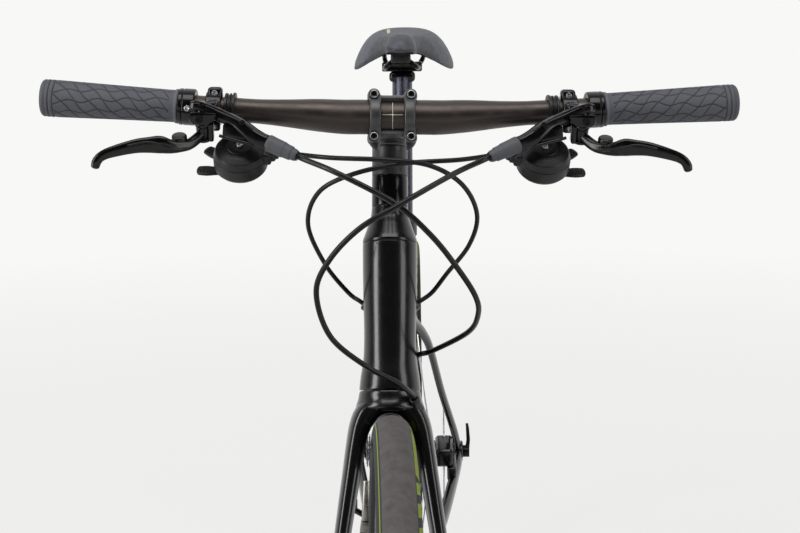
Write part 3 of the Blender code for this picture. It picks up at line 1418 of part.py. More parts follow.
def crank_arm(name, side, ahead, finish):
    """A crank arm with its boss, pedal eye and pedal spindle."""
    inner = CRANK_INNER_X
    middle = inner + CRANK_BOSS_WIDTH / 2
    places = ((0.0, 0.0, 0.0150, 0.0064), (0.30, 0.15, 0.0130, 0.0060), (0.70, 0.70, 0.0115, 0.0056),
              (1.0, 1.0, 0.0120, 0.0055))
    stations = []
    for share, flare, height, thick in places:
        aside = ASIDE * side * (middle + CRANK_FLARE * flare)
        stations.append((BB_CENTRE + ahead * CRANK_LENGTH * share + aside, height, thick))
    arm = swept(name, stations, ahead.cross(ASIDE), finish, power=3.0, count=SECTION_POINTS)
    boss_start = BB_CENTRE + ASIDE * side * inner
    boss_end = boss_start + ASIDE * side * CRANK_BOSS_WIDTH
    boss = rod(f"{name}_boss", CRANK_BOSS_RADIUS, boss_start, boss_end, 20)
    eye_centre = BB_CENTRE + ahead * CRANK_LENGTH + ASIDE * side * (middle + CRANK_FLARE)
    eye_half = ASIDE * side * 0.0060
    eye = rod(f"{name}_eye", CRANK_EYE_RADIUS, eye_centre - eye_half, eye_centre + eye_half, 16)
    spindle_end = eye_centre + ASIDE * side * (0.0060 + SEAT_GAP + PEDAL_WIDTH - 0.006)
    spindle = rod(f"{name}_pedal_spindle", PEDAL_SPINDLE_RADIUS, eye_centre, spindle_end, 12)
    join(arm, boss, eye, spindle)
    return arm


def make_crankset():
    axis = axis_empty("crank_axis", BB_CENTRE, ASIDE)
    drive = crank_arm("crank_drive", -1, CRANK_AHEAD, "gloss_black")
    spindle_end = CRANK_INNER_X + CRANK_BOSS_WIDTH - 0.001
    join(
        drive,
        rod(
            "spindle",
            SPINDLE_RADIUS,
            BB_CENTRE - ASIDE * (CRANK_INNER_X + 0.001),
            BB_CENTRE + ASIDE * spindle_end,
            TUBE_SIDES,
        ),
    )
    cup_face = BB_SHELL_WIDTH / 2 + SEAT_GAP + 0.0019 + SEAT_GAP
    ring_face = LARGE_RING_X + RING_THICKNESS / 2 + SEAT_GAP
    tab_inner = LARGE_RING_X + RING_SPACING - RING_THICKNESS / 2 - SEAT_GAP
    for i in range(SPIDER_ARMS):
        turn = 2 * math.pi * (i + 0.5) / SPIDER_ARMS
        out = Vector((0.0, math.cos(turn), math.sin(turn)))
        across = out.cross(ASIDE)
        arm_end = RING_INNER_RADIUS - 0.0025
        arm_mid = (0.010 + arm_end) / 2
        arm_x = -(CRANK_INNER_X + 0.0010 + cup_face) / 2
        arm = box(
            "spider_arm",
            (CRANK_INNER_X + 0.0010 - cup_face, arm_end - 0.010, 0.0130),
            frame_of(BB_CENTRE + out * arm_mid + ASIDE * arm_x, ASIDE, out, across * -1),
        )
        tab_start = 0.0340
        tab = box(
            "spider_tab",
            (tab_inner - ring_face, SPIDER_REACH - tab_start, 0.0110),
            frame_of(
                BB_CENTRE + out * (SPIDER_REACH + tab_start) / 2 + ASIDE * (tab_inner + ring_face) / 2,
                ASIDE,
                out,
                across * -1,
            ),
        )
        join(drive, arm, tab)
    left = crank_arm("crank_left", 1, CRANK_AHEAD * -1, "gloss_black")
    reach = ASIDE * 0.1
    cut(left, bore("crank_left_bore", SPINDLE_RADIUS, BB_CENTRE, BB_CENTRE + reach, TUBE_SIDES))
    large = make_chainring("chainring_large", LARGE_RING_TEETH, LARGE_RING_X)
    small = make_chainring("chainring_small", SMALL_RING_TEETH, LARGE_RING_X + RING_SPACING)
    carry(axis, drive, left, large, small)
    make_pedal("pedal_drive", -1, CRANK_AHEAD, axis)
    make_pedal("pedal_left", 1, CRANK_AHEAD * -1, axis)


def make_pedal(name, side, ahead, parent):
    """A flat pedal: a cage with a window each side of the barrel that turns on the spindle."""
    inner = CRANK_INNER_X + CRANK_BOSS_WIDTH / 2 + CRANK_FLARE + 0.0060 + 0.0040
    centre = BB_CENTRE + ahead * CRANK_LENGTH + ASIDE * side * (inner + PEDAL_WIDTH / 2)
    body = box(name, (PEDAL_WIDTH, PEDAL_LENGTH, PEDAL_THICKNESS), centre, "black_plastic", rounding=0.005)
    windows = []
    for shift in (1, -1):
        place = centre + Vector((0.0, shift * (PEDAL_LENGTH / 4 + 0.001), 0.0))
        windows.append(box(f"{name}_window", (PEDAL_WIDTH - 0.028, PEDAL_LENGTH / 2 - 0.024, 0.05), place))
    reach = ASIDE * side * PEDAL_WIDTH / 2
    bore_start = centre - reach * 1.2
    bore_end = centre + reach - ASIDE * side * 0.0065
    cut(body, *windows, bore(f"{name}_bore", PEDAL_SPINDLE_RADIUS, bore_start, bore_end))
    carry(axis_empty(f"{name}_axis", BB_CENTRE + ahead * CRANK_LENGTH, ASIDE, parent), body)


# Chain


def cage_ends():
    """The centres of the guide pulley, on the cage's pivot, and of the tension pulley."""
    guide = Vector(CAGE_PIVOT)
    return guide, guide + Vector((-math.sin(CAGE_LEAN), -math.cos(CAGE_LEAN))) * PULLEY_SPACING


def chain_route():
    """(centre, inward normal) pairs along the chain in the YZ plane: round ring, pulleys and cog."""
    guide, tension = cage_ends()
    wheels = [
        (Vector((BB_CENTRE.y, BB_CENTRE.z)), pitch_radius(LARGE_RING_TEETH), 17),
        (tension, pitch_radius(PULLEY_TEETH), 6),
        (guide, -pitch_radius(PULLEY_TEETH), 5),
        (Vector((REAR_AXLE.y, REAR_AXLE.z)), pitch_radius(COG_IN_USE), 9),
    ]
    headings = []
    for i, (centre, radius, _) in enumerate(wheels):
        following, next_radius, _ = wheels[(i + 1) % len(wheels)]
        span = following - centre
        step = next_radius - radius
        run = math.sqrt(span.length_squared - step**2)
        headings.append(math.atan2(span.y, span.x) - math.atan2(step, run))
    route = []
    for i, (centre, radius, count) in enumerate(wheels):
        entry, leave = headings[i - 1], headings[i]
        turn = (leave - entry) % (2 * math.pi)
        if radius < 0:
            turn -= 2 * math.pi
        for k in range(count):
            heading = entry + turn * k / (count - 1)
            left = Vector((-math.sin(heading), math.cos(heading)))
            route.append((centre - left * radius, left))
    return route


def make_chain():
    """A closed band whose channel, open inwards, lets the teeth through."""
    roof = TOOTH_TIP + 0.0007
    section = [
        (-CHAIN_HALF_WIDTH, -CHAIN_HALF_HEIGHT),
        (CHAIN_HALF_WIDTH, -CHAIN_HALF_HEIGHT),
        (CHAIN_HALF_WIDTH, CHAIN_HALF_HEIGHT),
        (CHAIN_SLOT_HALF, CHAIN_HALF_HEIGHT),
        (CHAIN_SLOT_HALF, -roof),
        (-CHAIN_SLOT_HALF, -roof),
        (-CHAIN_SLOT_HALF, CHAIN_HALF_HEIGHT),
        (-CHAIN_HALF_WIDTH, CHAIN_HALF_HEIGHT),
    ]
    bm = bmesh.new()
    rows = []
    for centre, inward in chain_route():
        row = []
        for aside, inside in section:
            place = centre + inward * inside
            row.append(bm.verts.new((LARGE_RING_X + aside, place.x, place.y)))
        rows.append(row)
    for near, far in zip(rows, rows[1:] + rows[:1]):
        for i in range(len(section)):
            j = (i + 1) % len(section)
            bm.faces.new((near[i], near[j], far[j], far[i]))
    return from_bmesh("chain", bm, "steel")


# Derailleurs


def make_rear_derailleur():
    """Knuckle on the hanger, one swinging link, cage knuckle, cage and two pulleys."""
    down = Vector((0.0, -math.sin(LINK_LEAN), -math.cos(LINK_LEAN)))
    hinge = ASIDE.cross(down)
    top = LINK_TOP
    low = top + down * LINK_LENGTH
    eye = 0.0056
    foot = Vector((0.0, *HANGER_PIVOT))
    outer_x = HANGER_OUTER_X - SEAT_GAP
    far, near = foot + ASIDE * (outer_x - 0.0150), foot + ASIDE * outer_x
    upper = rod("rear_derailleur_knuckle", 0.0095, far, near, 16, "satin_black")
    arm_root = foot + ASIDE * (HANGER_OUTER_X - 0.0080)
    upper_arm = [(top - down * 0.0095, 0.0080, 0.0050), (arm_root, 0.0080, 0.0064)]
    join(upper, swept("knuckle_arm", upper_arm, hinge, power=3.0, count=10))
    yoke(upper, "knuckle", top, hinge, down * -1)
    lower_core = Vector((0.0, *CAGE_PIVOT))
    plate_x = LARGE_RING_X - CAGE_HALF_GAP - CAGE_PLATE
    lower = rod(
        "rear_derailleur_cage_knuckle",
        0.0100,
        lower_core + ASIDE * (plate_x - SEAT_GAP - 0.0120),
        lower_core + ASIDE * (plate_x - SEAT_GAP),
        16,
        "satin_black",
    )
    bridge = swept(
        "cage_knuckle_bridge",
        [
            (lower_core + ASIDE * (plate_x - 0.0095), 0.0070, 0.0050),
            (low + down * 0.0095, 0.0080, 0.0050),
        ],
        hinge,
        power=3.0,
        count=10,
    )
    join(lower, bridge)
    yoke(lower, "cage_knuckle", low, hinge, down)
    stub_start = lower_core + ASIDE * (plate_x - STUB_LENGTH - SEAT_GAP)
    cut(lower, bore("cage_stub_hole", STUB_RADIUS, stub_start, lower_core + ASIDE * plate_x, 12))
    half = hinge * LINK_HALF_WIDTH
    link = rod("rear_derailleur_link", eye, top - half, top + half, 10, "satin_black")
    bar = swept(
        "link_bar",
        [(top, LINK_HALF_WIDTH - 0.0008, 0.0040), (low, LINK_HALF_WIDTH - 0.0008, 0.0040)],
        hinge,
        power=5.0,
        count=12,
    )
    join(link, rod("link_eye", eye, low - half, low + half, 10), bar)
    cut(link, bore("link_bore_top", LINK_PIN_RADIUS, top - half * 2, top + half * 2, 8))
    cut(link, bore("link_bore_low", LINK_PIN_RADIUS, low - half * 2, low + half * 2, 8))
    link_axis = axis_empty("rear_derailleur_link_axis", top, hinge)
    knuckle_axis = axis_empty("rear_derailleur_knuckle_axis", low, hinge, link_axis)
    carry(link_axis, link)
    carry(knuckle_axis, lower)
    make_cage(knuckle_axis)


def yoke(knuckle, name, centre, hinge, away):
    """Gives a knuckle the fork and the pin that hold one end of the link."""
    room = LINK_HALF_WIDTH + SEAT_GAP
    across = away.cross(hinge)
    block_place = frame_of(centre + away * 0.0030, across, away, hinge)
    block = box(f"{name}_block", (0.0112, 0.0190, 2 * (room + YOKE_WALL)), block_place)
    slot_place = frame_of(centre - away * 0.0120, across, away, hinge)
    slot = box(f"{name}_slot", (0.0400, 0.0376, 2 * room), slot_place)
    half = hinge * (room + YOKE_WALL - 0.0008)
    join(knuckle, block)
    cut(knuckle, slot)
    join(knuckle, rod(f"{name}_pin", LINK_PIN_RADIUS, centre - half, centre + half, 8))


def cage_plate(name, at_x, guide, tension):
    """One side plate of the cage, round both pulleys' centres."""
    ahead = (tension - guide).normalized()
    start = math.atan2(ahead.y, ahead.x)
    outline = []
    for centre, radius, quarter in ((guide, 0.0110, 1), (tension, 0.0090, -1)):
        for k in range(7):
            turn = start + quarter * math.pi / 2 + math.pi * k / 6
            outline.append((centre.x + radius * math.cos(turn), centre.y + radius * math.sin(turn)))
    place = frame_of(ASIDE * at_x, Vector((0.0, 1.0, 0.0)), Vector((0.0, 0.0, 1.0)), ASIDE)
    return flat_plate(name, [outline], CAGE_PLATE, place)


def make_cage(parent):
    """The cage on its pivot: two plates, the pulleys' bolts and the stub that turns in the knuckle."""
    guide, tension = cage_ends()
    outer_x = LARGE_RING_X - CAGE_HALF_GAP - CAGE_PLATE / 2
    inner_x = LARGE_RING_X + CAGE_HALF_GAP + CAGE_PLATE / 2
    pivot = Vector((0.0, guide.x, guide.y))
    cage = rod(
        "rear_derailleur_cage",
        STUB_RADIUS,
        pivot + ASIDE * (outer_x - CAGE_PLATE / 2 - STUB_LENGTH),
        pivot + ASIDE * outer_x,
        12,
        "dark_steel",
    )
    bolts = []
    for centre in (guide, tension):
        place = Vector((0.0, centre.x, centre.y))
        bolts.append(rod("pulley_bolt", PULLEY_BOLT, place + ASIDE * outer_x, place + ASIDE * inner_x, 10))
    outer_plate = cage_plate("outer_plate", outer_x, guide, tension)
    inner_plate = cage_plate("inner_plate", inner_x, guide, tension)
    join(cage, outer_plate, inner_plate, *bolts)
    cage_axis = axis_empty("rear_derailleur_cage_axis", pivot, ASIDE, parent)
    carry(cage_axis, cage)
    root = pitch_radius(PULLEY_TEETH) - CHAIN_HALF_HEIGHT - SEAT_GAP - 0.0002
    for name, centre in (("guide_pulley", guide), ("tension_pulley", tension)):
        place = Vector((0.0, centre.x, centre.y))
        hub = CAGE_HALF_GAP - SEAT_GAP
        inner = bore_for(PULLEY_BOLT, 10)
        outline = [
            (hub, inner),
            (hub, 0.0060),
            (PULLEY_HALF_WIDTH, 0.0080),
            (PULLEY_HALF_WIDTH, root),
            (-PULLEY_HALF_WIDTH, root),
            (-PULLEY_HALF_WIDTH, 0.0080),
            (-hub, 0.0060),
            (-hub, inner),
        ]
        place += ASIDE * LARGE_RING_X
        pulley = turned(name, outline, place, ASIDE, 10, "black_plastic", ring=True)
        carry(axis_empty(f"{name}_axis", place, ASIDE, cage_axis), pulley)


def arc_plate(name, at_x, inner, outer, first, last, thickness):
    """A plate that follows the chainring, between two radii and two angles from straight back."""
    outline = []
    for radius, steps in ((outer, range(5)), (inner, range(4, -1, -1))):
        for k in steps:
            turn = blend(first, last, k / 4)
            outline.append((BB_CENTRE.y + radius * math.cos(turn), BB_CENTRE.z + radius * math.sin(turn)))
    place = frame_of(ASIDE * at_x, Vector((0.0, 1.0, 0.0)), Vector((0.0, 0.0, 1.0)), ASIDE)
    return flat_plate(name, [outline], thickness, place)


def make_front_derailleur():
    """A band clamp on the seat tube, and the cage on a rod that slides in the clamp's block."""
    band_centre = on_seat_tube(FRONT_MECH_HEIGHT)
    inner = bore_for(SEAT_TUBE_RADIUS, TUBE_SIDES)
    outer = inner + 0.0034
    outline = [(0.0070, inner), (0.0070, outer), (-0.0070, outer), (-0.0070, inner)]
    name = "front_derailleur_bracket"
    bracket = turned(name, outline, band_centre, SEAT_AXIS, TUBE_SIDES, "satin_black", ring=True)
    rod_centre = band_centre + Vector((0.0, -0.0230, 0.0))
    block_centre = rod_centre + Vector((-0.0228, 0.0030, 0.0))
    block = box("bracket_block", (0.0147, 0.0200, 0.0120), block_centre)
    join(bracket, block)
    reach = ASIDE * 0.05
    cut(bracket, bore("bracket_bore", FRONT_MECH_ROD_RADIUS, rod_centre - reach, rod_centre + reach, 12))
    ring_tip = pitch_radius(LARGE_RING_TEETH) + CHAIN_HALF_HEIGHT
    top = ring_tip + 0.0110
    plate_x = 0.0065
    over_ring = ring_tip + RUNNING_GAP
    outer_plate = arc_plate("cage_outer", LARGE_RING_X - plate_x, over_ring, top, 1.02, 1.92, 0.0014)
    inner_plate = arc_plate("cage_inner", LARGE_RING_X + plate_x, ring_tip - 0.022, top, 1.02, 1.92, 0.0014)
    arm_low = BB_CENTRE + Vector((LARGE_RING_X, math.cos(1.50) * top, math.sin(1.50) * top))
    arm_top = Vector((LARGE_RING_X, rod_centre.y, rod_centre.z))
    cage = rod(
        "front_derailleur_cage",
        FRONT_MECH_ROD_RADIUS,
        arm_top,
        Vector((-0.0110, rod_centre.y, rod_centre.z)),
        12,
        "dark_steel",
    )
    arm_head = arm_top + Vector((0.0, 0.0, 0.004))
    arm_stations = [(arm_low, 0.0065, 0.0028), (arm_head, 0.0050, 0.0045)]
    arm = swept("cage_arm", arm_stations, ASIDE, power=3.0, count=10)
    bridge = arc_plate("cage_bridge", LARGE_RING_X, top - 0.0024, top, 1.20, 1.80, 2 * plate_x)
    join(cage, arm, bridge, outer_plate, inner_plate)
    axis = axis_empty("front_derailleur_axis", rod_centre, ASIDE)
    carry(axis, cage)


# Seatpost and saddle


def make_seatpost(parent):
    foot = on_seat_tube(SEAT_TUBE_LENGTH - SEATPOST_INSERT)
    top = on_seat_tube((RAIL_HEIGHT - 0.0165 - BB_CENTRE.z) / SEAT_AXIS.z)
    post = rod("seatpost", SEATPOST_RADIUS, foot, top, TUBE_SIDES, "satin_black")
    head = box(
        "seatpost_head",
        (0.0400, CLAMP_LENGTH, 0.0140),
        Vector((0.0, CLAMP_Y, RAIL_HEIGHT - 0.0062 - SEAT_GAP - 0.0070)),
        rounding=0.003,
    )
    join(post, head)
    clamp = box(
        "saddle_clamp",
        (2 * RAIL_ASIDE + 0.0100, CLAMP_LENGTH, 0.0124),
        Vector((0.0, CLAMP_Y, RAIL_HEIGHT)),
        "satin_black",
        rounding=0.0015,
    )
    for side in (1, -1):
        centre = Vector((side * RAIL_ASIDE, CLAMP_Y, RAIL_HEIGHT))
        reach_y = Vector((0.0, 0.05, 0.0))
        cut(clamp, bore(f"rail_groove_{side}", RAIL_RADIUS, centre - reach_y, centre + reach_y, 12))
    carry(parent, post, clamp)


def saddle_half_width(share):
    """The saddle's half width from nose to tail: slim nose, then wings, then a rounded tail."""
    spread = 0.5 - 0.5 * math.cos(math.pi * min(max((share - 0.30) / 0.52, 0.0), 1.0))
    width = blend(SADDLE_NOSE_HALF_WIDTH, SADDLE_HALF_WIDTH, spread)
    if share < 0.06:
        width *= 0.55 + 0.45 * share / 0.06
    if share > 0.90:
        width *= 1.0 - 0.32 * ((share - 0.90) / 0.10) ** 2
    return width


def saddle_crown(share):
    """The height of the saddle's middle line."""
    dip = 0.006 * math.sin(math.pi * min(share / 0.8, 1.0))
    nose = 0.010 * max(0.0, 1.0 - share / 0.12) ** 2
    tail = 0.010 * max(0.0, (share - 0.93) / 0.07)
    return SADDLE_CROWN_HEIGHT - 0.004 * (1 - share) - dip - nose - tail


def saddle_fall(across, share):
    """How far the cover falls from the middle to a distance across, as a share of the half width."""
    wings = 0.5 - 0.5 * math.cos(math.pi * min(max((share - 0.36) / 0.44, 0.0), 1.0))
    edge = blend(SADDLE_NOSE_FALL, SADDLE_WING_FALL, wings)
    return edge * (0.22 * across**2 + 0.78 * across**4.5)


def saddle_point(share, across, depth):
    """A point under the cover, depth below its surface, at a share of the half width."""
    x = across * saddle_half_width(share)
    y = SADDLE_NOSE_Y + SADDLE_LENGTH * share
    return Vector((x, y, saddle_crown(share) - saddle_fall(abs(across), share) - depth))


def saddle_underside(share, across):
    """A point of the cushion's underside, which is drawn in below its edge."""
    point = saddle_point(share, across, SADDLE_PAD_THICKNESS * (1 - 0.55 * abs(across) ** 3))
    point.x *= SADDLE_DRAWN_IN
    return point


def shell_socket(name, share, across, size):
    """A block on the shell's underside that holds a rail's end, and the place where the rail meets it."""
    point = saddle_underside(share, across)
    beside = saddle_underside(share, across + 0.05) - saddle_underside(share, across - 0.05)
    up = beside.cross(Vector((0.0, 1.0, 0.0))).normalized()
    out = Vector((0.0, 1.0, 0.0)).cross(up)
    roof = SEAT_GAP + SADDLE_SHELL_DROP + SADDLE_SHELL_THICKNESS / 2
    block = box(name, size, frame_of(point - up * (roof + size[2] / 2), out, up.cross(out), up))
    return block, point - up * (roof + size[2]), up


SADDLE_SHARES = (0.0, 0.02, 0.06, 0.14, 0.24, 0.34, 0.43, 0.52, 0.61, 0.70, 0.79, 0.87, 0.93, 0.975, 1.0)
SADDLE_ACROSS = (-1.0, -0.95, -0.82, -0.64, -0.44, -0.22, 0.0, 0.22, 0.44, 0.64, 0.82, 0.95, 1.0)


def make_saddle(parent):
    """The crowned cushion over its shell, and the rails as one bent wire."""
    cushion_rings = []
    shell_rings = []
    for share in SADDLE_SHARES:
        top = [saddle_point(share, across, 0.0) for across in SADDLE_ACROSS]
        under = [saddle_underside(share, across) for across in reversed(SADDLE_ACROSS[::2])]
        cushion_rings.append(top + under)
        if SADDLE_SHARES[1] < share < SADDLE_SHARES[-2]:
            drop = Vector((0.0, 0.0, SEAT_GAP + SADDLE_SHELL_DROP))
            roof = [point - drop for point in under[1:-1]]
            floor = [point - Vector((0.0, 0.0, SADDLE_SHELL_THICKNESS)) for point in reversed(roof)]
            shell_rings.append(roof + floor)
    cushion = loft("saddle_cushion", cushion_rings, "saddle_cover")
    shell = loft("saddle_shell", shell_rings, "black_plastic")
    nose_block, nose_end, _ = shell_socket("nose_socket", 0.15, 0.0, (0.024, 0.018, 0.012))
    tail_block, tail_end, tail_up = shell_socket("tail_socket", 0.86, 0.42, (0.012, 0.014, 0.012))
    other_block, _, _ = shell_socket("tail_socket_other", 0.86, -0.42, (0.012, 0.014, 0.012))
    join(shell, nose_block, tail_block, other_block)
    under_nose = nose_end.z - RAIL_RADIUS - SEAT_GAP
    side_route = [
        tail_end - tail_up * SEAT_GAP,
        tail_end - tail_up * 0.006,
        Vector((blend(RAIL_ASIDE, tail_end.x, 0.6), CLAMP_Y + 0.082, blend(RAIL_HEIGHT, tail_end.z, 0.35))),
        Vector((RAIL_ASIDE, CLAMP_Y + 0.050, RAIL_HEIGHT)),
        Vector((RAIL_ASIDE, CLAMP_Y - 0.045, RAIL_HEIGHT)),
        Vector((0.0150, CLAMP_Y - 0.068, blend(RAIL_HEIGHT, under_nose, 0.55))),
        Vector((0.0080, nose_end.y + 0.006, under_nose)),
    ]
    bend = [Vector((0.0, nose_end.y - 0.003, under_nose))]
    route = side_route + bend + [sided(point, -1) for point in reversed(side_route)]
    rails = tube("saddle_rails", route, RAIL_RADIUS, "steel")
    carry(parent, cushion, shell, rails)


def weld_pieces():
    """Joins the doubled corners that a Boolean can leave."""
    for obj in pieces.objects:
        if any(modifier.type == "BOOLEAN" for modifier in obj.modifiers):
            weld = obj.modifiers.new("weld", "WELD")
            weld.merge_threshold = 0.000005


def report_axes():
    """Prints each joint's place and axis at rest, in world metres."""
    bpy.context.view_layer.update()
    for obj in sorted(pieces.objects, key=lambda o: o.name):
        if obj.type == "EMPTY":
            place, axis = obj.matrix_world.translation, obj.matrix_world.to_3x3() @ Vector((0.0, 0.0, 1.0))
            print(f"{obj.name}: at {[round(v, 5) for v in place]} along {[round(v, 5) for v in axis]}")


clear_scene()
pieces, cutters = make_collections()
finishes = make_finishes()

make_frame()
make_headset_bearings()
make_bottom_bracket()
make_chain()
caliper("rear_brake_caliper", REAR_CALIPER_SIZE, rear_caliper_frame(), REAR_AXLE + ASIDE * REAR_DISC_X)

steering = axis_empty("steering_axis", CROWN, STEER_AXIS)
carry(steering, make_fork(), *make_headset_top(), make_stem(), make_faceplate(), make_handlebar())
carry(steering, make_grip(1, "grip_left"), make_grip(-1, "grip_right"))
for side, hand in ((1, "left"), (-1, "right")):
    carry(steering, make_brake_body(side, f"brake_body_{hand}"), make_shifter(side, f"shifter_{hand}"))
    make_brake_lever(side, f"brake_lever_{hand}")
    make_trigger(side, f"shift_lever_{hand}", 0, SHIFT_LEVER_REACH, math.radians(38.0))
    make_trigger(side, f"release_lever_{hand}", 1, RELEASE_LEVER_REACH, math.radians(2.0))
carry(steering, *make_hoses())
disc_centre = FRONT_AXLE + ASIDE * FRONT_DISC_X
carry(steering, caliper("front_brake_caliper", FRONT_CALIPER_SIZE, front_caliper_frame(), disc_centre))
make_axle("front_axle", FRONT_AXLE, FRONT_HUB_WIDTH / 2 + 0.0133, -1, steering)
make_front_wheel()

make_axle("rear_axle", REAR_AXLE, REAR_HUB_WIDTH / 2 + DROPOUT_THICKNESS + SEAT_GAP, 1)
make_rear_wheel()
make_cassette()
make_crankset()
make_rear_derailleur()
make_front_derailleur()

seat_axis = axis_empty("seatpost_axis", on_seat_tube(SEAT_TUBE_LENGTH), SEAT_AXIS)
make_seatpost(seat_axis)
make_saddle(seat_axis)

steering.matrix_world = straight_matrices["steering_axis"] @ Matrix.Rotation(STEER_AT_REST, 4, "Z")
weld_pieces()
report_axes()
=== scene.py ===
"""The finished look of a flat-bar fitness road bicycle, fitted over its solid model.

Metres, +Z up. The bicycle faces -Y and +X is the rider's left. Pieces that turn with the steering are shaped
with the wheel straight ahead and then turned to where the bicycle stands at rest.
"""

import math

import bmesh
import bpy
from mathutils import Matrix, Vector
from mathutils.bvhtree import BVHTree


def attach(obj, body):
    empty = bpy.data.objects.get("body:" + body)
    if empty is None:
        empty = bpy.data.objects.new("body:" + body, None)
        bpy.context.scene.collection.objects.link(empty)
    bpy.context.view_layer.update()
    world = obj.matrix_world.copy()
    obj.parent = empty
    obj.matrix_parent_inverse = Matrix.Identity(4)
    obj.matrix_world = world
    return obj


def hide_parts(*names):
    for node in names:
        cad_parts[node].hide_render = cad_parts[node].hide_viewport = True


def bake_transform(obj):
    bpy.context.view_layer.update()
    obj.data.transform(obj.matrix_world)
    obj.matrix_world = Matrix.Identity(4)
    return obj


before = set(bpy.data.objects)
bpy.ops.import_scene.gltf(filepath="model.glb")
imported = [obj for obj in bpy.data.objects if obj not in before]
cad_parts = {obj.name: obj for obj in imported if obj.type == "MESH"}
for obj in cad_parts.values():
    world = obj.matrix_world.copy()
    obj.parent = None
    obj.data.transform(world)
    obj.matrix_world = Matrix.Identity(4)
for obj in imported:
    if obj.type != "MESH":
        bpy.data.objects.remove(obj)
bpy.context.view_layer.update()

# Sizes shared with the solid model
WHEELBASE = 1.01
TYRE_RADIUS = 0.3425
TYRE_WIDTH = 0.036
RIM_BED_RADIUS = 0.3131
RIM_DEPTH = 0.0206
SPOKE_SWEEP = math.radians(34.0)
AXLE_RADIUS = 0.0059
DISC_RADIUS = 0.08
DISC_BAND = 0.015
HEAD_ANGLE = math.radians(72.0)
FORK_LENGTH = 0.37
FORK_RAKE = 0.048
STEER_AT_REST = math.radians(3.5)
HEAD_FOOT = 0.0008
HEAD_TOP = 0.1418
SPACER_RADIUS = 0.0174
CONE_HEIGHT = 0.035
GLOSS_SPACER_HEIGHT = 0.03
MATT_SPACER_HEIGHT = 0.028
STEM_LENGTH = 0.08
STEM_CLAMP_HEIGHT = 0.04
STEM_CLAMP_RADIUS = 0.0178
BAR_CLAMP_RADIUS = 0.0159
BAR_GRIP_RADIUS = 0.0111
BAR_HALF_WIDTH = 0.32
BAR_CENTRE_HALF = 0.045
BAR_RISE = math.radians(3.1)
BAR_SWEEP = math.radians(2.5)
GRIP_LENGTH = 0.126
LOCK_RING_WIDTH = 0.015
SEAT_ANGLE = math.radians(73.5)
CHAINSTAY_LENGTH = 0.425
BB_DROP = 0.07
CRANK_LENGTH = 0.1725
CHAIN_PITCH = 0.0127
LARGE_RING_X = -0.0475
LARGE_RING_TEETH = 46
SMALL_RING_TEETH = 30
COGS = (32, 28, 25, 22, 20, 18, 16, 14, 13, 12, 11)
COG_SPACING = 0.00374
PULLEY_TEETH = 11
SPOKE_COUNT = 24
SEAT_GAP = 0.0003
SEATPOST_RADIUS = 0.0136
CRANK_INNER_X = 0.054
CRANK_BOSS_WIDTH = 0.013
CRANK_FLARE = 0.009
SHARP_ANGLE = 34.0

ASIDE = Vector((1.0, 0.0, 0.0))
AHEAD = Vector((0.0, -1.0, 0.0))
BACK = Vector((0.0, 1.0, 0.0))
UP = Vector((0.0, 0.0, 1.0))
STEER_AXIS = Vector((0.0, math.cos(HEAD_ANGLE), math.sin(HEAD_ANGLE)))
STEER_AHEAD = Vector((0.0, -math.sin(HEAD_ANGLE), math.cos(HEAD_ANGLE)))
SEAT_AXIS = Vector((0.0, math.cos(SEAT_ANGLE), math.sin(SEAT_ANGLE)))
FRONT_AXLE = Vector((0.0, -WHEELBASE / 2, TYRE_RADIUS))
REAR_AXLE = Vector((0.0, WHEELBASE / 2, TYRE_RADIUS))
FORK_DROP = math.sqrt(FORK_LENGTH**2 - FORK_RAKE**2)
CROWN = FRONT_AXLE - STEER_AHEAD * FORK_RAKE + STEER_AXIS * FORK_DROP
BB_CENTRE = Vector((0.0, REAR_AXLE.y - math.sqrt(CHAINSTAY_LENGTH**2 - BB_DROP**2), TYRE_RADIUS - BB_DROP))
CONE_FOOT = HEAD_TOP + SEAT_GAP
SPACER_FOOT = CONE_FOOT + CONE_HEIGHT + SEAT_GAP
STEM_FOOT = SPACER_FOOT + GLOSS_SPACER_HEIGHT + MATT_SPACER_HEIGHT + SEAT_GAP
STEM_DROP = math.radians(6.0)
STEM_AHEAD = STEER_AHEAD * math.cos(STEM_DROP) - STEER_AXIS * math.sin(STEM_DROP)
STEM_UP = STEM_AHEAD.cross(ASIDE)
STEM_PIVOT = CROWN + STEER_AXIS * (STEM_FOOT + STEM_CLAMP_HEIGHT / 2)
BAR_CENTRE = STEM_PIVOT + STEM_AHEAD * STEM_LENGTH
LEVER_TILT = math.radians(22.7)
LEVER_AXIS = Vector((0.0, -math.sin(LEVER_TILT), math.cos(LEVER_TILT)))
LEVER_PIVOT = Vector((0.17, -0.378, 0.925))
LEVER_ROOT = Vector((0.166, -0.3735, 0.9445))
BOOT_START = Vector((0.1105, -0.3912, 0.916))
BOOT_END = Vector((0.0855, -0.3995, 0.9057))
BARREL_END = Vector((0.1035, -0.3715, 0.904))
POD_TILT = math.radians(37.0)
POD_AXIS = Vector((0.0, -math.sin(POD_TILT), math.cos(POD_TILT)))
POD_BACK = POD_AXIS.cross(ASIDE)
POD_CENTRE = Vector((0.138, -0.366, 0.9015))
TURN = Matrix.Translation(CROWN) @ Matrix.Rotation(STEER_AT_REST, 4, STEER_AXIS) @ Matrix.Translation(-CROWN)
STEERED = {
    "steering", "front_wheel", "front_axle", "brake_lever_left", "brake_lever_right", "shift_lever_left",
    "shift_lever_right", "release_lever_left", "release_lever_right",
}

# Materials


def linear(colour):
    """An sRGB hex colour as linear values."""
    channels = [int(colour[i : i + 2], 16) / 255 for i in (1, 3, 5)]
    return tuple(c / 12.92 if c <= 0.04045 else ((c + 0.055) / 1.055) ** 2.4 for c in channels)


def per(millimetres):
    """How many times a pattern of this size fits in a metre."""
    return 1000.0 / millimetres


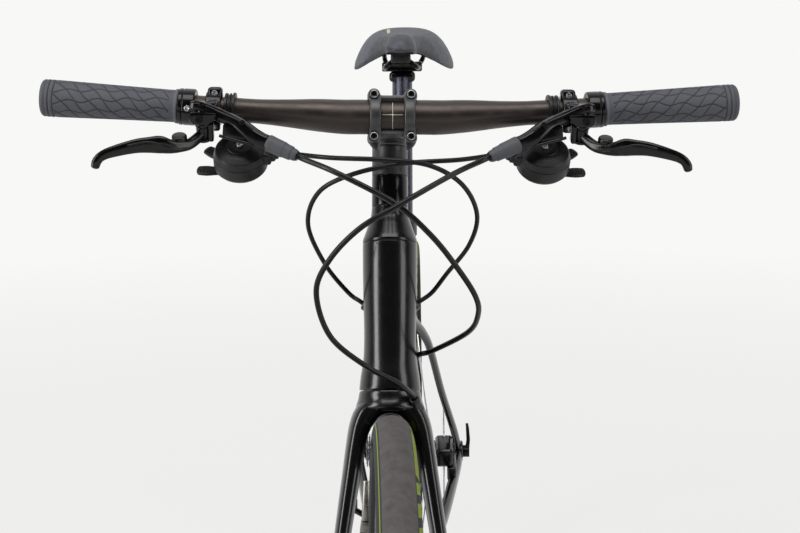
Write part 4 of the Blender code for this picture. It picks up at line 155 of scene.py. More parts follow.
def feed(tree, node, inputs):
    """Gives a node's inputs their values, hex colours, or other nodes' outputs."""
    for key, value in inputs.items():
        socket = node.inputs[key]
        if isinstance(value, bpy.types.Node):
            value = value.outputs[0]
        if isinstance(value, bpy.types.NodeSocket):
            tree.links.new(value, socket)
        elif socket.type == "RGBA":
            socket.default_value = (*linear(value), 1.0)
        else:
            socket.default_value = value


def add(tree, kind, inputs=None, **settings):
    """A node with its settings and inputs."""
    made = tree.nodes.new(kind)
    for key, value in settings.items():
        setattr(made, key, value)
    feed(tree, made, inputs or {})
    return made


def new_finish(name, slot=""):
    """A material with an empty Principled shader, and the record's slot that it stands for."""
    material = bpy.data.materials.new(name)
    material.use_nodes = True
    material["slot"] = slot
    tree = material.node_tree
    tree.nodes.clear()
    shader = add(tree, "ShaderNodeBsdfPrincipled")
    add(tree, "ShaderNodeOutputMaterial", {"Surface": shader})
    return material, tree, shader, add(tree, "ShaderNodeTexCoord").outputs["Object"]


def gloss_lacquer():
    """Clear lacquer over black paint on aluminium: deep black with soft reflections, a faint orange peel and dust."""
    made, tree, shader, place = new_finish("gloss_lacquer_on_aluminium", "frame_paint")
    dust = add(tree, "ShaderNodeTexNoise", {"Vector": place, "Scale": per(9.0), "Detail": 5.0, "Roughness": 0.7})
    peel = add(tree, "ShaderNodeTexNoise", {"Vector": place, "Scale": per(2.4), "Detail": 1.0})
    colour = add(tree, "ShaderNodeMix", {0: dust, 6: "#050506", 7: "#0a0a0c"}, data_type="RGBA")
    feed(tree, shader, {
        "Base Color": colour.outputs[2],
        "Roughness": add(tree, "ShaderNodeMapRange", {0: dust, 1: 0.35, 2: 0.65, 3: 0.22, 4: 0.27}),
        "Specular IOR Level": 0.4,
        "Coat Weight": 0.25,
        "Coat Roughness": 0.1,
        "Normal": add(tree, "ShaderNodeBump", {"Height": peel, "Distance": 0.000003}),
    })
    return made


def satin_anodising(name="black_anodised_aluminium", dark="#0f0f10", light="#19191a", sheen="#ffffff"):
    """Bead-blasted aluminium, anodised black: dull, and its fine grain spreads a highlight in the dye's tint."""
    made, tree, shader, place = new_finish(name, "cockpit_alloy")
    wear = add(tree, "ShaderNodeTexNoise", {"Vector": place, "Scale": per(14.0), "Detail": 4.0})
    # Blasting grit is about 0.1 mm; the grain is drawn at 0.4 mm so that it shows.
    grit = add(tree, "ShaderNodeTexNoise", {"Vector": place, "Scale": per(0.4), "Detail": 2.0})
    colour = add(tree, "ShaderNodeMix", {0: wear, 6: dark, 7: light}, data_type="RGBA")
    feed(tree, shader, {
        "Base Color": colour.outputs[2],
        "Specular IOR Level": 0.85,
        "Specular Tint": sheen,
        "Roughness": add(tree, "ShaderNodeMapRange", {0: wear, 1: 0.35, 2: 0.65, 3: 0.36, 4: 0.5}),
        "Normal": add(tree, "ShaderNodeBump", {"Height": grit, "Distance": 0.000012}),
    })
    return made


def lever_enamel():
    """Stove enamel on die-cast aluminium: hard gloss black with a slight waviness from the casting."""
    made, tree, shader, place = new_finish("black_enamel_on_die_cast_alloy", "control_alloy")
    film = add(tree, "ShaderNodeTexNoise", {"Vector": place, "Scale": per(7.0), "Detail": 4.0, "Roughness": 0.65})
    cast = add(tree, "ShaderNodeTexNoise", {"Vector": place, "Scale": per(3.5), "Detail": 1.0})
    feed(tree, shader, {
        "Base Color": "#050506",
        "Specular IOR Level": 0.32,
        "Roughness": add(tree, "ShaderNodeMapRange", {0: film, 1: 0.35, 2: 0.65, 3: 0.13, 4: 0.24}),
        "Normal": add(tree, "ShaderNodeBump", {"Height": cast, "Distance": 0.000012}),
    })
    return made


def moulded_nylon(name="glass_filled_nylon", colour="#0e0e0f", roughness=0.44):
    """Glass-filled nylon from a spark-eroded mould: an even tone with a fine, regular pebble."""
    made, tree, shader, place = new_finish(name, "black_plastic")
    cloud = add(tree, "ShaderNodeTexNoise", {"Vector": place, "Scale": per(6.0), "Detail": 3.0})
    pebble = add(tree, "ShaderNodeTexVoronoi", {"Vector": place, "Scale": per(0.55)})
    low, high = roughness - 0.06, roughness + 0.06
    feed(tree, shader, {
        "Base Color": colour,
        "Specular IOR Level": 0.36,
        "Roughness": add(tree, "ShaderNodeMapRange", {0: cloud, 1: 0.35, 2: 0.65, 3: low, 4: high}),
        "Normal": add(tree, "ShaderNodeBump", {"Height": pebble, "Distance": 0.00001}),
    })
    return made


def grip_rubber():
    """Moulded thermoplastic rubber: dull dark grey with random smudges, its grooves painted near black as shade and its
    raised fields and flange painted lighter.
    """
    made, tree, shader, place = new_finish("moulded_grip_rubber", "grip_rubber")
    raised = add(tree, "ShaderNodeAttribute", attribute_name="raised").outputs["Fac"]
    smudge = add(tree, "ShaderNodeTexNoise", {"Vector": place, "Scale": per(8.0), "Detail": 4.0})
    skin_grain = add(tree, "ShaderNodeTexNoise", {"Vector": place, "Scale": per(0.5), "Detail": 2.0})
    # Painted shade: the grooves are coloured near black and the raised surface lighter, from how far each point stands
    # out.
    most = add(tree, "ShaderNodeMath", {0: raised, 1: 0.72}, operation="MULTIPLY")
    smudge_and_groove_shade = add(tree, "ShaderNodeMath", {0: smudge, 1: 0.28, 2: most}, operation="MULTIPLY_ADD")
    colour = add(tree, "ShaderNodeMix", {0: smudge_and_groove_shade, 6: "#0c0d0f", 7: "#55565e"}, data_type="RGBA")
    feed(tree, shader, {
        "Base Color": colour.outputs[2],
        "Roughness": 0.72,
        "Normal": add(tree, "ShaderNodeBump", {"Height": skin_grain, "Distance": 0.00002}),
    })
    return made


def boot_rubber():
    """Soft moulded rubber sleeve: mid grey and dull, with a fine skin."""
    made, tree, shader, place = new_finish("soft_boot_rubber", "black_plastic")
    grain = add(tree, "ShaderNodeTexNoise", {"Vector": place, "Scale": per(0.6), "Detail": 3.0})
    bump = add(tree, "ShaderNodeBump", {"Height": grain, "Distance": 0.00002})
    feed(tree, shader, {"Base Color": "#404145", "Roughness": 0.6, "Normal": bump})
    return made


def between(tree, value, low, high, soft=0.0002):
    """1 between two values and 0 outside them."""
    rise = add(tree, "ShaderNodeMapRange", {0: value, 1: low - soft, 2: low + soft})
    fall = add(tree, "ShaderNodeMapRange", {0: value, 1: high + soft, 2: high - soft})
    return add(tree, "ShaderNodeMath", {0: rise, 1: fall}, operation="MULTIPLY")


def tyre_rubber():
    """Vulcanised tread rubber: grey-brown and dusty on top, with fine lengthwise moulding lines, blacker walls.

    A lime band runs round the left wall, crossed by slanted black stripes, and a thin lime line round the right.
    """
    made, tree, shader, _ = new_finish("vulcanised_tyre_rubber", "tyre_rubber")
    place = add(tree, "ShaderNodeUVMap", uv_map="surface").outputs["UV"]
    split = add(tree, "ShaderNodeSeparateXYZ", {"Vector": place})
    along, across = split.outputs["X"], split.outputs["Y"]
    dust = add(tree, "ShaderNodeTexNoise", {"Vector": place, "Scale": per(12.0), "Detail": 6.0, "Roughness": 0.7})
    spread = add(tree, "ShaderNodeMapRange", {0: dust, 1: 0.3, 2: 0.75})
    tread = add(tree, "ShaderNodeMix", {0: spread, 6: "#3d3a3b", 7: "#5a5554"}, data_type="RGBA").outputs[2]
    wall = add(tree, "ShaderNodeMix", {0: spread, 6: "#1b1b1d", 7: "#262628"}, data_type="RGBA").outputs[2]
    paint = add(tree, "ShaderNodeMix", {0: spread, 6: "#65751f", 7: "#84952f"}, data_type="RGBA").outputs[2]
    slant = add(tree, "ShaderNodeMath", {0: across, 1: 0.9, 2: along}, operation="MULTIPLY_ADD")
    beat = add(tree, "ShaderNodeMath", {0: slant, 1: 0.026}, operation="MODULO")
    run = add(tree, "ShaderNodeMath", {0: along, 1: 0.269}, operation="MODULO")
    stripes = {0: between(tree, beat, 0.0, 0.0105, 0.0003), 1: between(tree, run, 0.02, 0.2)}
    striped = add(tree, "ShaderNodeMath", stripes, operation="MULTIPLY")
    band = add(tree, "ShaderNodeMath", {0: between(tree, across, 0.0165, 0.0245), 1: striped}, operation="SUBTRACT")
    lime = add(tree, "ShaderNodeMath", {0: band, 1: 0.0}, operation="MAXIMUM")
    crown = between(tree, across, -0.0155, 0.0155, 0.0006)
    base = add(tree, "ShaderNodeMix", {0: crown, 6: wall, 7: tread}, data_type="RGBA").outputs[2]
    left = add(tree, "ShaderNodeMix", {0: lime, 6: base, 7: paint}, data_type="RGBA").outputs[2]
    line = between(tree, across, -0.019, -0.0176)
    both = add(tree, "ShaderNodeMix", {0: line, 6: left, 7: "#76872a"}, data_type="RGBA")
    # The moulding lines are 0.5 mm apart and drawn at 0.9 mm so that they show.
    ribs = add(tree, "ShaderNodeTexWave", {"Vector": place, "Scale": per(0.9) / 20}, bands_direction="Y")
    rough = add(tree, "ShaderNodeTexNoise", {"Vector": place, "Scale": per(1.6), "Detail": 4.0})
    height = add(tree, "ShaderNodeMath", {0: ribs.outputs["Fac"], 1: 0.5, 2: rough}, operation="MULTIPLY_ADD")
    feed(tree, shader, {
        "Base Color": both.outputs[2],
        "Roughness": 0.86,
        "Normal": add(tree, "ShaderNodeBump", {"Height": height, "Distance": 0.0001}),
    })
    return made


def ground_stainless():
    """Ground stainless steel: bright, with fine rings from the grinding wheel."""
    made, tree, shader, _ = new_finish("ground_stainless_steel", "steel")
    place = add(tree, "ShaderNodeUVMap", uv_map="surface").outputs["UV"]
    stretched = add(tree, "ShaderNodeMapping", {"Vector": place, "Scale": (0.05, 1.0, 1.0)})
    rings = add(tree, "ShaderNodeTexNoise", {"Vector": stretched, "Scale": per(0.5), "Detail": 3.0})
    colour = add(tree, "ShaderNodeMix", {0: rings, 6: "#9c9ea2", 7: "#cbccce"}, data_type="RGBA")
    feed(tree, shader, {
        "Base Color": colour.outputs[2],
        "Metallic": 1.0,
        "Roughness": add(tree, "ShaderNodeMapRange", {0: rings, 1: 0.35, 2: 0.65, 3: 0.22, 4: 0.42}),
        "Normal": add(tree, "ShaderNodeBump", {"Height": rings, "Distance": 0.000004}),
    })
    return made


def plated_steel(name, dark, light, roughness, slot="steel"):
    """Plated pressed steel: a soft metallic shine, a little oily, with fine scuffs."""
    made, tree, shader, place = new_finish(name, slot)
    film = add(tree, "ShaderNodeTexNoise", {"Vector": place, "Scale": per(5.0), "Detail": 5.0, "Roughness": 0.7})
    scuffs = add(tree, "ShaderNodeTexNoise", {"Vector": place, "Scale": per(0.9), "Detail": 3.0})
    colour = add(tree, "ShaderNodeMix", {0: film, 6: dark, 7: light}, data_type="RGBA")
    low, high = roughness - 0.08, roughness + 0.12
    feed(tree, shader, {
        "Base Color": colour.outputs[2],
        "Metallic": 1.0,
        "Roughness": add(tree, "ShaderNodeMapRange", {0: film, 1: 0.35, 2: 0.65, 3: low, 4: high}),
        "Normal": add(tree, "ShaderNodeBump", {"Height": scuffs, "Distance": 0.000002}),
    })
    return made


def hose_sheath():
    """Extruded nylon hose jacket: smooth, lightly glossy black."""
    made, tree, shader, place = new_finish("extruded_nylon_sheath", "hose_cover")
    film = add(tree, "ShaderNodeTexNoise", {"Vector": place, "Scale": per(5.0), "Detail": 4.0})
    drawn = add(tree, "ShaderNodeTexNoise", {"Vector": place, "Scale": per(1.1), "Detail": 2.0})
    feed(tree, shader, {
        "Base Color": "#070708",
        "Specular IOR Level": 0.26,
        "Roughness": add(tree, "ShaderNodeMapRange", {0: film, 1: 0.35, 2: 0.65, 3: 0.25, 4: 0.38}),
        "Normal": add(tree, "ShaderNodeBump", {"Height": drawn, "Distance": 0.000006}),
    })
    return made


def saddle_vinyl():
    """Grained upholstery vinyl over foam: charcoal, with a lighter printed edge and a smoother dark front panel."""
    made, tree, shader, place = new_finish("grained_saddle_vinyl", "saddle_cover")
    tone = add(tree, "ShaderNodeAttribute", attribute_name="tone").outputs["Fac"]
    colour = add(tree, "ShaderNodeMix", {0: tone, 6: "#191a1f", 7: "#62656f"}, data_type="RGBA")
    cells = add(tree, "ShaderNodeTexVoronoi", {"Vector": place, "Scale": per(1.3)}, feature="DISTANCE_TO_EDGE")
    leather = add(tree, "ShaderNodeMapRange", {0: cells, 1: 0.0, 2: 0.12})
    cloud = add(tree, "ShaderNodeTexNoise", {"Vector": place, "Scale": per(6.0), "Detail": 3.0})
    feed(tree, shader, {
        "Base Color": colour.outputs[2],
        "Roughness": add(tree, "ShaderNodeMapRange", {0: cloud, 1: 0.35, 2: 0.65, 3: 0.48, 4: 0.62}),
        "Normal": add(tree, "ShaderNodeBump", {"Height": leather, "Distance": 0.00005, "Strength": 0.8}),
    })
    return made


def pale_floor():
    """Painted studio floor: even and almost white, with the soft shadow of what stands on it.

    Its own shading shows round the bicycle and gives way to plain white further off.
    """
    made, tree, shader, place = new_finish("painted_studio_floor")
    mottle = add(tree, "ShaderNodeTexNoise", {"Vector": place, "Scale": per(400.0)})
    colour = add(tree, "ShaderNodeMix", {0: mottle, 6: "#eeeeed", 7: "#f6f6f5"}, data_type="RGBA")
    feed(tree, shader, {"Base Color": colour.outputs[2], "Roughness": 0.9})
    glow = add(tree, "ShaderNodeEmission", {"Color": "#f8f8f7", "Strength": 1.0})
    rays = add(tree, "ShaderNodeLightPath").outputs
    seen = add(tree, "ShaderNodeMath", {0: rays["Is Camera Ray"], 1: rays["Is Glossy Ray"]}, operation="MAXIMUM")
    seen = add(tree, "ShaderNodeMath", {0: seen, 1: rays["Is Transmission Ray"]}, operation="MAXIMUM")
    away = add(tree, "ShaderNodeVectorMath", {0: place}, operation="LENGTH").outputs["Value"]
    plain = add(tree, "ShaderNodeMapRange", {0: away, 1: 1.2, 2: 4.5, 3: 0.78, 4: 1.0})
    share = add(tree, "ShaderNodeMath", {0: seen, 1: plain}, operation="MULTIPLY")
    mixed = add(tree, "ShaderNodeMixShader", {0: share, 1: shader, 2: glow})
    add(tree, "ShaderNodeOutputMaterial", {"Surface": mixed}, is_active_output=True)
    return made


GLOSS = gloss_lacquer()
ANODISED = satin_anodising()
BAR_ANODISED = satin_anodising("warm_black_anodised_bar", "#0a0a0a", "#121111", "#ecd9cf")
ENAMEL = lever_enamel()
NYLON = moulded_nylon()
GRIP = grip_rubber()
BOOT = boot_rubber()
TYRE = tyre_rubber()
STAINLESS = ground_stainless()
CHAIN_STEEL = plated_steel("nickel_plated_chain_steel", "#76756f", "#9b9993", 0.34)
COG_STEEL = plated_steel("nickel_plated_cog_steel", "#85868a", "#a9aaad", 0.32)
BRIGHT_STEEL = plated_steel("polished_steel", "#b3b4b8", "#d3d4d6", 0.2)
BLACK_STEEL = plated_steel("black_oxide_steel", "#1b1b1c", "#2b2b2c", 0.36, "dark_steel")
RAIL_STEEL = plated_steel("black_chromed_rail", "#060607", "#0c0c0d", 0.3)
POST_ALLOY = plated_steel("clear_coated_post_alloy", "#4c4d57", "#62636e", 0.34, "cockpit_alloy")
SHEATH = hose_sheath()
VINYL = saddle_vinyl()
PAD_NYLON = moulded_nylon("grey_moulded_nylon", "#2c2d30", 0.5)
TAB = moulded_nylon("lilac_grey_acetal", "#8b869c", 0.4)
CAP_PLASTIC = moulded_nylon("pale_tag_plastic", "#c6c8b4", 0.45)

# Shapes


def facing(origin, direction):
    """The matrix that puts local Z along a direction, at an origin."""
    return Matrix.Translation(origin) @ direction.to_track_quat("Z", "Y").to_matrix().to_4x4()


def frame_of(origin, x_axis, y_axis, z_axis):
    turn = Matrix((x_axis, y_axis, z_axis)).transposed().to_4x4()
    return Matrix.Translation(origin) @ turn


def shaded(mesh, sharp=SHARP_ANGLE):
    """Smooth shading, with edges steeper than an angle left sharp."""
    mesh.shade_smooth()
    mesh.set_sharp_from_angle(angle=math.radians(sharp))


def new_object(name, mesh, sharp=SHARP_ANGLE):
    shaded(mesh, sharp)
    obj = bpy.data.objects.new(name, mesh)
    bpy.context.scene.collection.objects.link(obj)
    return obj


def from_bmesh(name, bm, sharp=SHARP_ANGLE):
    bmesh.ops.recalc_face_normals(bm, faces=bm.faces)
    mesh = bpy.data.meshes.new(name)
    bm.to_mesh(mesh)
    bm.free()
    return new_object(name, mesh, sharp)


def skin(name, rings, loop=False, sharp=SHARP_ANGLE):
    """A closed skin over rings of equally many points. Its map runs along the rings and round them, in metres."""
    bm = bmesh.new()
    layer = bm.loops.layers.uv.new("surface")
    rows = [[bm.verts.new(point) for point in ring] for ring in rings]
    count = len(rings[0])
    round_steps = [0.0]
    for i in range(count):
        round_steps.append(round_steps[-1] + (rings[0][(i + 1) % count] - rings[0][i]).length)
    length_steps = [0.0]
    closed = rings + [rings[0]] if loop else rings
    for near, far in zip(closed, closed[1:]):
        length_steps.append(length_steps[-1] + (far[0] - near[0]).length)
    pairs = list(zip(rows, rows[1:])) + ([(rows[-1], rows[0])] if loop else [])
    for k, (near, far) in enumerate(pairs):
        for i in range(count):
            j = (i + 1) % count
            face = bm.faces.new((near[i], near[j], far[j], far[i]))
            corners = ((k, i), (k, i + 1), (k + 1, i + 1), (k + 1, i))
            for corner, (row, column) in zip(face.loops, corners):
                corner[layer].uv = (length_steps[row], round_steps[column])
    if not loop:
        bm.faces.new(list(reversed(rows[0])))
        bm.faces.new(rows[-1])
    return from_bmesh(name, bm, sharp)


def softened(outline, size, closed=False):
    """An outline whose corners are rounded off over a distance."""
    points = [Vector(point) for point in outline]
    result = []
    for i, here in enumerate(points):
        if not closed and i in (0, len(points) - 1):
            result.append(here)
            continue
        before, after = points[i - 1], points[(i + 1) % len(points)]
        back, on = before - here, after - here
        if min(back.length, on.length) < 1e-7:
            result.append(here)
            continue
        start = here + back.normalized() * min(size, back.length * 0.45)
        end = here + on.normalized() * min(size, on.length * 0.45)
        for t in (0.0, 0.33, 0.67, 1.0):
            result.append(start * (1 - t) ** 2 + here * 2 * t * (1 - t) + end * t**2)
    return result


def softened_flat(outline, size):
    """A closed flat outline with rounded corners."""
    return [tuple(point) for point in softened(outline, size, True)]


def revolved(name, outline, origin, direction, sides=64, ring=False, soft=0.0006):
    """An outline of (along, radius) points turned about a direction, with softened corners."""
    place = facing(origin, direction)
    rings = []
    for along, radius in softened(outline, soft, ring):
        if radius < 1e-6:
            continue
        circle = []
        for i in range(sides):
            turn = math.tau * i / sides
            circle.append(place @ Vector((radius * math.cos(turn), radius * math.sin(turn), along)))
        rings.append(circle)
    return skin(name, rings, loop=ring)


def cylinder(name, start, end, radius, sides=24, soft=0.0005):
    length = (end - start).length
    outline = [(length, 0.0), (length, radius), (0.0, radius), (0.0, 0.0)]
    return revolved(name, outline, start, (end - start).normalized(), sides, soft=soft)


def block(name, size, place, rounding=0.001, segments=3):
    """A box with rounded edges about a matrix's origin."""
    if isinstance(place, Vector):
        place = Matrix.Translation(place)
    bm = bmesh.new()
    bmesh.ops.create_cube(bm, size=1.0)
    bmesh.ops.scale(bm, vec=Vector(size), verts=bm.verts)
    bmesh.ops.bevel(bm, geom=bm.edges, offset=rounding, segments=segments, profile=0.5, affect="EDGES")
    bmesh.ops.transform(bm, matrix=place, verts=bm.verts)
    return from_bmesh(name, bm, 50.0)


def along_curve(values, spacing):
    """Rows of numbers on a smooth curve through the given rows, whose first three numbers are a place."""
    rows = [Vector(v) for v in values]
    padded = [rows[0] * 2 - rows[1], *rows, rows[-1] * 2 - rows[-2]]
    result = []
    for i in range(1, len(padded) - 2):
        before, start, end, after = padded[i - 1 : i + 3]
        steps = max(1, round((Vector(end[:3]) - Vector(start[:3])).length / spacing))
        for k in range(steps):
            t = k / steps
            curve = 2 * start + (end - before) * t
            curve += (2 * before - 5 * start + 4 * end - after) * t**2
            curve += (3 * start - before - 3 * end + after) * t**3
            result.append(curve * 0.5)
    result.append(rows[-1])
    return result


def route_through(points, spacing):
    """Places on a smooth curve through the given ones."""
    return [Vector(row[:3]) for row in along_curve([tuple(point) for point in points], spacing)]


def oval(half_width, half_height, power, count):
    points = []
    for i in range(count):
        turn = math.tau * (i + 0.5) / count
        cosine, sine = math.cos(turn), math.sin(turn)
        across = math.copysign(abs(cosine) ** (2 / power), cosine) * half_width
        points.append((across, math.copysign(abs(sine) ** (2 / power), sine) * half_height))
    return points


def swept(name, stations, across, power=2.0, count=40, spacing=0.006, domes=(0.0, 0.0)):
    """A smooth tube of changing oval section through (centre, half width, half height), with domed ends."""
    rows = along_curve([(*centre, a, b) for centre, a, b in stations], spacing)
    places = [Vector(row[:3]) for row in rows]
    rings = []
    directions = []
    for i, row in enumerate(rows):
        heading = (places[min(i + 1, len(places) - 1)] - places[max(i - 1, 0)]).normalized()
        directions.append(heading)
        side = (across - heading * across.dot(heading)).normalized()
        up = heading.cross(side).normalized()
        rings.append((places[i], side, up, row[3], row[4]))
    shaped = []
    steps = 5
    for end, dome in ((0, domes[0]), (1, domes[1])):
        centre, side, up, a, b = rings[-end]
        out = directions[-end] * (1 if end else -1)
        cap = []
        for k in range(1, steps + 1):
            turn = math.pi / 2 * k / (steps + 0.4)
            shrink = math.cos(turn)
            cap.append((centre + out * dome * math.sin(turn), side, up, a * shrink, b * shrink))
        shaped.append(cap if dome else [])
    everything = list(reversed(shaped[0])) + rings + shaped[1]
    skins = []
    for centre, side, up, a, b in everything:
        skins.append([centre + side * x + up * y for x, y in oval(a, b, power, count)])
    return skin(name, skins)


def pipe(name, points, radius, sides=16):
    """A round tube along points, whose section doesn't twist."""
    rings = []
    side = None
    for i, point in enumerate(points):
        heading = (points[min(i + 1, len(points) - 1)] - points[max(i - 1, 0)]).normalized()
        if side is None:
            side = heading.orthogonal().normalized()
        side = (side - heading * side.dot(heading)).normalized()
        up = heading.cross(side)
        size = radius[i] if isinstance(radius, (list, tuple)) else radius
        ring = []
        for k in range(sides):
            turn = math.tau * k / sides
            ring.append(point + side * math.cos(turn) * size + up * math.sin(turn) * size)
        rings.append(ring)
    return skin(name, rings)


def plate(name, outlines, thickness, place, edge=0.0003):
    """A flat plate from an outline and its holes, with slightly rounded edges, mapped round its centre."""
    curve = bpy.data.curves.new(name, "CURVE")
    curve.dimensions = "2D"
    curve.fill_mode = "BOTH"
    curve.extrude = thickness / 2 - edge
    curve.bevel_depth = edge
    curve.bevel_resolution = 1
    curve.offset = -edge
    for outline in outlines:
        spline = curve.splines.new("POLY")
        spline.points.add(len(outline) - 1)
        spline.use_cyclic_u = True
        for i, (x, y) in enumerate(outline):
            spline.points[i].co = (x, y, 0.0, 1.0)
    holder = bpy.data.objects.new(name, curve)
    bpy.context.scene.collection.objects.link(holder)
    mesh = plain_mesh(holder)
    bpy.data.objects.remove(holder)
    bpy.data.curves.remove(curve)
    bm = bmesh.new()
    bm.from_mesh(mesh)
    bmesh.ops.remove_doubles(bm, verts=bm.verts, dist=0.000002)
    for old in list(bm.loops.layers.uv):
        bm.loops.layers.uv.remove(old)
    layer = bm.loops.layers.uv.new("surface")
    for face in bm.faces:
        for corner in face.loops:
            x, y, _ = corner.vert.co
            corner[layer].uv = (math.atan2(y, x) * 0.05, math.hypot(x, y))
    bmesh.ops.transform(bm, matrix=place, verts=bm.verts)
    bm.to_mesh(mesh)
    bm.free()
    mesh.materials.clear()
    return new_object(name, mesh)


def plain_mesh(obj):
    graph = bpy.context.evaluated_depsgraph_get()
    return bpy.data.meshes.new_from_object(obj.evaluated_get(graph))


def circle(radius, sides, centre=(0.0, 0.0), start=0.0):
    points = []
    for i in range(sides):
        turn = start + math.tau * i / sides
        points.append((centre[0] + radius * math.cos(turn), centre[1] + radius * math.sin(turn)))
    return points


def merged(name, objects):
    """Several shapes as the mesh of one piece."""
    bm = bmesh.new()
    bm.loops.layers.uv.new("surface")
    for obj in objects:
        bm.from_mesh(obj.data)
        bpy.data.objects.remove(obj)
    mesh = bpy.data.meshes.new(name)
    bm.to_mesh(mesh)
    bm.free()
    return new_object(name, mesh)


def cut_away(obj, *cutters):
    """Takes shapes out of a piece for good."""
    for cutter in cutters:
        modifier = obj.modifiers.new("cut", "BOOLEAN")
        modifier.operation = "DIFFERENCE"
        modifier.solver = "EXACT"
        modifier.object = cutter
    mesh = plain_mesh(obj)
    obj.modifiers.clear()
    obj.data = mesh
    for cutter in cutters:
        bpy.data.objects.remove(cutter)
    shaded(mesh)
    return obj


def dressed(obj, finish, body, *stands_for):
    """Gives a piece its finish and its body, and hides the solid nodes that it stands for."""
    obj.data.materials.clear()
    obj.data.materials.append(finish)
    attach(obj, body)
    if stands_for:
        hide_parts(*stands_for)
    return obj


def finished(obj, finish, body, *stands_for):
    """Dresses a piece that was shaped with the wheel straight ahead."""
    if body in STEERED:
        obj.data.transform(TURN)
    return dressed(obj, finish, body, *stands_for)


def refined(node, finish, body, rounding=0.0005, sharp=30.0):
    """A copy of a solid node with its edges rounded, which stands for the node."""
    bm = bmesh.new()
    bm.from_mesh(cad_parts[node].data)
    bmesh.ops.remove_doubles(bm, verts=bm.verts, dist=0.00001)
    bmesh.ops.dissolve_limit(bm, angle_limit=math.radians(1.0), verts=bm.verts, edges=bm.edges)
    mesh = bpy.data.meshes.new(f"{node}_finished")
    bm.to_mesh(mesh)
    bm.free()
    obj = new_object(f"{node}_finished", mesh, sharp)
    bevel = obj.modifiers.new("edges", "BEVEL")
    bevel.width = rounding
    bevel.segments = 2
    bevel.limit_method = "ANGLE"
    bevel.angle_limit = math.radians(sharp)
    bevel.use_clamp_overlap = True
    obj.data = plain_mesh(obj)
    obj.modifiers.clear()
    shaded(obj.data, 38.0)
    return dressed(obj, finish, body, node)


def repeating_tree():
    """Geometry Nodes that put a part at each point, turned and stretched as the point says."""
    tree = bpy.data.node_groups.new("repeated_part", "GeometryNodeTree")
    face = tree.interface
    face.new_socket("Places", in_out="INPUT", socket_type="NodeSocketGeometry")
    face.new_socket("Part", in_out="INPUT", socket_type="NodeSocketObject")
    face.new_socket("Size", in_out="INPUT", socket_type="NodeSocketFloat")
    face.new_socket("Finish", in_out="INPUT", socket_type="NodeSocketMaterial")
    face.new_socket("Piece", in_out="OUTPUT", socket_type="NodeSocketGeometry")
    start = add(tree, "NodeGroupInput")
    part = add(tree, "GeometryNodeObjectInfo", {"Object": start.outputs["Part"]})
    turn = add(tree, "GeometryNodeInputNamedAttribute", {"Name": "turn"}, data_type="FLOAT_VECTOR")
    stretch = add(tree, "GeometryNodeInputNamedAttribute", {"Name": "stretch"}, data_type="FLOAT_VECTOR")
    size = add(tree, "ShaderNodeVectorMath", {0: stretch.outputs[0], "Scale": start.outputs["Size"]},
               operation="SCALE")
    placed = add(tree, "GeometryNodeInstanceOnPoints", {
        "Points": start.outputs["Places"], "Instance": part.outputs["Geometry"], "Rotation": turn.outputs[0],
        "Scale": size.outputs[0],
    })
    real = add(tree, "GeometryNodeRealizeInstances", {"Geometry": placed.outputs[0]})
    coated = add(tree, "GeometryNodeSetMaterial", {"Geometry": real.outputs[0], "Material": start.outputs["Finish"]})
    add(tree, "NodeGroupOutput", {"Piece": coated.outputs[0]})
    return tree


REPEAT = repeating_tree()


def repeated(name, part, matrices, finish, body, *stands_for, size=1.0, stretches=None):
    """One piece made of a part repeated at matrices by Geometry Nodes."""
    mesh = bpy.data.meshes.new(name)
    mesh.from_pydata([m.translation for m in matrices], [], [])
    turn = mesh.attributes.new("turn", "FLOAT_VECTOR", "POINT")
    stretch = mesh.attributes.new("stretch", "FLOAT_VECTOR", "POINT")
    for i, matrix in enumerate(matrices):
        turn.data[i].vector = matrix.to_euler()
        stretch.data[i].vector = stretches[i] if stretches else (1.0, 1.0, 1.0)
    obj = bpy.data.objects.new(name, mesh)
    bpy.context.scene.collection.objects.link(obj)
    modifier = obj.modifiers.new("repeat", "NODES")
    modifier.node_group = REPEAT
    for item in REPEAT.interface.items_tree:
        if item.in_out == "INPUT" and item.name != "Places":
            modifier[item.identifier] = {"Part": part, "Size": size, "Finish": finish}[item.name]
    made = plain_mesh(obj)
    obj.modifiers.clear()
    obj.data = made
    bpy.data.objects.remove(part)
    shaded(made)
    return finished(obj, finish, body, *stands_for)


def socket_bolt(radius=0.004, height=0.0035):
    """A cap bolt's head with its hexagonal socket, standing on the XY plane."""
    outline = [(0.0, 0.0), (0.0, radius), (height, radius), (height, radius * 0.58), (height * 0.35, radius * 0.5),
               (height * 0.35, 0.0)]
    rings = []
    for along, size in softened(outline, 0.0004)[1:-1]:
        if size < 1e-6:
            continue
        sides = 24
        ring = []
        hollow = size <= radius * 0.6 and along <= height
        for i in range(sides):
            turn = math.tau * i / sides
            corner = math.cos(math.pi / 6) / math.cos((turn % (math.pi / 3)) - math.pi / 6)
            reach = size * (corner if hollow else 1.0)
            ring.append(Vector((reach * math.cos(turn), reach * math.sin(turn), along)))
        rings.append(ring)
    return skin("bolt", rings, sharp=40.0)


def on_steerer(up, ahead=0.0, aside=0.0):
    return CROWN + STEER_AXIS * up + STEER_AHEAD * ahead + ASIDE * aside


def on_seat_tube(up, ahead=0.0, aside=0.0):
    return BB_CENTRE + SEAT_AXIS * up + ASIDE * aside + ASIDE.cross(SEAT_AXIS) * ahead


def on_bar(aside):
    reach = max(abs(aside) - BAR_CENTRE_HALF, 0.0)
    return BAR_CENTRE + Vector((aside, reach * math.tan(BAR_SWEEP), reach * math.tan(BAR_RISE)))


def along_bar(side):
    return (on_bar(side * BAR_HALF_WIDTH) - on_bar(side * 0.12)).normalized()


def sided(point, side):
    x, y, z = point
    return Vector((x * side, y, z))


def blend(start, end, share):
    return start + (end - start) * share


def pitch_radius(teeth):
    return CHAIN_PITCH / (2 * math.sin(math.pi / teeth))


# Frame

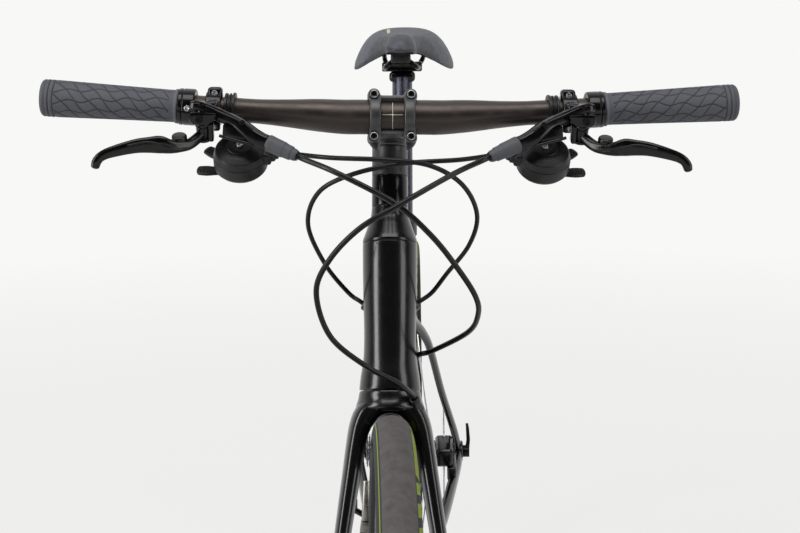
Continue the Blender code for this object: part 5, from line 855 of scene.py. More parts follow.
DROPOUT_X = 0.0785
SEAT_TUBE_LENGTH = 0.5
HEAD_PROFILE = (
    (HEAD_TOP, 0.0262), (HEAD_TOP - 0.018, 0.0262), (0.0939, 0.02578), (0.0572, 0.0248), (0.0318, 0.02534),
    (0.0138, 0.02795), (HEAD_FOOT, 0.0293),
)


def head_tube():
    """The hourglass head tube, with the small step of the ring pressed into each end."""
    rows = along_curve([(along, radius, 0.0) for along, radius in HEAD_PROFILE], 0.004)
    outline = [(HEAD_TOP, 0.0)] + [(row[0], row[1]) for row in rows] + [(HEAD_FOOT, 0.0)]
    return revolved("head_tube", outline, CROWN, STEER_AXIS, 96, soft=0.0007)


def down_tube_stations():
    start = on_steerer(0.048)
    sizes = ((0.0, 0.0205, 0.024), (0.14, 0.0225, 0.024), (0.5, 0.0225, 0.0222), (1.0, 0.024, 0.019))
    return [(blend(start, BB_CENTRE, share), width, height) for share, width, height in sizes]


def top_tube_stations():
    start, end = on_steerer(0.113), on_seat_tube(0.462)
    sizes = ((0.0, 0.0175, 0.021), (0.25, 0.0175, 0.018), (1.0, 0.0152, 0.014))
    return [(blend(start, end, share), width, height) for share, width, height in sizes]


def chainstay_stations(side):
    start = BB_CENTRE + Vector((0.0, 0.008, 0.002))
    stations = []
    for share, aside, width, height in (
        (0.0, 0.0215, 0.0085, 0.016), (0.12, 0.0245, 0.0082, 0.0152), (0.24, 0.0318, 0.0074, 0.0138),
        (0.37, 0.0415, 0.0074, 0.0125), (0.53, 0.0548, 0.0078, 0.0115), (0.88, DROPOUT_X - 0.003, 0.007, 0.0108),
        (1.0, DROPOUT_X, 0.0064, 0.0105),
    ):
        centre = blend(start, REAR_AXLE, share)
        centre.x = side * aside
        stations.append((centre, width, height))
    return stations


def seat_stay_stations(side):
    start = on_seat_tube(0.385)
    stations = []
    for share, bow, aside, width, height in (
        (0.0, 0.0, 0.006, 0.006, 0.0095), (0.12, 0.01, 0.013, 0.0056, 0.0082),
        (0.24, 0.018, 0.0268, 0.0052, 0.0075), (0.34, 0.018, 0.036, 0.0052, 0.0072),
        (0.6, 0.01, 0.0525, 0.0052, 0.0068), (0.84, 0.003, 0.0705, 0.0054, 0.007),
        (1.0, 0.0, DROPOUT_X, 0.006, 0.0085),
    ):
        centre = blend(start, REAR_AXLE, share) + Vector((0.0, 0.0, bow))
        centre.x = side * aside
        stations.append((centre, width, height))
    return stations


def weld_bead(name, host, centre, direction, across, half_width, half_height, power, radius=0.003):
    """The smoothed weld round a tube where it meets its host, found by looking back along the tube."""
    bm = bmesh.new()
    bm.from_mesh(host.data)
    tree = BVHTree.FromBMesh(bm)
    bm.free()
    side = (across - direction * across.dot(direction)).normalized()
    up = direction.cross(side)
    ring = []
    for x, y in oval(half_width - 0.0004, half_height - 0.0004, power, 56):
        start = centre + side * x + up * y + direction * 0.13
        hit = tree.ray_cast(start, -direction, 0.2)[0]
        if hit:
            ring.append(hit)
    points = [(ring[i - 1] + ring[i] * 2 + ring[(i + 1) % len(ring)]) / 4 for i in range(len(ring))]
    rings = []
    for i, point in enumerate(points):
        heading = (points[(i + 1) % len(points)] - points[i - 1]).normalized()
        level = (direction - heading * heading.dot(direction)).normalized()
        out = heading.cross(level)
        rings.append([point + out * radius * math.cos(t) + level * radius * math.sin(t)
                      for t in (math.tau * k / 12 for k in range(12))])
    return skin(name, rings, loop=True)


def cable_ports():
    """Where the rear brake hose and the two shift housings enter: (place, outward direction)."""
    brake = (CROWN + Vector((0.0232, 0.031, 0.0264)), Vector((0.86, -0.36, 0.36)).normalized())
    shift = CROWN + Vector((0.0238, 0.0325, 0.0764))
    outward = Vector((0.8, 0.18, 0.57)).normalized()
    return {
        "rear_brake_hose": brake,
        "shift_housing_right": (shift, outward),
        "shift_housing_left": (sided(shift, -1), sided(outward, -1)),
    }


def make_frame():
    head = head_tube()
    down, top = down_tube_stations(), top_tube_stations()
    down_way = (down[-1][0] - down[0][0]).normalized()
    top_way = (top[-1][0] - top[0][0]).normalized()
    collar = SEAT_TUBE_LENGTH - 0.018
    seat_outline = [(SEAT_TUBE_LENGTH, 0.0), (SEAT_TUBE_LENGTH, 0.0178), (collar - 0.002, 0.0178),
                    (collar - 0.01, 0.0166), (0.0, 0.0166), (0.0, 0.0)]
    seat = revolved("seat_tube", seat_outline, BB_CENTRE, SEAT_AXIS, 48)
    shell_half = ASIDE * 0.0865 / 2
    shell = cylinder("bottom_bracket_shell", BB_CENTRE - shell_half, BB_CENTRE + shell_half, 0.023, 48, 0.001)
    beads = [
        weld_bead("weld_1", head, down[0][0], down_way, ASIDE, 0.0218, 0.024, 2.5),
        weld_bead("weld_2", head, top[0][0], top_way, ASIDE, 0.0175, 0.0204, 2.5),
        weld_bead("weld_3", seat, top[-1][0], -top_way, ASIDE, 0.0152, 0.014, 2.5, 0.0024),
        weld_bead("weld_4", shell, down[-1][0], -down_way, ASIDE, 0.024, 0.019, 2.5, 0.0024),
        weld_bead("weld_5", shell, BB_CENTRE, SEAT_AXIS, ASIDE, 0.0166, 0.0166, 2.0, 0.0024),
    ]
    parts = [head, seat, shell, *beads]
    parts.append(swept("down_tube", down, ASIDE, 2.5, 56, 0.012))
    parts.append(swept("top_tube", top, ASIDE, 2.5, 48, 0.012))
    for side in (1, -1):
        parts.append(swept("chainstay", chainstay_stations(side), ASIDE, 2.6, 32, 0.008))
        parts.append(swept("seat_stay", seat_stay_stations(side), ASIDE, 2.4, 32, 0.008))
        inner = REAR_AXLE + ASIDE * side * (DROPOUT_X - 0.0072)
        dropout = cylinder("dropout", inner, inner + ASIDE * side * 0.0144, 0.0165, 48, 0.002)
        parts.append(dropout)
    foot = Vector((0.0, 0.52, 0.311))
    top_of_hanger = REAR_AXLE + Vector((0.0, 0.004, -0.008))
    hanger = [(top_of_hanger, 0.003, 0.011), (blend(top_of_hanger, foot, 0.6), 0.003, 0.009),
              (foot, 0.003, 0.0085)]
    moved = [(centre + ASIDE * -0.0759, a, b) for centre, a, b in hanger]
    parts.append(swept("hanger", moved, ASIDE, 4.0, 32, 0.003))
    parts.append(cylinder("hanger_eye", foot + ASIDE * -0.0795, foot + ASIDE * -0.0725, 0.0095, 32, 0.001))
    slope = (REAR_AXLE - BB_CENTRE).normalized()
    up = ASIDE.cross(slope)
    pad_centre = Vector((0.0555, 0.42, 0.37)) - up * (0.015 + 0.0003 + 0.011)
    pad_centre.x = DROPOUT_X - 0.0115
    parts.append(block("caliper_pad", (0.014, 0.054, 0.022), frame_of(pad_centre, ASIDE, slope, up), 0.003))
    for name, (place, outward) in cable_ports().items():
        parts.append(cylinder(f"port_{name}", place - outward * 0.01, place + outward * 0.002, 0.0056, 24, 0.001))
    finished(merged("frame_tubes", parts), GLOSS, "frame", "frame")
    sleeves = []
    for name, (place, outward) in cable_ports().items():
        rim = [(0.0004, 0.003), (0.0004, 0.0052), (0.0024, 0.0046), (0.0029, 0.0034), (0.0029, 0.003)]
        sleeves.append(revolved(f"sleeve_{name}", rim, place, outward, 32, ring=True, soft=0.0004))
    finished(merged("cable_port_sleeves", sleeves), BOOT, "frame")


def make_seat_collar():
    """The split ring that pinches the seatpost, with its bolt behind."""
    foot = SEAT_TUBE_LENGTH - 0.0165
    ring = [(SEAT_TUBE_LENGTH + 0.0006, 0.0141), (SEAT_TUBE_LENGTH + 0.0006, 0.0192), (foot, 0.0192),
            (foot, 0.018), (SEAT_TUBE_LENGTH - 0.0018, 0.018), (SEAT_TUBE_LENGTH - 0.0018, 0.0141)]
    collar = revolved("seat_collar", ring, BB_CENTRE, SEAT_AXIS, 64, ring=True)
    back = on_seat_tube(SEAT_TUBE_LENGTH - 0.008, ahead=-0.0215)
    ears = block("collar_ears", (0.015, 0.009, 0.0125),
                 frame_of(back, ASIDE, SEAT_AXIS.cross(ASIDE), SEAT_AXIS), 0.0022)
    collar = merged("seat_collar", [collar, ears])
    finished(collar, ANODISED, "frame")
    place = facing(back + ASIDE * 0.0072, ASIDE)
    repeated("seat_collar_bolt", socket_bolt(0.0038, 0.0036), [place], BRIGHT_STEEL, "frame")


def make_bottle_bosses():
    """Two threaded bosses with their bolts on the down tube, and two on the seat tube."""
    down = down_tube_stations()
    way = (down[-1][0] - down[0][0]).normalized()
    up = way.cross(ASIDE)
    if up.z < 0:
        up = -up
    places = []
    for share in (0.42, 0.556):
        centre = blend(down[0][0], down[-1][0], share)
        places.append(facing(centre + up * 0.0222, up))
    for height in (0.235, 0.305):
        ahead = ASIDE.cross(SEAT_AXIS)
        if ahead.y > 0:
            ahead = -ahead
        places.append(facing(on_seat_tube(height) + ahead * 0.0162, ahead))
    washer = revolved("washer", [(0.0, 0.0), (0.0, 0.0062), (0.0014, 0.0058), (0.0014, 0.0)], Vector(),
                      UP, 28, soft=0.0003)
    repeated("bottle_boss_washers", washer, places, BLACK_STEEL, "frame")
    raised = [m @ Matrix.Translation((0.0, 0.0, 0.0013)) for m in places]
    repeated("bottle_boss_bolts", socket_bolt(0.0043, 0.003), raised, BLACK_STEEL, "frame")


# Fork and headset

FORK_HALF = (
    (0.057, FORK_DROP, FORK_RAKE, 0.0105, 0.0058), (0.0568, 0.31, 0.0415, 0.0118, 0.006),
    (0.0534, 0.23, 0.029, 0.0142, 0.0064), (0.0464, 0.15, 0.0165, 0.017, 0.0076),
    (0.0408, 0.108, 0.0105, 0.0185, 0.0083), (0.0364, 0.078, 0.0068, 0.0198, 0.0088),
    (0.033, 0.054, 0.004, 0.0214, 0.0092), (0.0292, 0.0355, 0.0015, 0.023, 0.0102),
    (0.0232, 0.0225, 0.0005, 0.024, 0.0116), (0.014, 0.0142, 0.0, 0.0248, 0.0112),
    (0.0, 0.0118, 0.0, 0.0252, 0.0104),
)
CROWN_PORT = on_steerer(-0.0095, 0.0262, 0.0222)
CROWN_PORT_OUT = Vector((-0.3, -0.5, 0.81)).normalized()


def make_fork():
    stations = [(on_steerer(-down, ahead, aside), depth, thick) for aside, down, ahead, depth, thick in FORK_HALF]
    others = [(sided(centre, -1), depth, thick) for centre, depth, thick in reversed(stations[:-1])]
    arch = swept("fork_arch", stations + others, STEER_AHEAD, 2.5, 48, 0.005)
    race = [(-0.0003, 0.0), (-0.0003, 0.0285), (-0.0015, 0.0293), (-0.008, 0.0302), (-0.0135, 0.0322),
            (-0.017, 0.0328), (-0.0195, 0.028), (-0.02, 0.0)]
    crown = revolved("crown_race", race, CROWN, STEER_AXIS, 96, soft=0.003)
    parts = [arch, crown]
    for side in (1, -1):
        start = FRONT_AXLE + ASIDE * side * 0.0503
        parts.append(cylinder("fork_end", start, start + ASIDE * side * 0.013, 0.015, 48, 0.002))
    size = (0.0138, 0.0147, 0.06)
    pad = frame_of(on_steerer(-0.3, 0.002 + (0.0173 + 0.032) / 2, 0.0531), ASIDE, -STEER_AHEAD, STEER_AXIS)
    parts.append(block("caliper_seat", size, pad, 0.003))
    neck = [(CROWN_PORT - CROWN_PORT_OUT * back, radius, radius)
            for back, radius in ((0.0004, 0.0046), (0.004, 0.005), (0.008, 0.0055), (0.013, 0.006))]
    parts.append(swept("hose_entry", neck, ASIDE, 2.0, 32, 0.002))
    finished(merged("fork_blades_and_crown", parts), GLOSS, "steering", "fork")
    rim = [(-0.002, 0.0028), (-0.002, 0.0052), (0.0016, 0.0046), (0.002, 0.0034), (0.002, 0.0028)]
    sleeve = revolved("crown_sleeve", rim, CROWN_PORT, CROWN_PORT_OUT, 32, ring=True, soft=0.0004)
    finished(sleeve, NYLON, "steering")


def make_headset():
    foot, top = CONE_FOOT, CONE_FOOT + CONE_HEIGHT
    profile = ((top, SPACER_RADIUS), (top - 0.009, SPACER_RADIUS + 0.001), (foot + 0.018, 0.0208),
               (foot + 0.011, 0.0232), (foot + 0.005, 0.0254), (foot + 0.003, 0.026))
    rows = along_curve([(along, radius, 0.0) for along, radius in profile], 0.0015)
    outline = [(top, 0.015)] + [(row[0], row[1]) for row in rows]
    outline += [(foot + 0.0024, 0.0262), (foot, 0.0262), (foot, 0.015)]
    cone = revolved("headset_cover", outline, CROWN, STEER_AXIS, 96, ring=True, soft=0.0005)
    finished(cone, GLOSS, "steering", "headset_cone")
    seam = SPACER_FOOT + GLOSS_SPACER_HEIGHT
    inner = 0.015
    lower = [(seam - 0.0003, inner), (seam - 0.0003, SPACER_RADIUS), (SPACER_FOOT, SPACER_RADIUS), (SPACER_FOOT, inner)]
    upper = [(seam + MATT_SPACER_HEIGHT, inner), (seam + MATT_SPACER_HEIGHT, SPACER_RADIUS - 0.0002),
             (seam, SPACER_RADIUS - 0.0002), (seam, inner)]
    gloss = revolved("lower_spacer", lower, CROWN, STEER_AXIS, 96, ring=True, soft=0.0007)
    finished(gloss, ENAMEL, "steering", "headset_spacers")
    finished(revolved("upper_spacer", upper, CROWN, STEER_AXIS, 96, ring=True, soft=0.0007), ANODISED, "steering")


# Stem and handlebar

STEM_BOLT_ASIDE = 0.0169
STEM_BOLT_HEIGHT = 0.0193


def clamp_ring(name, start, end, thickness=0.0042, first=0.0, last=math.pi, sides=40, waist=0.0):
    """Part of a ring round the handlebar, between two turns from straight up, as a strip from one side to another."""
    rings = []
    inner, outer = BAR_CLAMP_RADIUS + 0.0003, BAR_CLAMP_RADIUS + thickness
    for k in range(sides + 1):
        turn = blend(first, last, k / sides)
        out = STEM_UP * math.cos(turn) + STEM_AHEAD * math.sin(turn)
        soft = 0.0011
        slim = waist * math.sin(math.pi * k / sides)
        left, right = start + slim, end - slim
        corners = ((left, inner), (left, outer - soft), (left + soft * 0.4, outer - soft * 0.3),
                   (left + soft, outer), (right - soft, outer), (right - soft * 0.4, outer - soft * 0.3),
                   (right, outer - soft), (right, inner))
        rings.append([BAR_CENTRE + ASIDE * x + out * r for x, r in corners])
    return skin(name, rings)


def make_stem():
    clamp_outline = [(STEM_FOOT + STEM_CLAMP_HEIGHT, 0.0), (STEM_FOOT + STEM_CLAMP_HEIGHT, STEM_CLAMP_RADIUS),
                     (STEM_FOOT, STEM_CLAMP_RADIUS), (STEM_FOOT, 0.0)]
    parts = [revolved("steerer_clamp", clamp_outline, CROWN, STEER_AXIS, 64, soft=0.0018)]
    stations = [(STEM_PIVOT, 0.016, 0.016), (blend(STEM_PIVOT, BAR_CENTRE, 0.45), 0.016, 0.016),
                (blend(STEM_PIVOT, BAR_CENTRE, 0.66), 0.018, 0.016),
                (blend(STEM_PIVOT, BAR_CENTRE, 0.84), 0.0205, 0.017)]
    tube = swept("stem_tube", stations, ASIDE, 2.3, 48, 0.003)
    bore = cylinder("bar_room", BAR_CENTRE - ASIDE * 0.1, BAR_CENTRE + ASIDE * 0.1, BAR_CLAMP_RADIUS + 0.0003, 64, 0.0)
    parts.append(cut_away(tube, bore))
    parts.append(clamp_ring("rear_half", -0.0225, 0.0225, 0.0042, math.pi + 0.03, math.tau - 0.03))
    for aside in (STEM_BOLT_ASIDE, -STEM_BOLT_ASIDE):
        for height in (STEM_BOLT_HEIGHT, -STEM_BOLT_HEIGHT):
            centre = BAR_CENTRE + ASIDE * aside + STEM_UP * height
            parts.append(
                cylinder("boss", centre - STEM_AHEAD * 0.0125, centre - STEM_AHEAD * 0.0007, 0.006, 32, 0.001))
    back = on_steerer(STEM_FOOT + STEM_CLAMP_HEIGHT / 2, ahead=-0.019)
    ears = block("pinch_ears", (0.021, 0.01, 0.036),
                 frame_of(back, ASIDE, -STEER_AHEAD, STEER_AXIS), 0.0035)
    parts.append(ears)
    finished(merged("stem_body", parts), ANODISED, "steering", "stem")
    places = []
    for up in (0.01, 0.03):
        centre = on_steerer(STEM_FOOT + up, ahead=-0.02)
        places.append(facing(centre + ASIDE * 0.01, ASIDE))
    repeated("stem_pinch_bolts", socket_bolt(0.004, 0.0034), places, BLACK_STEEL, "steering")
    cap = [(0.0, 0.0), (0.0, 0.0166), (0.0022, 0.016), (0.0032, 0.014), (0.0032, 0.0)]
    top = CROWN + STEER_AXIS * (STEM_FOOT + STEM_CLAMP_HEIGHT + 0.0002)
    finished(revolved("headset_top_cap", cap, top, STEER_AXIS, 64, soft=0.0006), ANODISED, "steering")
    repeated("top_cap_bolt", socket_bolt(0.0046, 0.003), [facing(top + STEER_AXIS * 0.0028, STEER_AXIS)],
             BLACK_STEEL, "steering")


def make_faceplate():
    """Two waisted arms over the bar joined by a bridge above and below, and four bolt lugs."""
    parts = []
    for side in (1, -1):
        inner, outer = 0.0096 * side, 0.0218 * side
        parts.append(
            clamp_ring("arm", min(inner, outer), max(inner, outer), 0.0046, 0.06, math.pi - 0.06, waist=0.0012))
        low = BAR_CENTRE + ASIDE * side * STEM_BOLT_ASIDE - STEM_UP * STEM_BOLT_HEIGHT + STEM_AHEAD * 0.0035
        tip = low - STEM_UP * 0.0105 - ASIDE * side * 0.0022
        tongue = [(low, 0.0062, 0.003), (blend(low, tip, 0.5), 0.0052, 0.0028), (tip, 0.0024, 0.0022)]
        parts.append(swept("tongue", tongue, ASIDE, 2.6, 24, 0.002, (0.0, 0.0012)))
    parts.append(clamp_ring("upper_bridge", -0.011, 0.011, 0.004, 0.1, 0.62, 16))
    parts.append(clamp_ring("lower_bridge", -0.011, 0.011, 0.004, math.pi - 0.62, math.pi - 0.1, 16))
    places = []
    for aside in (STEM_BOLT_ASIDE, -STEM_BOLT_ASIDE):
        for height in (STEM_BOLT_HEIGHT, -STEM_BOLT_HEIGHT):
            centre = BAR_CENTRE + ASIDE * aside + STEM_UP * height
            outline = [(0.0122, 0.0), (0.0122, 0.0054), (0.0007, 0.0062), (0.0007, 0.0)]
            parts.append(revolved("lug", outline, centre, STEM_AHEAD, 40, soft=0.0012))
            places.append(facing(centre + STEM_AHEAD * 0.012, STEM_AHEAD))
    finished(merged("stem_faceplate_finished", parts), ANODISED, "steering", "stem_faceplate")
    repeated("faceplate_bolts", socket_bolt(0.0038, 0.003), places, BLACK_STEEL, "steering")
    # Painted highlight: a ring of bright steel on the edge of each black bolt head, where its chamfer would catch the
    # light.
    painted_glint_ring = [(0.0026, 0.0028), (0.0031, 0.0028), (0.0032, 0.0032), (0.003, 0.0037), (0.0026, 0.0036)]
    rim = revolved("rim", painted_glint_ring, Vector(), UP, 32, ring=True, soft=0.0001)
    repeated("faceplate_bolt_rims", rim, places, COG_STEEL, "steering")


def make_handlebar():
    """The tapered flat bar, thick at the stem and slim from the levers outwards."""
    slim = BAR_GRIP_RADIUS
    half = [(0.0, BAR_CLAMP_RADIUS), (0.03, BAR_CLAMP_RADIUS), (BAR_CENTRE_HALF, BAR_CLAMP_RADIUS - 0.0001),
            (0.07, 0.0148), (0.095, 0.0128), (0.12, 0.0113), (0.14, slim), (0.22, slim), (0.317, slim)]
    whole = [(-aside, radius) for aside, radius in reversed(half)] + half[1:]
    rows = along_curve([(*on_bar(aside), radius) for aside, radius in whole], 0.006)
    bar = pipe("tapered_handlebar", [Vector(row[:3]) for row in rows], [row[3] for row in rows], 64)
    finished(bar, BAR_ANODISED, "steering", "handlebar")


def make_bar_marks():
    """A fine centre line with a cross line and a dot at the middle of the bar, seen through the faceplate's window."""
    rings = []
    for k in range(25):
        turn = math.pi / 2 + blend(-0.88, 0.88, k / 24)
        out = STEM_UP * math.cos(turn) + STEM_AHEAD * math.sin(turn)
        low, high = BAR_CLAMP_RADIUS - 0.0002, BAR_CLAMP_RADIUS + 0.00008
        rings.append([BAR_CENTRE + ASIDE * x + out * r
                      for x, r in ((-0.0002, low), (-0.0002, high), (0.0002, high), (0.0002, low))])
    middle = BAR_CENTRE + STEM_AHEAD * BAR_CLAMP_RADIUS
    place = frame_of(middle, ASIDE, STEM_UP, ASIDE.cross(STEM_UP))
    marks = [skin("line", rings), block("cross_line", (0.0186, 0.0004, 0.0002), place, 0.00005, 1),
             cylinder("dot", middle - STEM_AHEAD * 0.0002, middle + STEM_AHEAD * 0.00012, 0.0007, 20, 0.00005)]
    finished(merged("bar_setting_lines", marks), CAP_PLASTIC, "steering")


def make_grip(side, node):
    """A flared grip with fine crossing grooves, its locking ring and its end disc."""
    start = on_bar(side * (BAR_HALF_WIDTH - GRIP_LENGTH - LOCK_RING_WIDTH + 0.001))
    way = along_bar(side)
    place = facing(start, way)
    length = GRIP_LENGTH + LOCK_RING_WIDTH
    profile = along_curve(
        [(LOCK_RING_WIDTH + 0.0004, 0.015, 0.0), (LOCK_RING_WIDTH + 0.0014, 0.0158, 0.0),
         (LOCK_RING_WIDTH + 0.0034, 0.0156, 0.0), (LOCK_RING_WIDTH + 0.0048, 0.0148, 0.0), (0.045, 0.0152, 0.0),
         (0.075, 0.0158, 0.0), (0.11, 0.0166, 0.0), (length - 0.006, 0.0171, 0.0), (length - 0.0015, 0.0164, 0.0),
         (length - 0.0002, 0.015, 0.0)],
        0.0007,
    )
    sides = 200
    rings, depths = [], []
    for row in profile:
        along, radius = row[0], row[1]
        ring = []
        for i in range(sides):
            turn = math.tau * i / sides
            depth = 0.0
            if LOCK_RING_WIDTH + 0.008 < along < length - 0.0135:
                wave = 0.1 * math.sin(math.tau * along / 0.027)
                steep = side * 7 * turn / math.tau + along / 0.0135 + wave
                level = side * 10 * turn / math.tau - along / 0.105 + 1.6 * wave
                for phase in (steep % 1.0, level % 1.0):
                    gap = min(phase, 1 - phase) * 0.0099
                    depth = max(depth, max(0.0, 1.0 - (gap / 0.00075) ** 2))
            for groove in (0.0048, 0.0082, 0.0125):
                depth = max(depth, max(0.0, 1.0 - ((length - along - groove) / 0.0008) ** 2))
            # Each point's depth sets the raised attribute, from which the finish paints shade in the grooves and a
            # lighter flange.
            flange = LOCK_RING_WIDTH < along < LOCK_RING_WIDTH + 0.0045
            depths.append(-0.4 if flange else 0.25 + 0.75 * depth)
            size = radius - 0.0007 * depth
            ring.append(place @ Vector((size * math.cos(turn), size * math.sin(turn), along)))
        rings.append(ring)
    grip = skin(f"{node}_sleeve", rings, sharp=60.0)
    raised = grip.data.attributes.new("raised", "FLOAT", "POINT")
    for i, depth in enumerate(depths):
        raised.data[i].value = 1.0 - depth
    finished(grip, GRIP, "steering", node)
    ring = [(0.0, 0.0116), (0.0, 0.0158), (0.0012, 0.0168), (LOCK_RING_WIDTH - 0.0045, 0.0168),
            (LOCK_RING_WIDTH - 0.0035, 0.016), (LOCK_RING_WIDTH - 0.003, 0.0168), (LOCK_RING_WIDTH, 0.0166),
            (LOCK_RING_WIDTH, 0.0116)]
    lock = revolved(f"{node}_lock_ring", ring, start, way, 64, ring=True, soft=0.0004)
    finished(lock, ENAMEL, "steering")
    down = place.to_3x3() @ Vector((1.0, 0.0, 0.0))
    spot = facing(start + way * 0.0058 + down * 0.0162, down)
    repeated(f"{node}_lock_bolt", socket_bolt(0.0026, 0.0018), [spot], BRIGHT_STEEL, "steering")
    disc = [(0.0, 0.0), (0.0, 0.0138), (0.0008, 0.0132), (0.001, 0.006), (0.0006, 0.0)]
    end = revolved(f"{node}_end_disc", disc, start + way * (length - 0.0006), way, 64, soft=0.0003)
    finished(end, PAD_NYLON, "steering")


# Levers and shifters


def control_clamp(name, aside, width, side, radius=0.0155):
    """A split band round the bar, with soft outer edges and the lugs of its pinch bolt below."""
    start = on_bar(side * (aside - width / 2))
    inner = BAR_GRIP_RADIUS + 0.0003
    ring = [(0.0, inner), (0.0, radius), (width, radius), (width, inner)]
    band = revolved(name, ring, start, along_bar(side), 56, ring=True, soft=0.0012)
    lug = block(f"{name}_lug", (width * 0.86, 0.0105, 0.0095),
                on_bar(side * aside) + Vector((0.0, -0.006, -0.015)), 0.0022)
    return [band, lug]


def make_brake_body(side, node):
    """The cast cylinder with its ridges, clamp and lever fork, and the rubber boot of its hose."""
    places = (
        ((0.1812, -0.3705, 0.9482), 0.005, 0.0034), ((0.1784, -0.371, 0.9476), 0.0068, 0.0046),
        ((0.1685, -0.3725, 0.9453), 0.0082, 0.0056), ((0.1612, -0.374, 0.9423), 0.0088, 0.0058),
        ((0.154, -0.376, 0.9392), 0.009, 0.0058), ((0.1404, -0.38, 0.9338), 0.0096, 0.0058),
        ((0.1312, -0.384, 0.9276), 0.0096, 0.0066), ((0.1249, -0.3866, 0.9224), 0.0092, 0.0072),
        ((0.1168, -0.3892, 0.918), 0.0082, 0.007), ((0.1112, -0.3909, 0.9163), 0.0072, 0.0068),
    )
    stations = [(sided(place, side), depth, height) for place, depth, height in places]
    parts = [swept("cylinder", stations, BACK, 3.4, 48, 0.0025)]
    for name, points, radius in (
        ("ridge", ((0.1802, -0.3768, 0.9446), (0.1677, -0.379, 0.9405), (0.1533, -0.3832, 0.9344),
                   (0.1398, -0.388, 0.9291), (0.1307, -0.3917, 0.9233), (0.1244, -0.3938, 0.918)), 0.0012),
        ("brow", ((0.177, -0.3772, 0.9522), (0.1612, -0.3812, 0.9476), (0.1404, -0.388, 0.9388),
                  (0.1312, -0.3922, 0.9334), (0.1249, -0.3944, 0.9284)), 0.0011),
        ("rail", ((0.1545, -0.388, 0.9222), (0.144, -0.3905, 0.9195), (0.1333, -0.3925, 0.917),
                  (0.1146, -0.395, 0.9124)), 0.0015),
    ):
        parts.append(pipe(name, route_through([sided(point, side) for point in points], 0.002), radius, 16))
    web = [(0.151, 0.933), (0.1518, 0.922), (0.1333, 0.9168), (0.113, 0.9122), (0.116, 0.9185), (0.1312, 0.926)]
    hood = [(0.1805, 0.943), (0.1812, 0.935), (0.1775, 0.9316), (0.165, 0.9314), (0.16, 0.9345), (0.156, 0.942)]
    for name, outline, depth, thickness, soft, edge in (
        ("web", web, -0.387, 0.007, 0.002, 0.0005), ("hood", hood, -0.385, 0.01, 0.003, 0.001),
    ):
        outline = [(side * x, z) for x, z in outline][::side]
        upright = frame_of(Vector((0.0, depth, 0.0)), ASIDE, UP, AHEAD)
        parts.append(plate(name, [softened_flat(outline, soft)], thickness, upright, edge))
    parts += control_clamp("clamp", 0.1635, 0.014, side)
    knob = on_bar(side * 0.162) + Vector((0.0, -0.0015, 0.0138))
    parts.append(block("knob", (0.0135, 0.013, 0.0125), knob, 0.0034, 4))
    parts.append(block("neck", (0.012, 0.023, 0.016), sided((0.1635, -0.361, 0.944), side), 0.004, 5))
    pivot = sided(LEVER_PIVOT, side)
    parts.append(cylinder("upper_ear", pivot + LEVER_AXIS * 0.0058, pivot + LEVER_AXIS * 0.0098, 0.007, 40, 0.0014))
    parts.append(cylinder("lower_ear", pivot - LEVER_AXIS * 0.0084, pivot - LEVER_AXIS * 0.0058, 0.007, 40, 0.001))
    root = [(pivot + LEVER_AXIS * 0.0078, 0.0066, 0.003), (sided(LEVER_ROOT, side), 0.0095, 0.0066)]
    parts.append(swept("fork_root", root, ASIDE, 3.0, 32, 0.003))
    back = LEVER_AXIS.cross(ASIDE)
    spine = pivot + ASIDE * side * -0.007 + LEVER_AXIS * 0.0006
    parts.append(block("spine", (0.0052, 0.01, 0.018), frame_of(spine, ASIDE, back, LEVER_AXIS), 0.0018))
    finished(merged(f"{node}_casting", parts), ENAMEL, "steering", node)
    pin = cylinder(f"{node}_pin", pivot - LEVER_AXIS * 0.0088, pivot + LEVER_AXIS * 0.0102, 0.0024, 24, 0.0005)
    finished(pin, BRIGHT_STEEL, "steering")
    spots = [facing(on_bar(side * 0.1635) + Vector((0.0, -0.0112, -0.016)), AHEAD),
             facing(knob + Vector((0.0, -0.0062, 0.001)), AHEAD)]
    repeated(f"{node}_clamp_bolts", socket_bolt(0.0027, 0.002), spots, COG_STEEL, "steering")
    screws = [facing(sided(spot, side), AHEAD)
              for spot in ((0.1704, -0.38, 0.9492), (0.1335, -0.393, 0.9345))]
    repeated(f"{node}_bleed_screws", socket_bolt(0.0024, 0.0016), screws, BLACK_STEEL, "steering")
    bolt = facing(sided((0.1722, -0.3896, 0.9366), side), AHEAD)
    repeated(f"{node}_lever_bolt", socket_bolt(0.0036, 0.002), [bolt], BLACK_STEEL, "steering")
    boot_way = (BOOT_END - BOOT_START).normalized()
    start = sided(BOOT_START - boot_way * 0.001, side)
    way = sided(boot_way, side)
    length = (BOOT_END - BOOT_START).length + 0.001
    steps = [(length, 0.0027), (length, 0.0048), (length - 0.0022, 0.0054), (length - 0.005, 0.0056),
             (length - 0.0056, 0.0064), (length - 0.0125, 0.0067), (length - 0.0131, 0.0072), (0.0045, 0.0075),
             (0.0038, 0.0077), (0.0, 0.0077), (0.0, 0.0027)]
    finished(revolved(f"{node}_boot", steps, start, way, 48, ring=True, soft=0.0005), BOOT, "steering")
    nose = [(length + 0.0012, 0.0027), (length + 0.0012, 0.0042), (length - 0.0004, 0.0047), (length - 0.0004, 0.0027)]
    finished(revolved(f"{node}_ferrule", nose, start, way, 40, ring=True, soft=0.0003), ENAMEL, "steering")


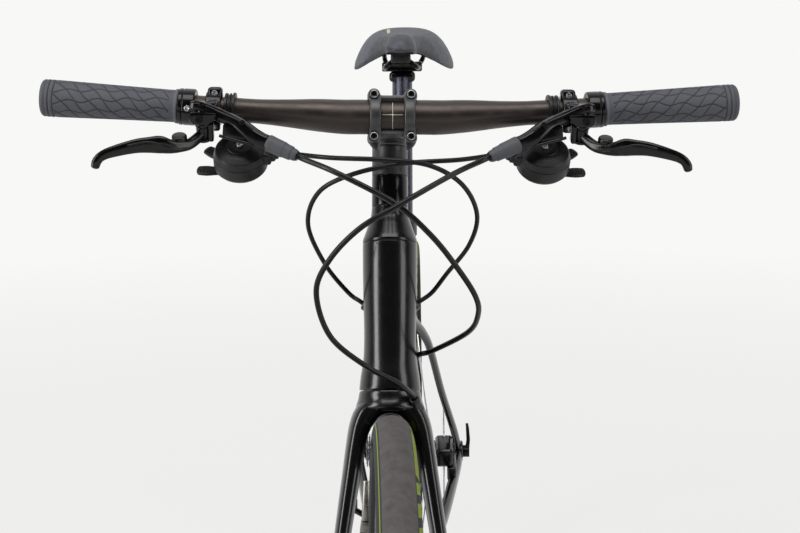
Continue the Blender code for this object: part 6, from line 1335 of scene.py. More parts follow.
def make_brake_lever(side, node):
    """The hooked blade, deep behind its bend, with the knuckle of its reach screw by the pivot."""
    pivot = sided(LEVER_PIVOT, side)
    places = (
        ((0.1718, -0.38, 0.9216), 0.004, 0.0048), ((0.1805, -0.389, 0.915), 0.0044, 0.005),
        ((0.1887, -0.395, 0.9135), 0.0044, 0.0056), ((0.1968, -0.4, 0.9136), 0.004, 0.0064),
        ((0.2051, -0.403, 0.9154), 0.0036, 0.0078), ((0.2135, -0.405, 0.9153), 0.0034, 0.0071),
        ((0.2233, -0.4068, 0.9147), 0.0033, 0.0064), ((0.2323, -0.408, 0.913), 0.0032, 0.0058),
        ((0.2417, -0.4088, 0.9106), 0.0031, 0.0052), ((0.2512, -0.4093, 0.9076), 0.0031, 0.0046),
        ((0.2572, -0.4095, 0.904), 0.0036, 0.0042), ((0.26, -0.4095, 0.8998), 0.0041, 0.0042),
        ((0.2608, -0.4095, 0.8968), 0.0038, 0.0038),
    )
    stations = [(sided(place, side), depth, height) for place, depth, height in places]
    half = LEVER_AXIS * 0.0055
    knuckle = sided((0.1893, -0.3925, 0.9195), side)
    parts = [swept("blade", stations, BACK, 2.5, 40, 0.0025, (0.0, 0.0024)),
             cylinder("boss", pivot - half, pivot + half, 0.006, 40, 0.0008),
             cylinder("knuckle", knuckle - LEVER_AXIS * 0.005, knuckle + LEVER_AXIS * 0.004, 0.0068, 40, 0.002)]
    crease = ((0.186, -0.3975, 0.911), (0.195, -0.403, 0.912), (0.2051, -0.4062, 0.916),
              (0.216, -0.4082, 0.918), (0.2323, -0.4108, 0.915))
    parts.append(pipe("crease", route_through([sided(point, side) for point in crease], 0.002), 0.0011, 12))
    finished(merged(f"{node}_blade", parts), ENAMEL, node, node)
    out = Vector((0.25 * side, -0.95, -0.15)).normalized()
    spot = facing(sided((0.1905, -0.3992, 0.9185), side), out)
    repeated(f"{node}_reach_screw", socket_bolt(0.0018, 0.0012), [spot], BLACK_STEEL, node)


def make_shifter(side, node):
    """The shifter's domed housing under the bar, with its clamp, barrel adjuster and the seam of its cover."""
    centre = sided(POD_CENTRE, side)
    top, radius = 0.013, 0.0245
    outline = [
        (top, 0.0), (top, radius * 0.5), (top - 0.0012, radius * 0.66), (top - 0.004, radius * 0.9),
        (top - 0.01, radius - 0.0003), (top - 0.0104, radius - 0.001), (top - 0.011, radius),
        (-top + 0.004, radius), (-top, radius - 0.003), (-top, 0.003), (-top - 0.0112, 0.003), (-top - 0.0112, 0.0),
    ]
    stalk = block("stalk", (0.0085, 0.017, 0.021), sided((0.149, -0.348, 0.923), side), 0.0024)
    parts = [revolved("housing", outline, centre, POD_AXIS, 80, soft=0.0009), stalk]
    inner = BAR_GRIP_RADIUS + 0.0003
    ribs = [(0.0, inner), (0.0, 0.0158), (0.002, 0.0158), (0.0024, 0.0136), (0.0036, 0.0136), (0.004, 0.015),
            (0.0052, 0.015), (0.0056, 0.0136), (0.0068, 0.0136), (0.0072, 0.015), (0.0094, 0.015), (0.0094, inner)]
    collar = on_bar(side * 0.144)
    parts.append(revolved("collar", ribs, collar, along_bar(side), 56, ring=True, soft=0.0003))
    mouth = frame_of(centre + Vector((-0.021 * side, -0.003, 0.001)), ASIDE, -POD_BACK, POD_AXIS)
    parts.append(block("cable_mouth", (0.015, 0.015, 0.012), mouth, 0.003))
    finished(merged(f"{node}_housing", parts), NYLON, "steering", node)
    face = centre + POD_AXIS * (top + 0.0001)
    disc = [(0.0, 0.0), (0.0, 0.0118), (0.0007, 0.011), (0.0007, 0.0064), (0.0003, 0.0058), (0.0003, 0.0)]
    finished(revolved(f"{node}_cover_disc", disc, face, POD_AXIS, 64, soft=0.0002), NYLON, "steering")
    repeated(f"{node}_cover_screw", socket_bolt(0.003, 0.0016), [facing(face + POD_AXIS * 0.0002, POD_AXIS)],
             BRIGHT_STEEL, "steering")
    window = facing(centre + POD_AXIS * (top - 0.0012) + POD_BACK * 0.0178, (POD_AXIS + POD_BACK * 0.35).normalized())
    finished(block(f"{node}_gear_tab", (0.0105, 0.003, 0.0016), window, 0.0006), TAB, "steering")
    start, end = sided(POD_CENTRE + Vector((-0.018, -0.004, 0.0)), side), sided(BARREL_END, side)
    way, length = (end - start).normalized(), (end - start).length
    barrel = [(length, 0.0023), (length, 0.0036), (length - 0.003, 0.0041), (length - 0.0034, 0.005),
              (length - 0.0105, 0.0052), (length - 0.0108, 0.0042), (0.0, 0.0046), (0.0, 0.0023)]
    finished(revolved(f"{node}_barrel", barrel, start, way, 40, ring=True, soft=0.0004), NYLON, "steering")
    rib = block("rib", (0.0007, 0.0012, 0.0062), Matrix.Identity(4), 0.0002, 1)
    ribs = []
    for k in range(14):
        turn = Matrix.Rotation(math.tau * k / 14, 4, "Z")
        ribs.append(facing(start, way) @ turn @ Matrix.Translation((0.0052, 0.0, length - 0.007)))
    repeated(f"{node}_barrel_ribs", rib, ribs, NYLON, "steering")


def make_trigger(side, node, level, reach, lean):
    """One thumb lever on the housing's pin, with a raised, ribbed pad at its end."""
    hub = sided(POD_CENTRE, side) - POD_AXIS * (0.013 + 0.0003 + 0.0018 + level * 0.0039)
    outward = ASIDE * side * math.cos(lean) + POD_BACK * math.sin(lean)
    across = POD_AXIS.cross(outward)
    stations = [
        (hub + outward * 0.002, 0.007, 0.0014), (hub + outward * reach * 0.45, 0.0048, 0.0014),
        (hub + outward * reach * 0.75, 0.0062, 0.0014), (hub + outward * (reach - 0.003), 0.0056, 0.0014),
    ]
    half = POD_AXIS * 0.0018
    outline = [(0.0036, 0.0033), (0.0036, 0.0078), (0.0, 0.0078), (0.0, 0.0033)]
    parts = [swept("arm", stations, across, 3.0, 32, 0.003, (0.0, 0.003)),
             revolved("hub", outline, hub - half, POD_AXIS, 40, ring=True, soft=0.0005)]
    for k in range(4):
        place = hub + outward * (reach * (0.7 + 0.07 * k))
        parts.append(block("rib", (0.0008, 0.0088, 0.0036), frame_of(place, outward, across, outward.cross(across)),
                           0.0003, 1))
    finished(merged(f"{node}_finished", parts), NYLON, node, node)


# Hoses and housings

HOSE_OFFSETS = {
    "front_brake_hose": (
        (0.05, -0.078, 0.2159), (0.0005, -0.102, 0.1908), (-0.031, -0.102, 0.1714), (-0.0565, -0.092, 0.1424),
        (-0.068, -0.08, 0.1114), (-0.056, -0.072, 0.0704), (-0.0245, -0.065, 0.0414), (0.006, -0.052, 0.0214),
    ),
    "rear_brake_hose": (
        (-0.048, -0.077, 0.216), (0.0002, -0.09, 0.1921), (0.0306, -0.094, 0.1662), (0.054, -0.089, 0.1374),
        (0.073, -0.074, 0.1074), (0.0776, -0.053, 0.0854), (0.071, -0.023, 0.0624),
    ),
    "shift_housing_right": (
        (-0.056, -0.052, 0.2276), (-0.0079, -0.069, 0.2277), (0.0318, -0.065, 0.2224), (0.062, -0.049, 0.2035),
        (0.0777, -0.024, 0.1729), (0.073, 0.001, 0.1409), (0.054, 0.023, 0.1094),
    ),
    "shift_housing_left": (
        (0.0597, -0.042, 0.2254), (0.0057, -0.056, 0.2229), (-0.0385, -0.05, 0.212), (-0.0673, -0.034, 0.1938),
        (-0.0772, -0.009, 0.1608), (-0.062, 0.017, 0.1194),
    ),
}


def make_hoses():
    """The front hose turns with the fork. The other three bend between the bar and the frame that they enter."""
    ports = cable_ports()
    still = TURN.inverted()
    boot_out = (BOOT_END - BOOT_START).normalized()
    barrel_out = (BARREL_END - POD_CENTRE - Vector((-0.018, -0.004, 0.0))).normalized()
    for name, offsets in HOSE_OFFSETS.items():
        is_hose = "hose" in name
        root, out = (BOOT_END, boot_out) if is_hose else (BARREL_END, barrel_out)
        side = 1 if name in ("front_brake_hose", "shift_housing_left") else -1
        points = [sided(root + out * 0.0003, side), sided(root + out * 0.008, side)]
        points += [CROWN + Vector(offset) for offset in offsets]
        if name in ports:
            place, outward = ports[name]
            end = still @ (place + outward * 0.0033)
            points += [end + outward * 0.018, end + outward * 0.004, end]
        else:
            points += [CROWN_PORT + CROWN_PORT_OUT * 0.006, CROWN_PORT - CROWN_PORT_OUT * 0.002]
        route = [TURN @ point for point in route_through(points, 0.003)]
        radius = 0.00255 if is_hose else 0.0022
        obj = pipe(f"{name}_finished", route, radius, 20)
        obj.data.materials.append(SHEATH)
        if name in ports:
            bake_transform(obj)
        else:
            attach(obj, "steering")
        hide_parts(name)


# Camera


def make_camera():
    """The photograph's view: in front, a little to the rider's left and above the bar."""
    azimuth, pitch, roll = math.radians(1.4808), math.radians(10.3511), math.radians(-0.568)
    right = Vector((math.cos(azimuth), math.sin(azimuth), 0.0))
    back = Vector((math.sin(azimuth) * math.cos(pitch), -math.cos(azimuth) * math.cos(pitch), math.sin(pitch)))
    up = back.cross(right)
    data = bpy.data.cameras.new("front_view")
    data.sensor_width = 36.0
    data.lens = 62.96
    camera = bpy.data.objects.new("front_view", data)
    place = Vector((0.044, -1.6348, 1.0324))
    leaned = right * math.cos(roll) + up * math.sin(roll)
    camera.matrix_world = frame_of(place, leaned, up * math.cos(roll) - right * math.sin(roll), back)
    bpy.context.scene.collection.objects.link(camera)
    bpy.context.scene.camera = camera


# Wheels


def make_tyre(node, centre, body):
    """A slick tyre from bead to bead, mapped in metres along its run and across from the middle of its tread."""
    half = TYRE_WIDTH / 2
    section = [(-0.0114, RIM_BED_RADIUS + 0.0003)]
    for k in range(33):
        turn = math.radians(blend(-118.0, 118.0, k / 32))
        section.append((half * math.sin(turn), TYRE_RADIUS - half + half * math.cos(turn)))
    section.append((0.0114, RIM_BED_RADIUS + 0.0003))
    middle = sum(math.dist(a, b) for a, b in zip(section[:18], section[1:18]))
    rings = []
    for i in range(160):
        turn = math.tau * i / 160
        out = Vector((0.0, math.cos(turn), math.sin(turn)))
        rings.append([centre + ASIDE * x + out * radius for x, radius in section])
    tyre = skin(f"{node}_casing", rings, loop=True)
    for corner in tyre.data.uv_layers["surface"].data:
        corner.uv.y -= middle
    finished(tyre, TYRE, body, node)


def make_rim(node, centre, body):
    """A hollow-section alloy rim with rounded edges, and its valve."""
    wall = [(0.0118, 0.0), (0.0118, 0.0032), (0.0106, 0.0072), (0.0076, 0.0166), (0.005, 0.0198), (0.0, 0.0206)]
    outline = [(x, RIM_BED_RADIUS - depth) for x, depth in wall]
    outline += [(-x, radius) for x, radius in reversed(outline[:-1])]
    outline += [(-0.009, RIM_BED_RADIUS + 0.0002), (0.009, RIM_BED_RADIUS + 0.0002)]
    finished(revolved(f"{node}_section", outline, centre, ASIDE, 160, ring=True, soft=0.001), ANODISED, body, node)
    start = centre - UP * (RIM_BED_RADIUS - RIM_DEPTH + 0.0006)
    stem = [(0.024, 0.0), (0.024, 0.0022), (0.019, 0.003), (0.008, 0.003), (0.0078, 0.0028), (0.0032, 0.0028),
            (0.003, 0.0048), (0.0, 0.0048), (0.0, 0.0)]
    finished(revolved(f"{node}_valve", stem, start, UP, 32, soft=0.0003), BLACK_STEEL, body)


def make_spokes(node, centre, flanges, flange_radius, body):
    """Round spokes crossing from flange to rim, with a black steel nipple at each rim end."""
    matrices, stretches, nipples = [], [], []
    for i in range(SPOKE_COUNT):
        flange = flanges[i % 2]
        trailing = 1 if (i // 2) % 2 else -1
        at_rim = math.tau * (i + 0.5) / SPOKE_COUNT
        at_hub = at_rim + trailing * SPOKE_SWEEP
        near = flange_radius - 0.0035
        start = centre + Vector((flange + trailing * 0.0013, near * math.cos(at_hub), near * math.sin(at_hub)))
        far = RIM_BED_RADIUS - RIM_DEPTH + 0.0005
        end = centre + Vector((math.copysign(0.003, flange), far * math.cos(at_rim), far * math.sin(at_rim)))
        way = (end - start).normalized()
        matrices.append(facing(start, way))
        stretches.append((1.0, 1.0, (end - start).length))
        nipples.append(facing(end - way * 0.012, way))
    spoke = cylinder("spoke", Vector(), UP, 0.001, 10, 0.0)
    repeated(f"{node}_spokes", spoke, matrices, BRIGHT_STEEL, body, stretches=stretches)
    outline = [(0.0125, 0.0), (0.0125, 0.0026), (0.0105, 0.002), (0.0, 0.0017), (0.0, 0.0)]
    nipple = revolved("nipple", outline, Vector(), UP, 12, soft=0.0003)
    repeated(f"{node}_nipples", nipple, nipples, BLACK_STEEL, body)


def make_hub(node, centre, half_width, flanges, flange_radius, disc_x, shell_end, body):
    left, right = flanges
    end, web, inner = half_width - 0.0003, 0.0022, AXLE_RADIUS + 0.0004
    outline = [
        (end, inner), (end, 0.0105), (disc_x + 0.0032, 0.0105), (disc_x + 0.0032, 0.0168), (left + 0.006, 0.0168),
        (left + web + 0.001, flange_radius - 0.004), (left + web, flange_radius), (left - web, flange_radius),
        (left - web - 0.001, flange_radius - 0.004), (left - 0.009, 0.0125), (right + 0.009, 0.0125),
        (right + web + 0.001, flange_radius - 0.004), (right + web, flange_radius), (right - web, flange_radius),
        (right - web - 0.001, flange_radius - 0.004), (shell_end, 0.0105), (shell_end, inner),
    ]
    finished(revolved(f"{node}_shell", outline, centre, ASIDE, 72, ring=True, soft=0.0009), ANODISED, body, node)


def make_disc(node, centre, disc_x, body):
    """A ventilated brake disc on six curved arms, with its black carrier ring."""
    band, carrier, arms = DISC_RADIUS - DISC_BAND, 0.0262, 6
    holes = [circle(0.0172, 48)]
    for i in range(arms):
        start = math.tau * i / arms
        end = start + math.tau / arms - 0.15
        window = [(band, blend(start, end, k / 10)) for k in range(11)]
        window += [(blend(band, carrier, k / 6), end - 0.24 * k / 6) for k in range(1, 7)]
        window += [(carrier, blend(end - 0.24, start - 0.2, k / 4)) for k in range(1, 5)]
        window += [(blend(carrier, band, k / 6), start - 0.2 * (1 - k / 6)) for k in range(1, 6)]
        holes.append([(radius * math.cos(turn), radius * math.sin(turn)) for radius, turn in window])
        for k in range(6):
            turn = start + math.tau * k / (6 * arms)
            reach = band + (0.004, 0.0072, 0.0104)[k % 3]
            holes.append(circle(0.0019, 14, (reach * math.cos(turn), reach * math.sin(turn))))
    disc = plate(f"{node}_finished", [circle(DISC_RADIUS, 120), *holes], 0.0018, facing(centre + ASIDE * disc_x, ASIDE))
    finished(disc, STAINLESS, body, node)
    ring = [(0.0, 0.0172), (0.0, 0.0225), (0.0016, 0.0222), (0.0028, 0.0205), (0.0028, 0.0172)]
    lock = revolved(f"{node}_lock_ring", ring, centre + ASIDE * (disc_x + 0.001), ASIDE, 60, ring=True, soft=0.0004)
    finished(lock, BLACK_STEEL, body)


def make_wheels():
    for name, centre, half_width, flanges, flange_radius, disc_x, shell_end in (
        ("front", FRONT_AXLE, 0.05, (0.024, -0.033), 0.0215, 0.0395, 0.0003 - 0.05),
        ("rear", REAR_AXLE, 0.071, (0.034, -0.02), 0.0265, 0.0555, -0.0259),
    ):
        body = f"{name}_wheel"
        make_tyre(f"{name}_tyre", centre, body)
        make_rim(f"{name}_rim", centre, body)
        make_hub(f"{name}_hub_and_spokes", centre, half_width, flanges, flange_radius, disc_x, shell_end, body)
        make_spokes(name, centre, flanges, flange_radius, body)
        make_disc(f"{name}_brake_disc", centre, disc_x, body)


def make_brakes_and_axles():
    refined("front_brake_caliper", ENAMEL, "steering", 0.0012)
    refined("rear_brake_caliper", ENAMEL, "frame", 0.0012)
    refined("front_axle", BLACK_STEEL, "front_axle", 0.0006)
    refined("rear_axle", BLACK_STEEL, "rear_axle", 0.0006)
    bolts = []
    for up in (0.021, -0.021):
        place = on_steerer(0.0669 - FORK_DROP + up, 0.002 + 0.0168, 0.0531)
        bolts.append(facing(place, STEER_AHEAD))
    repeated("front_caliper_bolts", socket_bolt(0.0042, 0.0045), bolts, BRIGHT_STEEL, "steering")


# Drive train

COG_IN_USE = 18
CAGE_PIVOT = Vector((0.5, 0.233))
CAGE_LEAN = math.radians(17.0)
TENSION = CAGE_PIVOT + Vector((-math.sin(CAGE_LEAN), -math.cos(CAGE_LEAN))) * 0.056


def chain_pins():
    """The chain's pins in the YZ plane, a pitch apart round each wheel, and the wheels' turns that fit them."""
    wheels = [
        (Vector((BB_CENTRE.y, BB_CENTRE.z)), LARGE_RING_TEETH, 1), (TENSION, PULLEY_TEETH, 1),
        (CAGE_PIVOT, PULLEY_TEETH, -1), (Vector((REAR_AXLE.y, REAR_AXLE.z)), COG_IN_USE, 1),
    ]
    headings = []
    for i, (centre, teeth, sign) in enumerate(wheels):
        following, next_teeth, next_sign = wheels[(i + 1) % 4]
        span = following - centre
        step = next_sign * pitch_radius(next_teeth) - sign * pitch_radius(teeth)
        run = math.sqrt(span.length_squared - step**2)
        headings.append(math.atan2(span.y, span.x) - math.atan2(step, run))
    arcs, phases = [], []
    for i, (centre, teeth, sign) in enumerate(wheels):
        turn = (headings[i] - headings[i - 1]) % math.tau
        if sign < 0:
            turn -= math.tau
        step = math.tau / teeth
        count = int(abs(turn) / step)
        first = headings[i - 1] + (turn - sign * count * step) / 2
        arc = []
        for k in range(count + 1):
            heading = first + sign * k * step
            left = Vector((-math.sin(heading), math.cos(heading)))
            arc.append(centre - left * sign * pitch_radius(teeth))
        arcs.append(arc)
        phases.append(math.atan2(arc[0].y - centre.y, arc[0].x - centre.x))
    pins = []
    for i, arc in enumerate(arcs):
        following = arcs[(i + 1) % 4][0]
        pins += arc
        count = round((following - arc[-1]).length / CHAIN_PITCH)
        if i == 3 and (len(pins) + count - 1) % 2:
            count += 1
        pins += [blend(arc[-1], following, k / count) for k in range(1, count)]
    return pins, phases


def toothed(teeth, phase):
    """A sprocket's outline, with a seat for the chain's roller at a phase."""
    pitch = pitch_radius(teeth)
    points = []
    for i in range(teeth):
        for share, rise in ((0.0, -0.0049), (0.17, -0.0043), (0.32, 0.0), (0.44, 0.0026), (0.56, 0.0026), (0.68, 0.0),
                            (0.83, -0.0043)):
            turn = phase + math.tau * (i + share) / teeth
            points.append(((pitch + rise) * math.cos(turn), (pitch + rise) * math.sin(turn)))
    return points


def in_side_plane(at_x, centre):
    """The frame whose own X and Y look along the bicycle's Y and Z."""
    return frame_of(Vector((at_x, centre.y, centre.z)), BACK, UP, ASIDE)


def make_chain(pins):
    """Outer and inner links in turn, each a pair of waisted plates, with a roller and a pin at every joint."""
    outline = []
    for centre, first in ((CHAIN_PITCH / 2, -math.pi / 2), (-CHAIN_PITCH / 2, math.pi / 2)):
        for k in range(9):
            turn = first + math.pi * k / 8
            outline.append((centre + 0.0041 * math.cos(turn), 0.0041 * math.sin(turn)))
        outline.append((0.0, math.copysign(0.0033, -first)))
    links = []
    for i, pin in enumerate(pins):
        following = pins[(i + 1) % len(pins)]
        way = following - pin
        middle = (pin + following) / 2
        along = Vector((0.0, way.x, way.y)).normalized()
        place = frame_of(Vector((LARGE_RING_X, middle.x, middle.y)), along, ASIDE.cross(along), ASIDE)
        links.append((place, (way.length / CHAIN_PITCH, 1.0, 1.0)))
    pieces = []
    for name, spread, first in (("outer_links", 0.0024, 0), ("inner_links", 0.0015, 1)):
        pair = [plate("plate", [outline], 0.0008, Matrix.Translation((0.0, 0.0, z)), 0.0001) for z in (spread, -spread)]
        chosen = links[first::2]
        stands_for = ("chain",) if first == 0 else ()
        pieces.append(repeated(f"chain_{name}", merged("pair", pair), [place for place, _ in chosen], CHAIN_STEEL,
                               "frame", *stands_for, stretches=[stretch for _, stretch in chosen]))
    spots = [in_side_plane(LARGE_RING_X, Vector((0.0, pin.x, pin.y))) for pin in pins]
    up = UP
    joint = merged("joint", [cylinder("roller", up * -0.0009, up * 0.0009, 0.0038, 14, 0.0002),
                             cylinder("pin", up * -0.003, up * 0.003, 0.0017, 10, 0.0002)])
    repeated("chain_rollers_and_pins", joint, spots, CHAIN_STEEL, "frame")


def make_rings(phases):
    """Two chainrings on the spider, their bolts, and the stack of cogs on its freehub body."""
    for node, teeth, at_x, phase in (
        ("chainring_large", LARGE_RING_TEETH, LARGE_RING_X, phases[0]),
        ("chainring_small", SMALL_RING_TEETH, LARGE_RING_X + 0.007, phases[0]),
    ):
        holes = [circle(0.048, 72)]
        if teeth == LARGE_RING_TEETH:
            holes += [circle(0.0105, 28, place) for place in circle(0.07, 4)]
        place = in_side_plane(at_x, BB_CENTRE)
        ring = plate(f"{node}_finished", [toothed(teeth, phase), *holes], 0.0019, place, 0.0003)
        finished(ring, BLACK_STEEL, "crankset", node)
    spots = []
    for i in range(4):
        turn = math.tau * (i + 0.5) / 4
        out = Vector((0.0, math.cos(turn), math.sin(turn)))
        spots.append(facing(BB_CENTRE + out * 0.0545 + ASIDE * (LARGE_RING_X - 0.0009), -ASIDE))
    repeated("chainring_bolts", socket_bolt(0.005, 0.0016), spots, BRIGHT_STEEL, "crankset")
    cogs = []
    for index, teeth in enumerate(COGS):
        at_x = LARGE_RING_X + (COGS.index(COG_IN_USE) - index) * COG_SPACING
        holes = [circle(0.015, 36)]
        if teeth > 19:
            inner, outer = 0.0185, pitch_radius(teeth) - 0.01
            for i in range(6):
                middle = math.tau * i / 6
                slot = [(outer, middle + blend(-0.3, 0.3, k / 6)) for k in range(7)]
                slot += [(inner, middle + blend(0.26, -0.26, k / 4)) for k in range(5)]
                if outer > inner + 0.002:
                    holes.append([(radius * math.cos(turn), radius * math.sin(turn)) for radius, turn in slot])
        place = in_side_plane(at_x, REAR_AXLE)
        cogs.append(plate("cog", [toothed(teeth, phases[3]), *holes], 0.0016, place, 0.0002))
    start = LARGE_RING_X + COGS.index(COG_IN_USE) * COG_SPACING + 0.0008
    end = LARGE_RING_X + (COGS.index(COG_IN_USE) - 10) * COG_SPACING - 0.0008
    inner = AXLE_RADIUS + 0.0004
    body = [(start, inner), (start, 0.016), (end - 0.001, 0.016), (end - 0.0012, 0.014), (-0.0707, 0.01),
            (-0.0707, inner)]
    cogs.append(revolved("freehub", body, REAR_AXLE, ASIDE, 48, ring=True, soft=0.0004))
    finished(merged("cassette_finished", cogs), COG_STEEL, "cassette", "cassette")


def make_pulleys(phases):
    for node, centre, phase in (("tension_pulley", TENSION, phases[1]), ("guide_pulley", CAGE_PIVOT, phases[2])):
        middle = Vector((0.0, centre.x, centre.y))
        teeth = plate("teeth", [toothed(PULLEY_TEETH, phase), circle(0.004, 24)], 0.0018,
                      in_side_plane(LARGE_RING_X, middle), 0.0002)
        hub = [(0.0065, 0.0028), (0.0065, 0.006), (0.0009, 0.0078), (-0.0009, 0.0078), (-0.0065, 0.006),
               (-0.0065, 0.0028)]
        bush = revolved("bush", hub, middle + ASIDE * LARGE_RING_X, ASIDE, 36, ring=True, soft=0.0004)
        finished(merged(f"{node}_finished", [teeth, bush]), NYLON, node, node)


def make_crank(side, ahead, node):
    """A forged arm that swells towards its boss, with the pedal's eye and spindle."""
    inner, width = CRANK_INNER_X, CRANK_BOSS_WIDTH
    middle = inner + width / 2
    stations = []
    for share, flare, height, thick in (
        (0.0, 0.0, 0.0165, 0.0063), (0.12, 0.04, 0.015, 0.0062), (0.3, 0.15, 0.013, 0.006),
        (0.7, 0.7, 0.0115, 0.0056), (1.0, 1.0, 0.012, 0.0055),
    ):
        aside = ASIDE * side * (middle + CRANK_FLARE * flare)
        stations.append((BB_CENTRE + ahead * CRANK_LENGTH * share + aside, height, thick))
    parts = [swept("arm", stations, ahead.cross(ASIDE), 3.2, 48, 0.006)]
    boss = BB_CENTRE + ASIDE * side * inner
    parts.append(cylinder("boss", boss, boss + ASIDE * side * width, 0.02, 56, 0.002))
    eye = BB_CENTRE + ahead * CRANK_LENGTH + ASIDE * side * (middle + CRANK_FLARE)
    half = ASIDE * side * 0.006
    parts.append(cylinder("eye", eye - half, eye + half, 0.0133, 48, 0.0018))
    if side < 0:
        for i in range(4):
            turn = math.tau * (i + 0.5) / 4
            out = Vector((0.0, math.cos(turn), math.sin(turn)))
            arm = [(BB_CENTRE + out * 0.012 + ASIDE * -0.051, 0.0085, 0.0034),
                   (BB_CENTRE + out * 0.034 + ASIDE * -0.05, 0.0068, 0.003),
                   (BB_CENTRE + out * 0.0475 + ASIDE * -0.047, 0.0058, 0.003)]
            parts.append(swept("spider", arm, out.cross(ASIDE), 3.2, 32, 0.003))
            tab = frame_of(BB_CENTRE + out * 0.049 + ASIDE * -0.044, ASIDE, out, ASIDE.cross(out))
            parts.append(block("tab", (0.0046, 0.02, 0.011), tab, 0.0012))
    out = ASIDE * side
    parts.append(cylinder("spindle", BB_CENTRE + out * 0.0005, boss + out * 0.001, 0.0118, 40, 0.0004))
    finished(merged(f"{node}_arm", parts), ENAMEL, "crankset", node)
    pin = cylinder(f"{node}_pedal_spindle", eye, eye + ASIDE * side * 0.09, 0.0044, 28, 0.0006)
    finished(pin, BRIGHT_STEEL, "crankset")
    face = BB_CENTRE + ASIDE * side * (inner + width - 0.0004)
    cap = [(0.0, 0.0), (0.0, 0.0135), (0.0014, 0.0128), (0.0014, 0.0086), (0.0006, 0.008), (0.0006, 0.0)]
    finished(revolved(f"{node}_cap", cap, face, ASIDE * side, 48, soft=0.0004), ANODISED, "crankset")


def make_pedals():
    for node, side, ahead in (("pedal_drive", -1, -1), ("pedal_left", 1, 1)):
        refined(node, NYLON, node, 0.0012)
        centre = BB_CENTRE + Vector((side * (0.0795 + 0.045), ahead * CRANK_LENGTH, 0.0))
        spots = []
        for y in (-0.0405, 0.0405):
            for x in (-0.034, -0.012, 0.012, 0.034):
                for z in (1, -1):
                    spots.append(facing(centre + Vector((x, y, z * 0.0088)), Vector((0.0, 0.0, z))))
        stud = revolved("stud", [(0.0012, 0.0), (0.0012, 0.0011), (0.0, 0.0016), (0.0, 0.0)], Vector(),
                        UP, 12, soft=0.0002)
        repeated(f"{node}_studs", stud, spots, BRIGHT_STEEL, node)


def make_derailleurs():
    for node, finish, body in (
        ("rear_derailleur_knuckle", ENAMEL, "frame"), ("rear_derailleur_link", ANODISED, "derailleur_link"),
        ("rear_derailleur_cage_knuckle", ENAMEL, "derailleur_knuckle"),
        ("rear_derailleur_cage", BLACK_STEEL, "derailleur_cage"), ("front_derailleur_bracket", ENAMEL, "frame"),
        ("front_derailleur_cage", CHAIN_STEEL, "front_derailleur"), ("bottom_bracket", BLACK_STEEL, "frame"),
        ("headset_bearing_lower", BRIGHT_STEEL, "frame"), ("headset_bearing_upper", BRIGHT_STEEL, "frame"),
    ):
        refined(node, finish, body, 0.0005)
    pivot = Vector((-0.0795 - 0.0003 - 0.015, 0.52, 0.311))
    low = Vector((-0.0474 - 0.0068 - 0.0016 - 0.0003 - 0.012, 0.5, 0.233))
    repeated("hanger_bolt", socket_bolt(0.005, 0.0022), [facing(pivot, -ASIDE)], BRIGHT_STEEL, "frame")
    repeated("cage_pivot_bolt", socket_bolt(0.0045, 0.0018), [facing(low, -ASIDE)], BRIGHT_STEEL,
             "derailleur_knuckle")


# Seat

CLAMP_Y = 0.2895
RAIL_HEIGHT = 0.958
SADDLE_NOSE_Y = 0.168
SADDLE_LENGTH = 0.27
SADDLE_PAD = 0.025


def saddle_half_width(share):
    """The saddle's half width from nose to tail: slim nose, then wings, then a rounded tail."""
    spread = 0.5 - 0.5 * math.cos(math.pi * min(max((share - 0.3) / 0.52, 0.0), 1.0))
    width = blend(0.0192, 0.0705, spread)
    if share > 0.88:
        width *= 1.0 - 0.3 * ((share - 0.88) / 0.12) ** 2
    return width


def saddle_point(share, across, depth):
    """A point under the cover, depth below its surface, at a share of the half width."""
    dip = 0.006 * math.sin(math.pi * min(share / 0.8, 1.0))
    nose = 0.004 * max(0.0, 1.0 - share / 0.14) ** 2
    tail = 0.01 * max(0.0, (share - 0.93) / 0.07)
    wings = 0.5 - 0.5 * math.cos(math.pi * min(max((share - 0.36) / 0.44, 0.0), 1.0))
    lift = 1.0 - 0.45 * max(0.0, (share - 0.82) / 0.18) ** 1.5
    fall = blend(0.014, 0.053, wings) * lift * (0.22 * across**2 + 0.78 * abs(across) ** 4.5)
    crown = 1.0095 - 0.004 * (1 - share) - dip - nose - tail
    return Vector((across * saddle_half_width(share), SADDLE_NOSE_Y + SADDLE_LENGTH * share, crown - fall - depth))


def saddle_underside(share, across):
    point = saddle_point(share, across, SADDLE_PAD * (1 - 0.55 * abs(across) ** 3))
    point.x *= 0.965
    return point


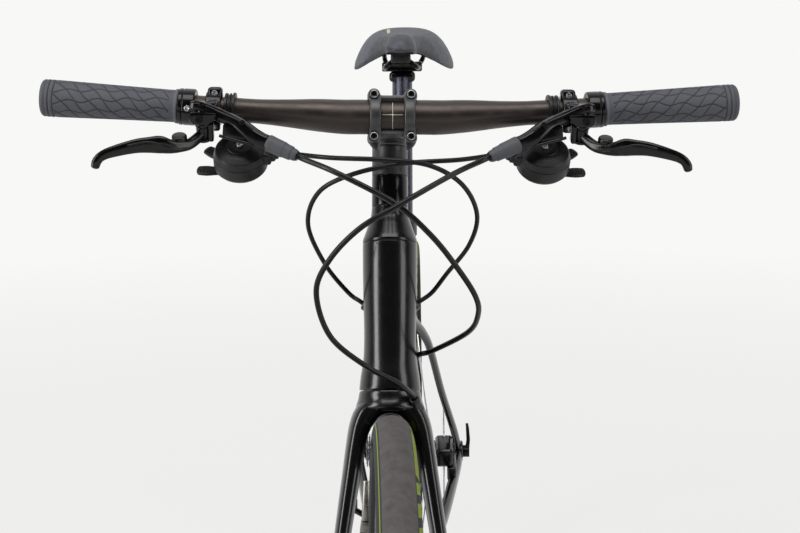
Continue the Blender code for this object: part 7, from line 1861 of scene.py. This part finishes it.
def saddle_ring(share):
    """A section through the pad: over the top, round one lip, back under, and round the other lip."""
    ring = [saddle_point(share, math.sin(math.pi / 2 * (k / 24 - 1)), 0.0) for k in range(49)]
    under = [saddle_underside(share, 0.9 * math.sin(math.pi / 2 * (1 - k / 10))) for k in range(21)]
    reach = min(0.0085, saddle_half_width(share) * 0.2)
    lip = []
    ahead, behind = (ring[-1] - ring[-2]).normalized() * reach, (under[1] - under[0]).normalized() * reach
    for t in (0.14, 0.28, 0.42, 0.56, 0.7, 0.84):
        near, far = ring[-1] + ahead, under[0] - behind
        lip.append(ring[-1] * (1 - t) ** 3 + near * 3 * t * (1 - t) ** 2 + far * 3 * t**2 * (1 - t) + under[0] * t**3)
    ring += lip + under + [sided(point, -1) for point in reversed(lip)]
    rounding = min(max(share / 0.11, 0.0), 1.0)
    swell = 0.16 + 0.84 * math.sqrt(1 - (1 - rounding) ** 2)
    middle = Vector((0.0, ring[0].y, ring[24].z - 0.017))
    ring = [middle + (point - middle) * swell for point in ring]
    if share > 0.95:
        level = math.sqrt(max(0.06, 1 - ((share - 0.95) / 0.05) ** 2))
        for k in range(49, len(ring)):
            top = saddle_point(share, min(max(ring[k].x / saddle_half_width(share), -1.0), 1.0), 0.0)
            ring[k].z = top.z + (ring[k].z - top.z) * level
    return ring


def saddle_tone(share, k):
    """How light the cover is printed: a darker field low on each flank, and the dark underside."""
    if k > 50:
        return 0.1
    across = abs(math.sin(math.pi / 2 * (k / 24 - 1)))
    flank = min(max((across - 0.62) / 0.03, 0.0), 1.0) * min(max((0.6 - share) / 0.02, 0.0), 1.0)
    flank *= min(max((share - 0.14) / 0.02, 0.0), 1.0)
    front = min(max((0.14 - share) / 0.02, 0.0), 1.0)
    return 0.52 - 0.3 * flank - 0.08 * front


def make_saddle():
    """A padded cover with a blunt nose, rounded wings and darker flanks, drawn over its shell."""
    shares = [0.1 * (1 - math.cos(math.pi / 2 * k / 12)) for k in range(12)]
    shares += [0.1 + 0.85 * k / 50 for k in range(50)]
    shares += [0.95 + 0.05 * math.sin(math.pi / 2 * k / 8) for k in range(9)]
    rings = [saddle_ring(share) for share in shares]
    cover = skin("saddle_cover", rings, sharp=70.0)
    tone = cover.data.attributes.new("tone", "FLOAT", "POINT")
    width = len(rings[0])
    for i, item in enumerate(tone.data):
        item.value = saddle_tone(shares[i // width], i % width)
    finished(cover, VINYL, "seat", "saddle_cushion")
    make_saddle_shell()
    refined("saddle_clamp", ENAMEL, "seat", 0.001)
    spot = saddle_point(0.6, -0.38, -0.0003)
    tag = block("saddle_side_tag", (0.0042, 0.0012, 0.0085), spot + UP * 0.0006, 0.0004)
    finished(tag, CAP_PLASTIC, "seat")


def make_saddle_shell():
    """The thin shell under the pad, with a socket for the rails at the nose and two at the tail."""
    rings = []
    for k in range(49):
        share = 0.045 + 0.92 * k / 48
        under = [saddle_underside(share, 0.9 * (i / 12 - 1)) for i in range(25)]
        rings.append([point + Vector((0.0, 0.0, 0.001)) for point in under]
                     + [point - Vector((0.0, 0.0, 0.0016)) for point in reversed(under)])
    parts = [skin("shell", rings),
             block("nose_socket", (0.026, 0.013, 0.012), Vector((0.0, 0.2065, 0.972)), 0.003, 4)]
    for side in (-1, 1):
        spot = Vector((side * 0.0287, 0.4002, 0.978))
        parts.append(block("tail_socket", (0.014, 0.02, 0.013), spot, 0.003, 4))
    finished(merged("saddle_shell_finished", parts), NYLON, "seat", "saddle_shell")


def make_rails():
    tail = Vector((0.0287, 0.4002, 0.9735))
    side = [
        tail, tail + Vector((-0.0008, 0.0, -0.006)), Vector((0.026, 0.3715, 0.9632)),
        Vector((0.022, CLAMP_Y + 0.05, RAIL_HEIGHT)), Vector((0.022, CLAMP_Y - 0.045, RAIL_HEIGHT)),
        Vector((0.015, CLAMP_Y - 0.068, 0.964)), Vector((0.008, 0.2145, 0.969)),
    ]
    route = side + [Vector((0.0, 0.2055, 0.969))] + [sided(point, -1) for point in reversed(side)]
    rails = pipe("saddle_rails_finished", route_through(route, 0.004), 0.0035, 24)
    finished(rails, RAIL_STEEL, "seat", "saddle_rails")


def make_seatpost():
    top = (RAIL_HEIGHT - 0.0165 - BB_CENTRE.z) / SEAT_AXIS.z
    outline = [(top, 0.0), (top, SEATPOST_RADIUS), (SEAT_TUBE_LENGTH - 0.11, SEATPOST_RADIUS),
               (SEAT_TUBE_LENGTH - 0.11, 0.0)]
    head = Vector((0.0, CLAMP_Y, RAIL_HEIGHT - 0.0135))
    tube = revolved("seatpost_finished", outline, BB_CENTRE, SEAT_AXIS, 64, soft=0.0006)
    finished(tube, POST_ALLOY, "seat", "seatpost")
    finished(block("seatpost_head", (0.035, 0.034, 0.014), head, 0.005, 5), ENAMEL, "seat")
    spots = [facing(head + Vector((0.0, y, -0.0068)), Vector((0.0, 0.0, -1.0))) for y in (0.0125, -0.0125)]
    repeated("saddle_clamp_bolts", socket_bolt(0.0036, 0.004), spots, BLACK_STEEL, "seat")


# Studio


def make_floor():
    bm = bmesh.new()
    bmesh.ops.create_grid(bm, x_segments=2, y_segments=2, size=60.0)
    floor = from_bmesh("studio_floor", bm)
    floor.data.materials.append(pale_floor())
    return floor


def make_light(name, place, target, size, power):
    data = bpy.data.lights.new(name, "AREA")
    data.shape = "RECTANGLE"
    data.size, data.size_y = size
    data.energy = power
    light = bpy.data.objects.new(name, data)
    back = (Vector(place) - Vector(target)).normalized()
    light.matrix_world = facing(Vector(place), back)
    bpy.context.scene.collection.objects.link(light)


def make_world():
    """White for the camera and behind the bicycle in reflections; a dim room in front of it, and soft light."""
    world = bpy.data.worlds.new("studio")
    bpy.context.scene.world = world
    world.use_nodes = True
    tree = world.node_tree
    tree.nodes.clear()
    rays = add(tree, "ShaderNodeLightPath").outputs
    seen = add(tree, "ShaderNodeMath", {0: rays["Is Camera Ray"], 1: rays["Is Transmission Ray"]}, operation="MAXIMUM")
    way = add(tree, "ShaderNodeSeparateXYZ", {"Vector": add(tree, "ShaderNodeTexCoord").outputs["Generated"]})
    behind = add(tree, "ShaderNodeMapRange", {0: way.outputs["Y"], 1: -0.05, 2: 0.4, 3: 0.05, 4: 1.0})
    mirrored = add(tree, "ShaderNodeMath", {0: rays["Is Glossy Ray"], 1: behind}, operation="MULTIPLY")
    soft = add(tree, "ShaderNodeMath", {0: rays["Is Diffuse Ray"], 1: 0.22}, operation="MULTIPLY")
    light = add(tree, "ShaderNodeMath", {0: mirrored, 1: soft}, operation="MAXIMUM")
    level = add(tree, "ShaderNodeMath", {0: seen, 1: light}, operation="MAXIMUM")
    sky = add(tree, "ShaderNodeBackground", {"Color": "#f8f8f7", "Strength": level})
    add(tree, "ShaderNodeOutputWorld", {"Surface": sky})


make_camera()
make_hoses()
make_frame()
make_seat_collar()
make_bottle_bosses()
make_fork()
make_headset()
make_stem()
make_faceplate()
make_handlebar()
make_bar_marks()
for hand, side in (("left", 1), ("right", -1)):
    make_grip(side, f"grip_{hand}")
    make_brake_body(side, f"brake_body_{hand}")
    make_brake_lever(side, f"brake_lever_{hand}")
    make_shifter(side, f"shifter_{hand}")
    make_trigger(side, f"shift_lever_{hand}", 0, 0.043, math.radians(38.0))
    make_trigger(side, f"release_lever_{hand}", 1, 0.041, math.radians(2.0))
make_wheels()
make_brakes_and_axles()
chain_places, tooth_phases = chain_pins()
make_chain(chain_places)
make_rings(tooth_phases)
make_pulleys(tooth_phases)
make_crank(-1, AHEAD, "crank_drive")
make_crank(1, BACK, "crank_left")
make_pedals()
make_derailleurs()
make_saddle()
make_rails()
make_seatpost()
floor = make_floor()
make_light("left_soft_light", (-2.3, -1.5, 1.5), (0.0, -0.2, 0.7), (0.8, 2.4), 52.0)
make_light("right_soft_light", (2.3, -1.5, 1.5), (0.0, -0.2, 0.7), (0.9, 2.4), 24.0)
make_light("top_soft_light", (0.0, -1.1, 2.9), (0.0, -0.2, 0.7), (2.4, 1.2), 40.0)
make_world()
bpy.context.scene.view_settings.view_transform = "Standard"
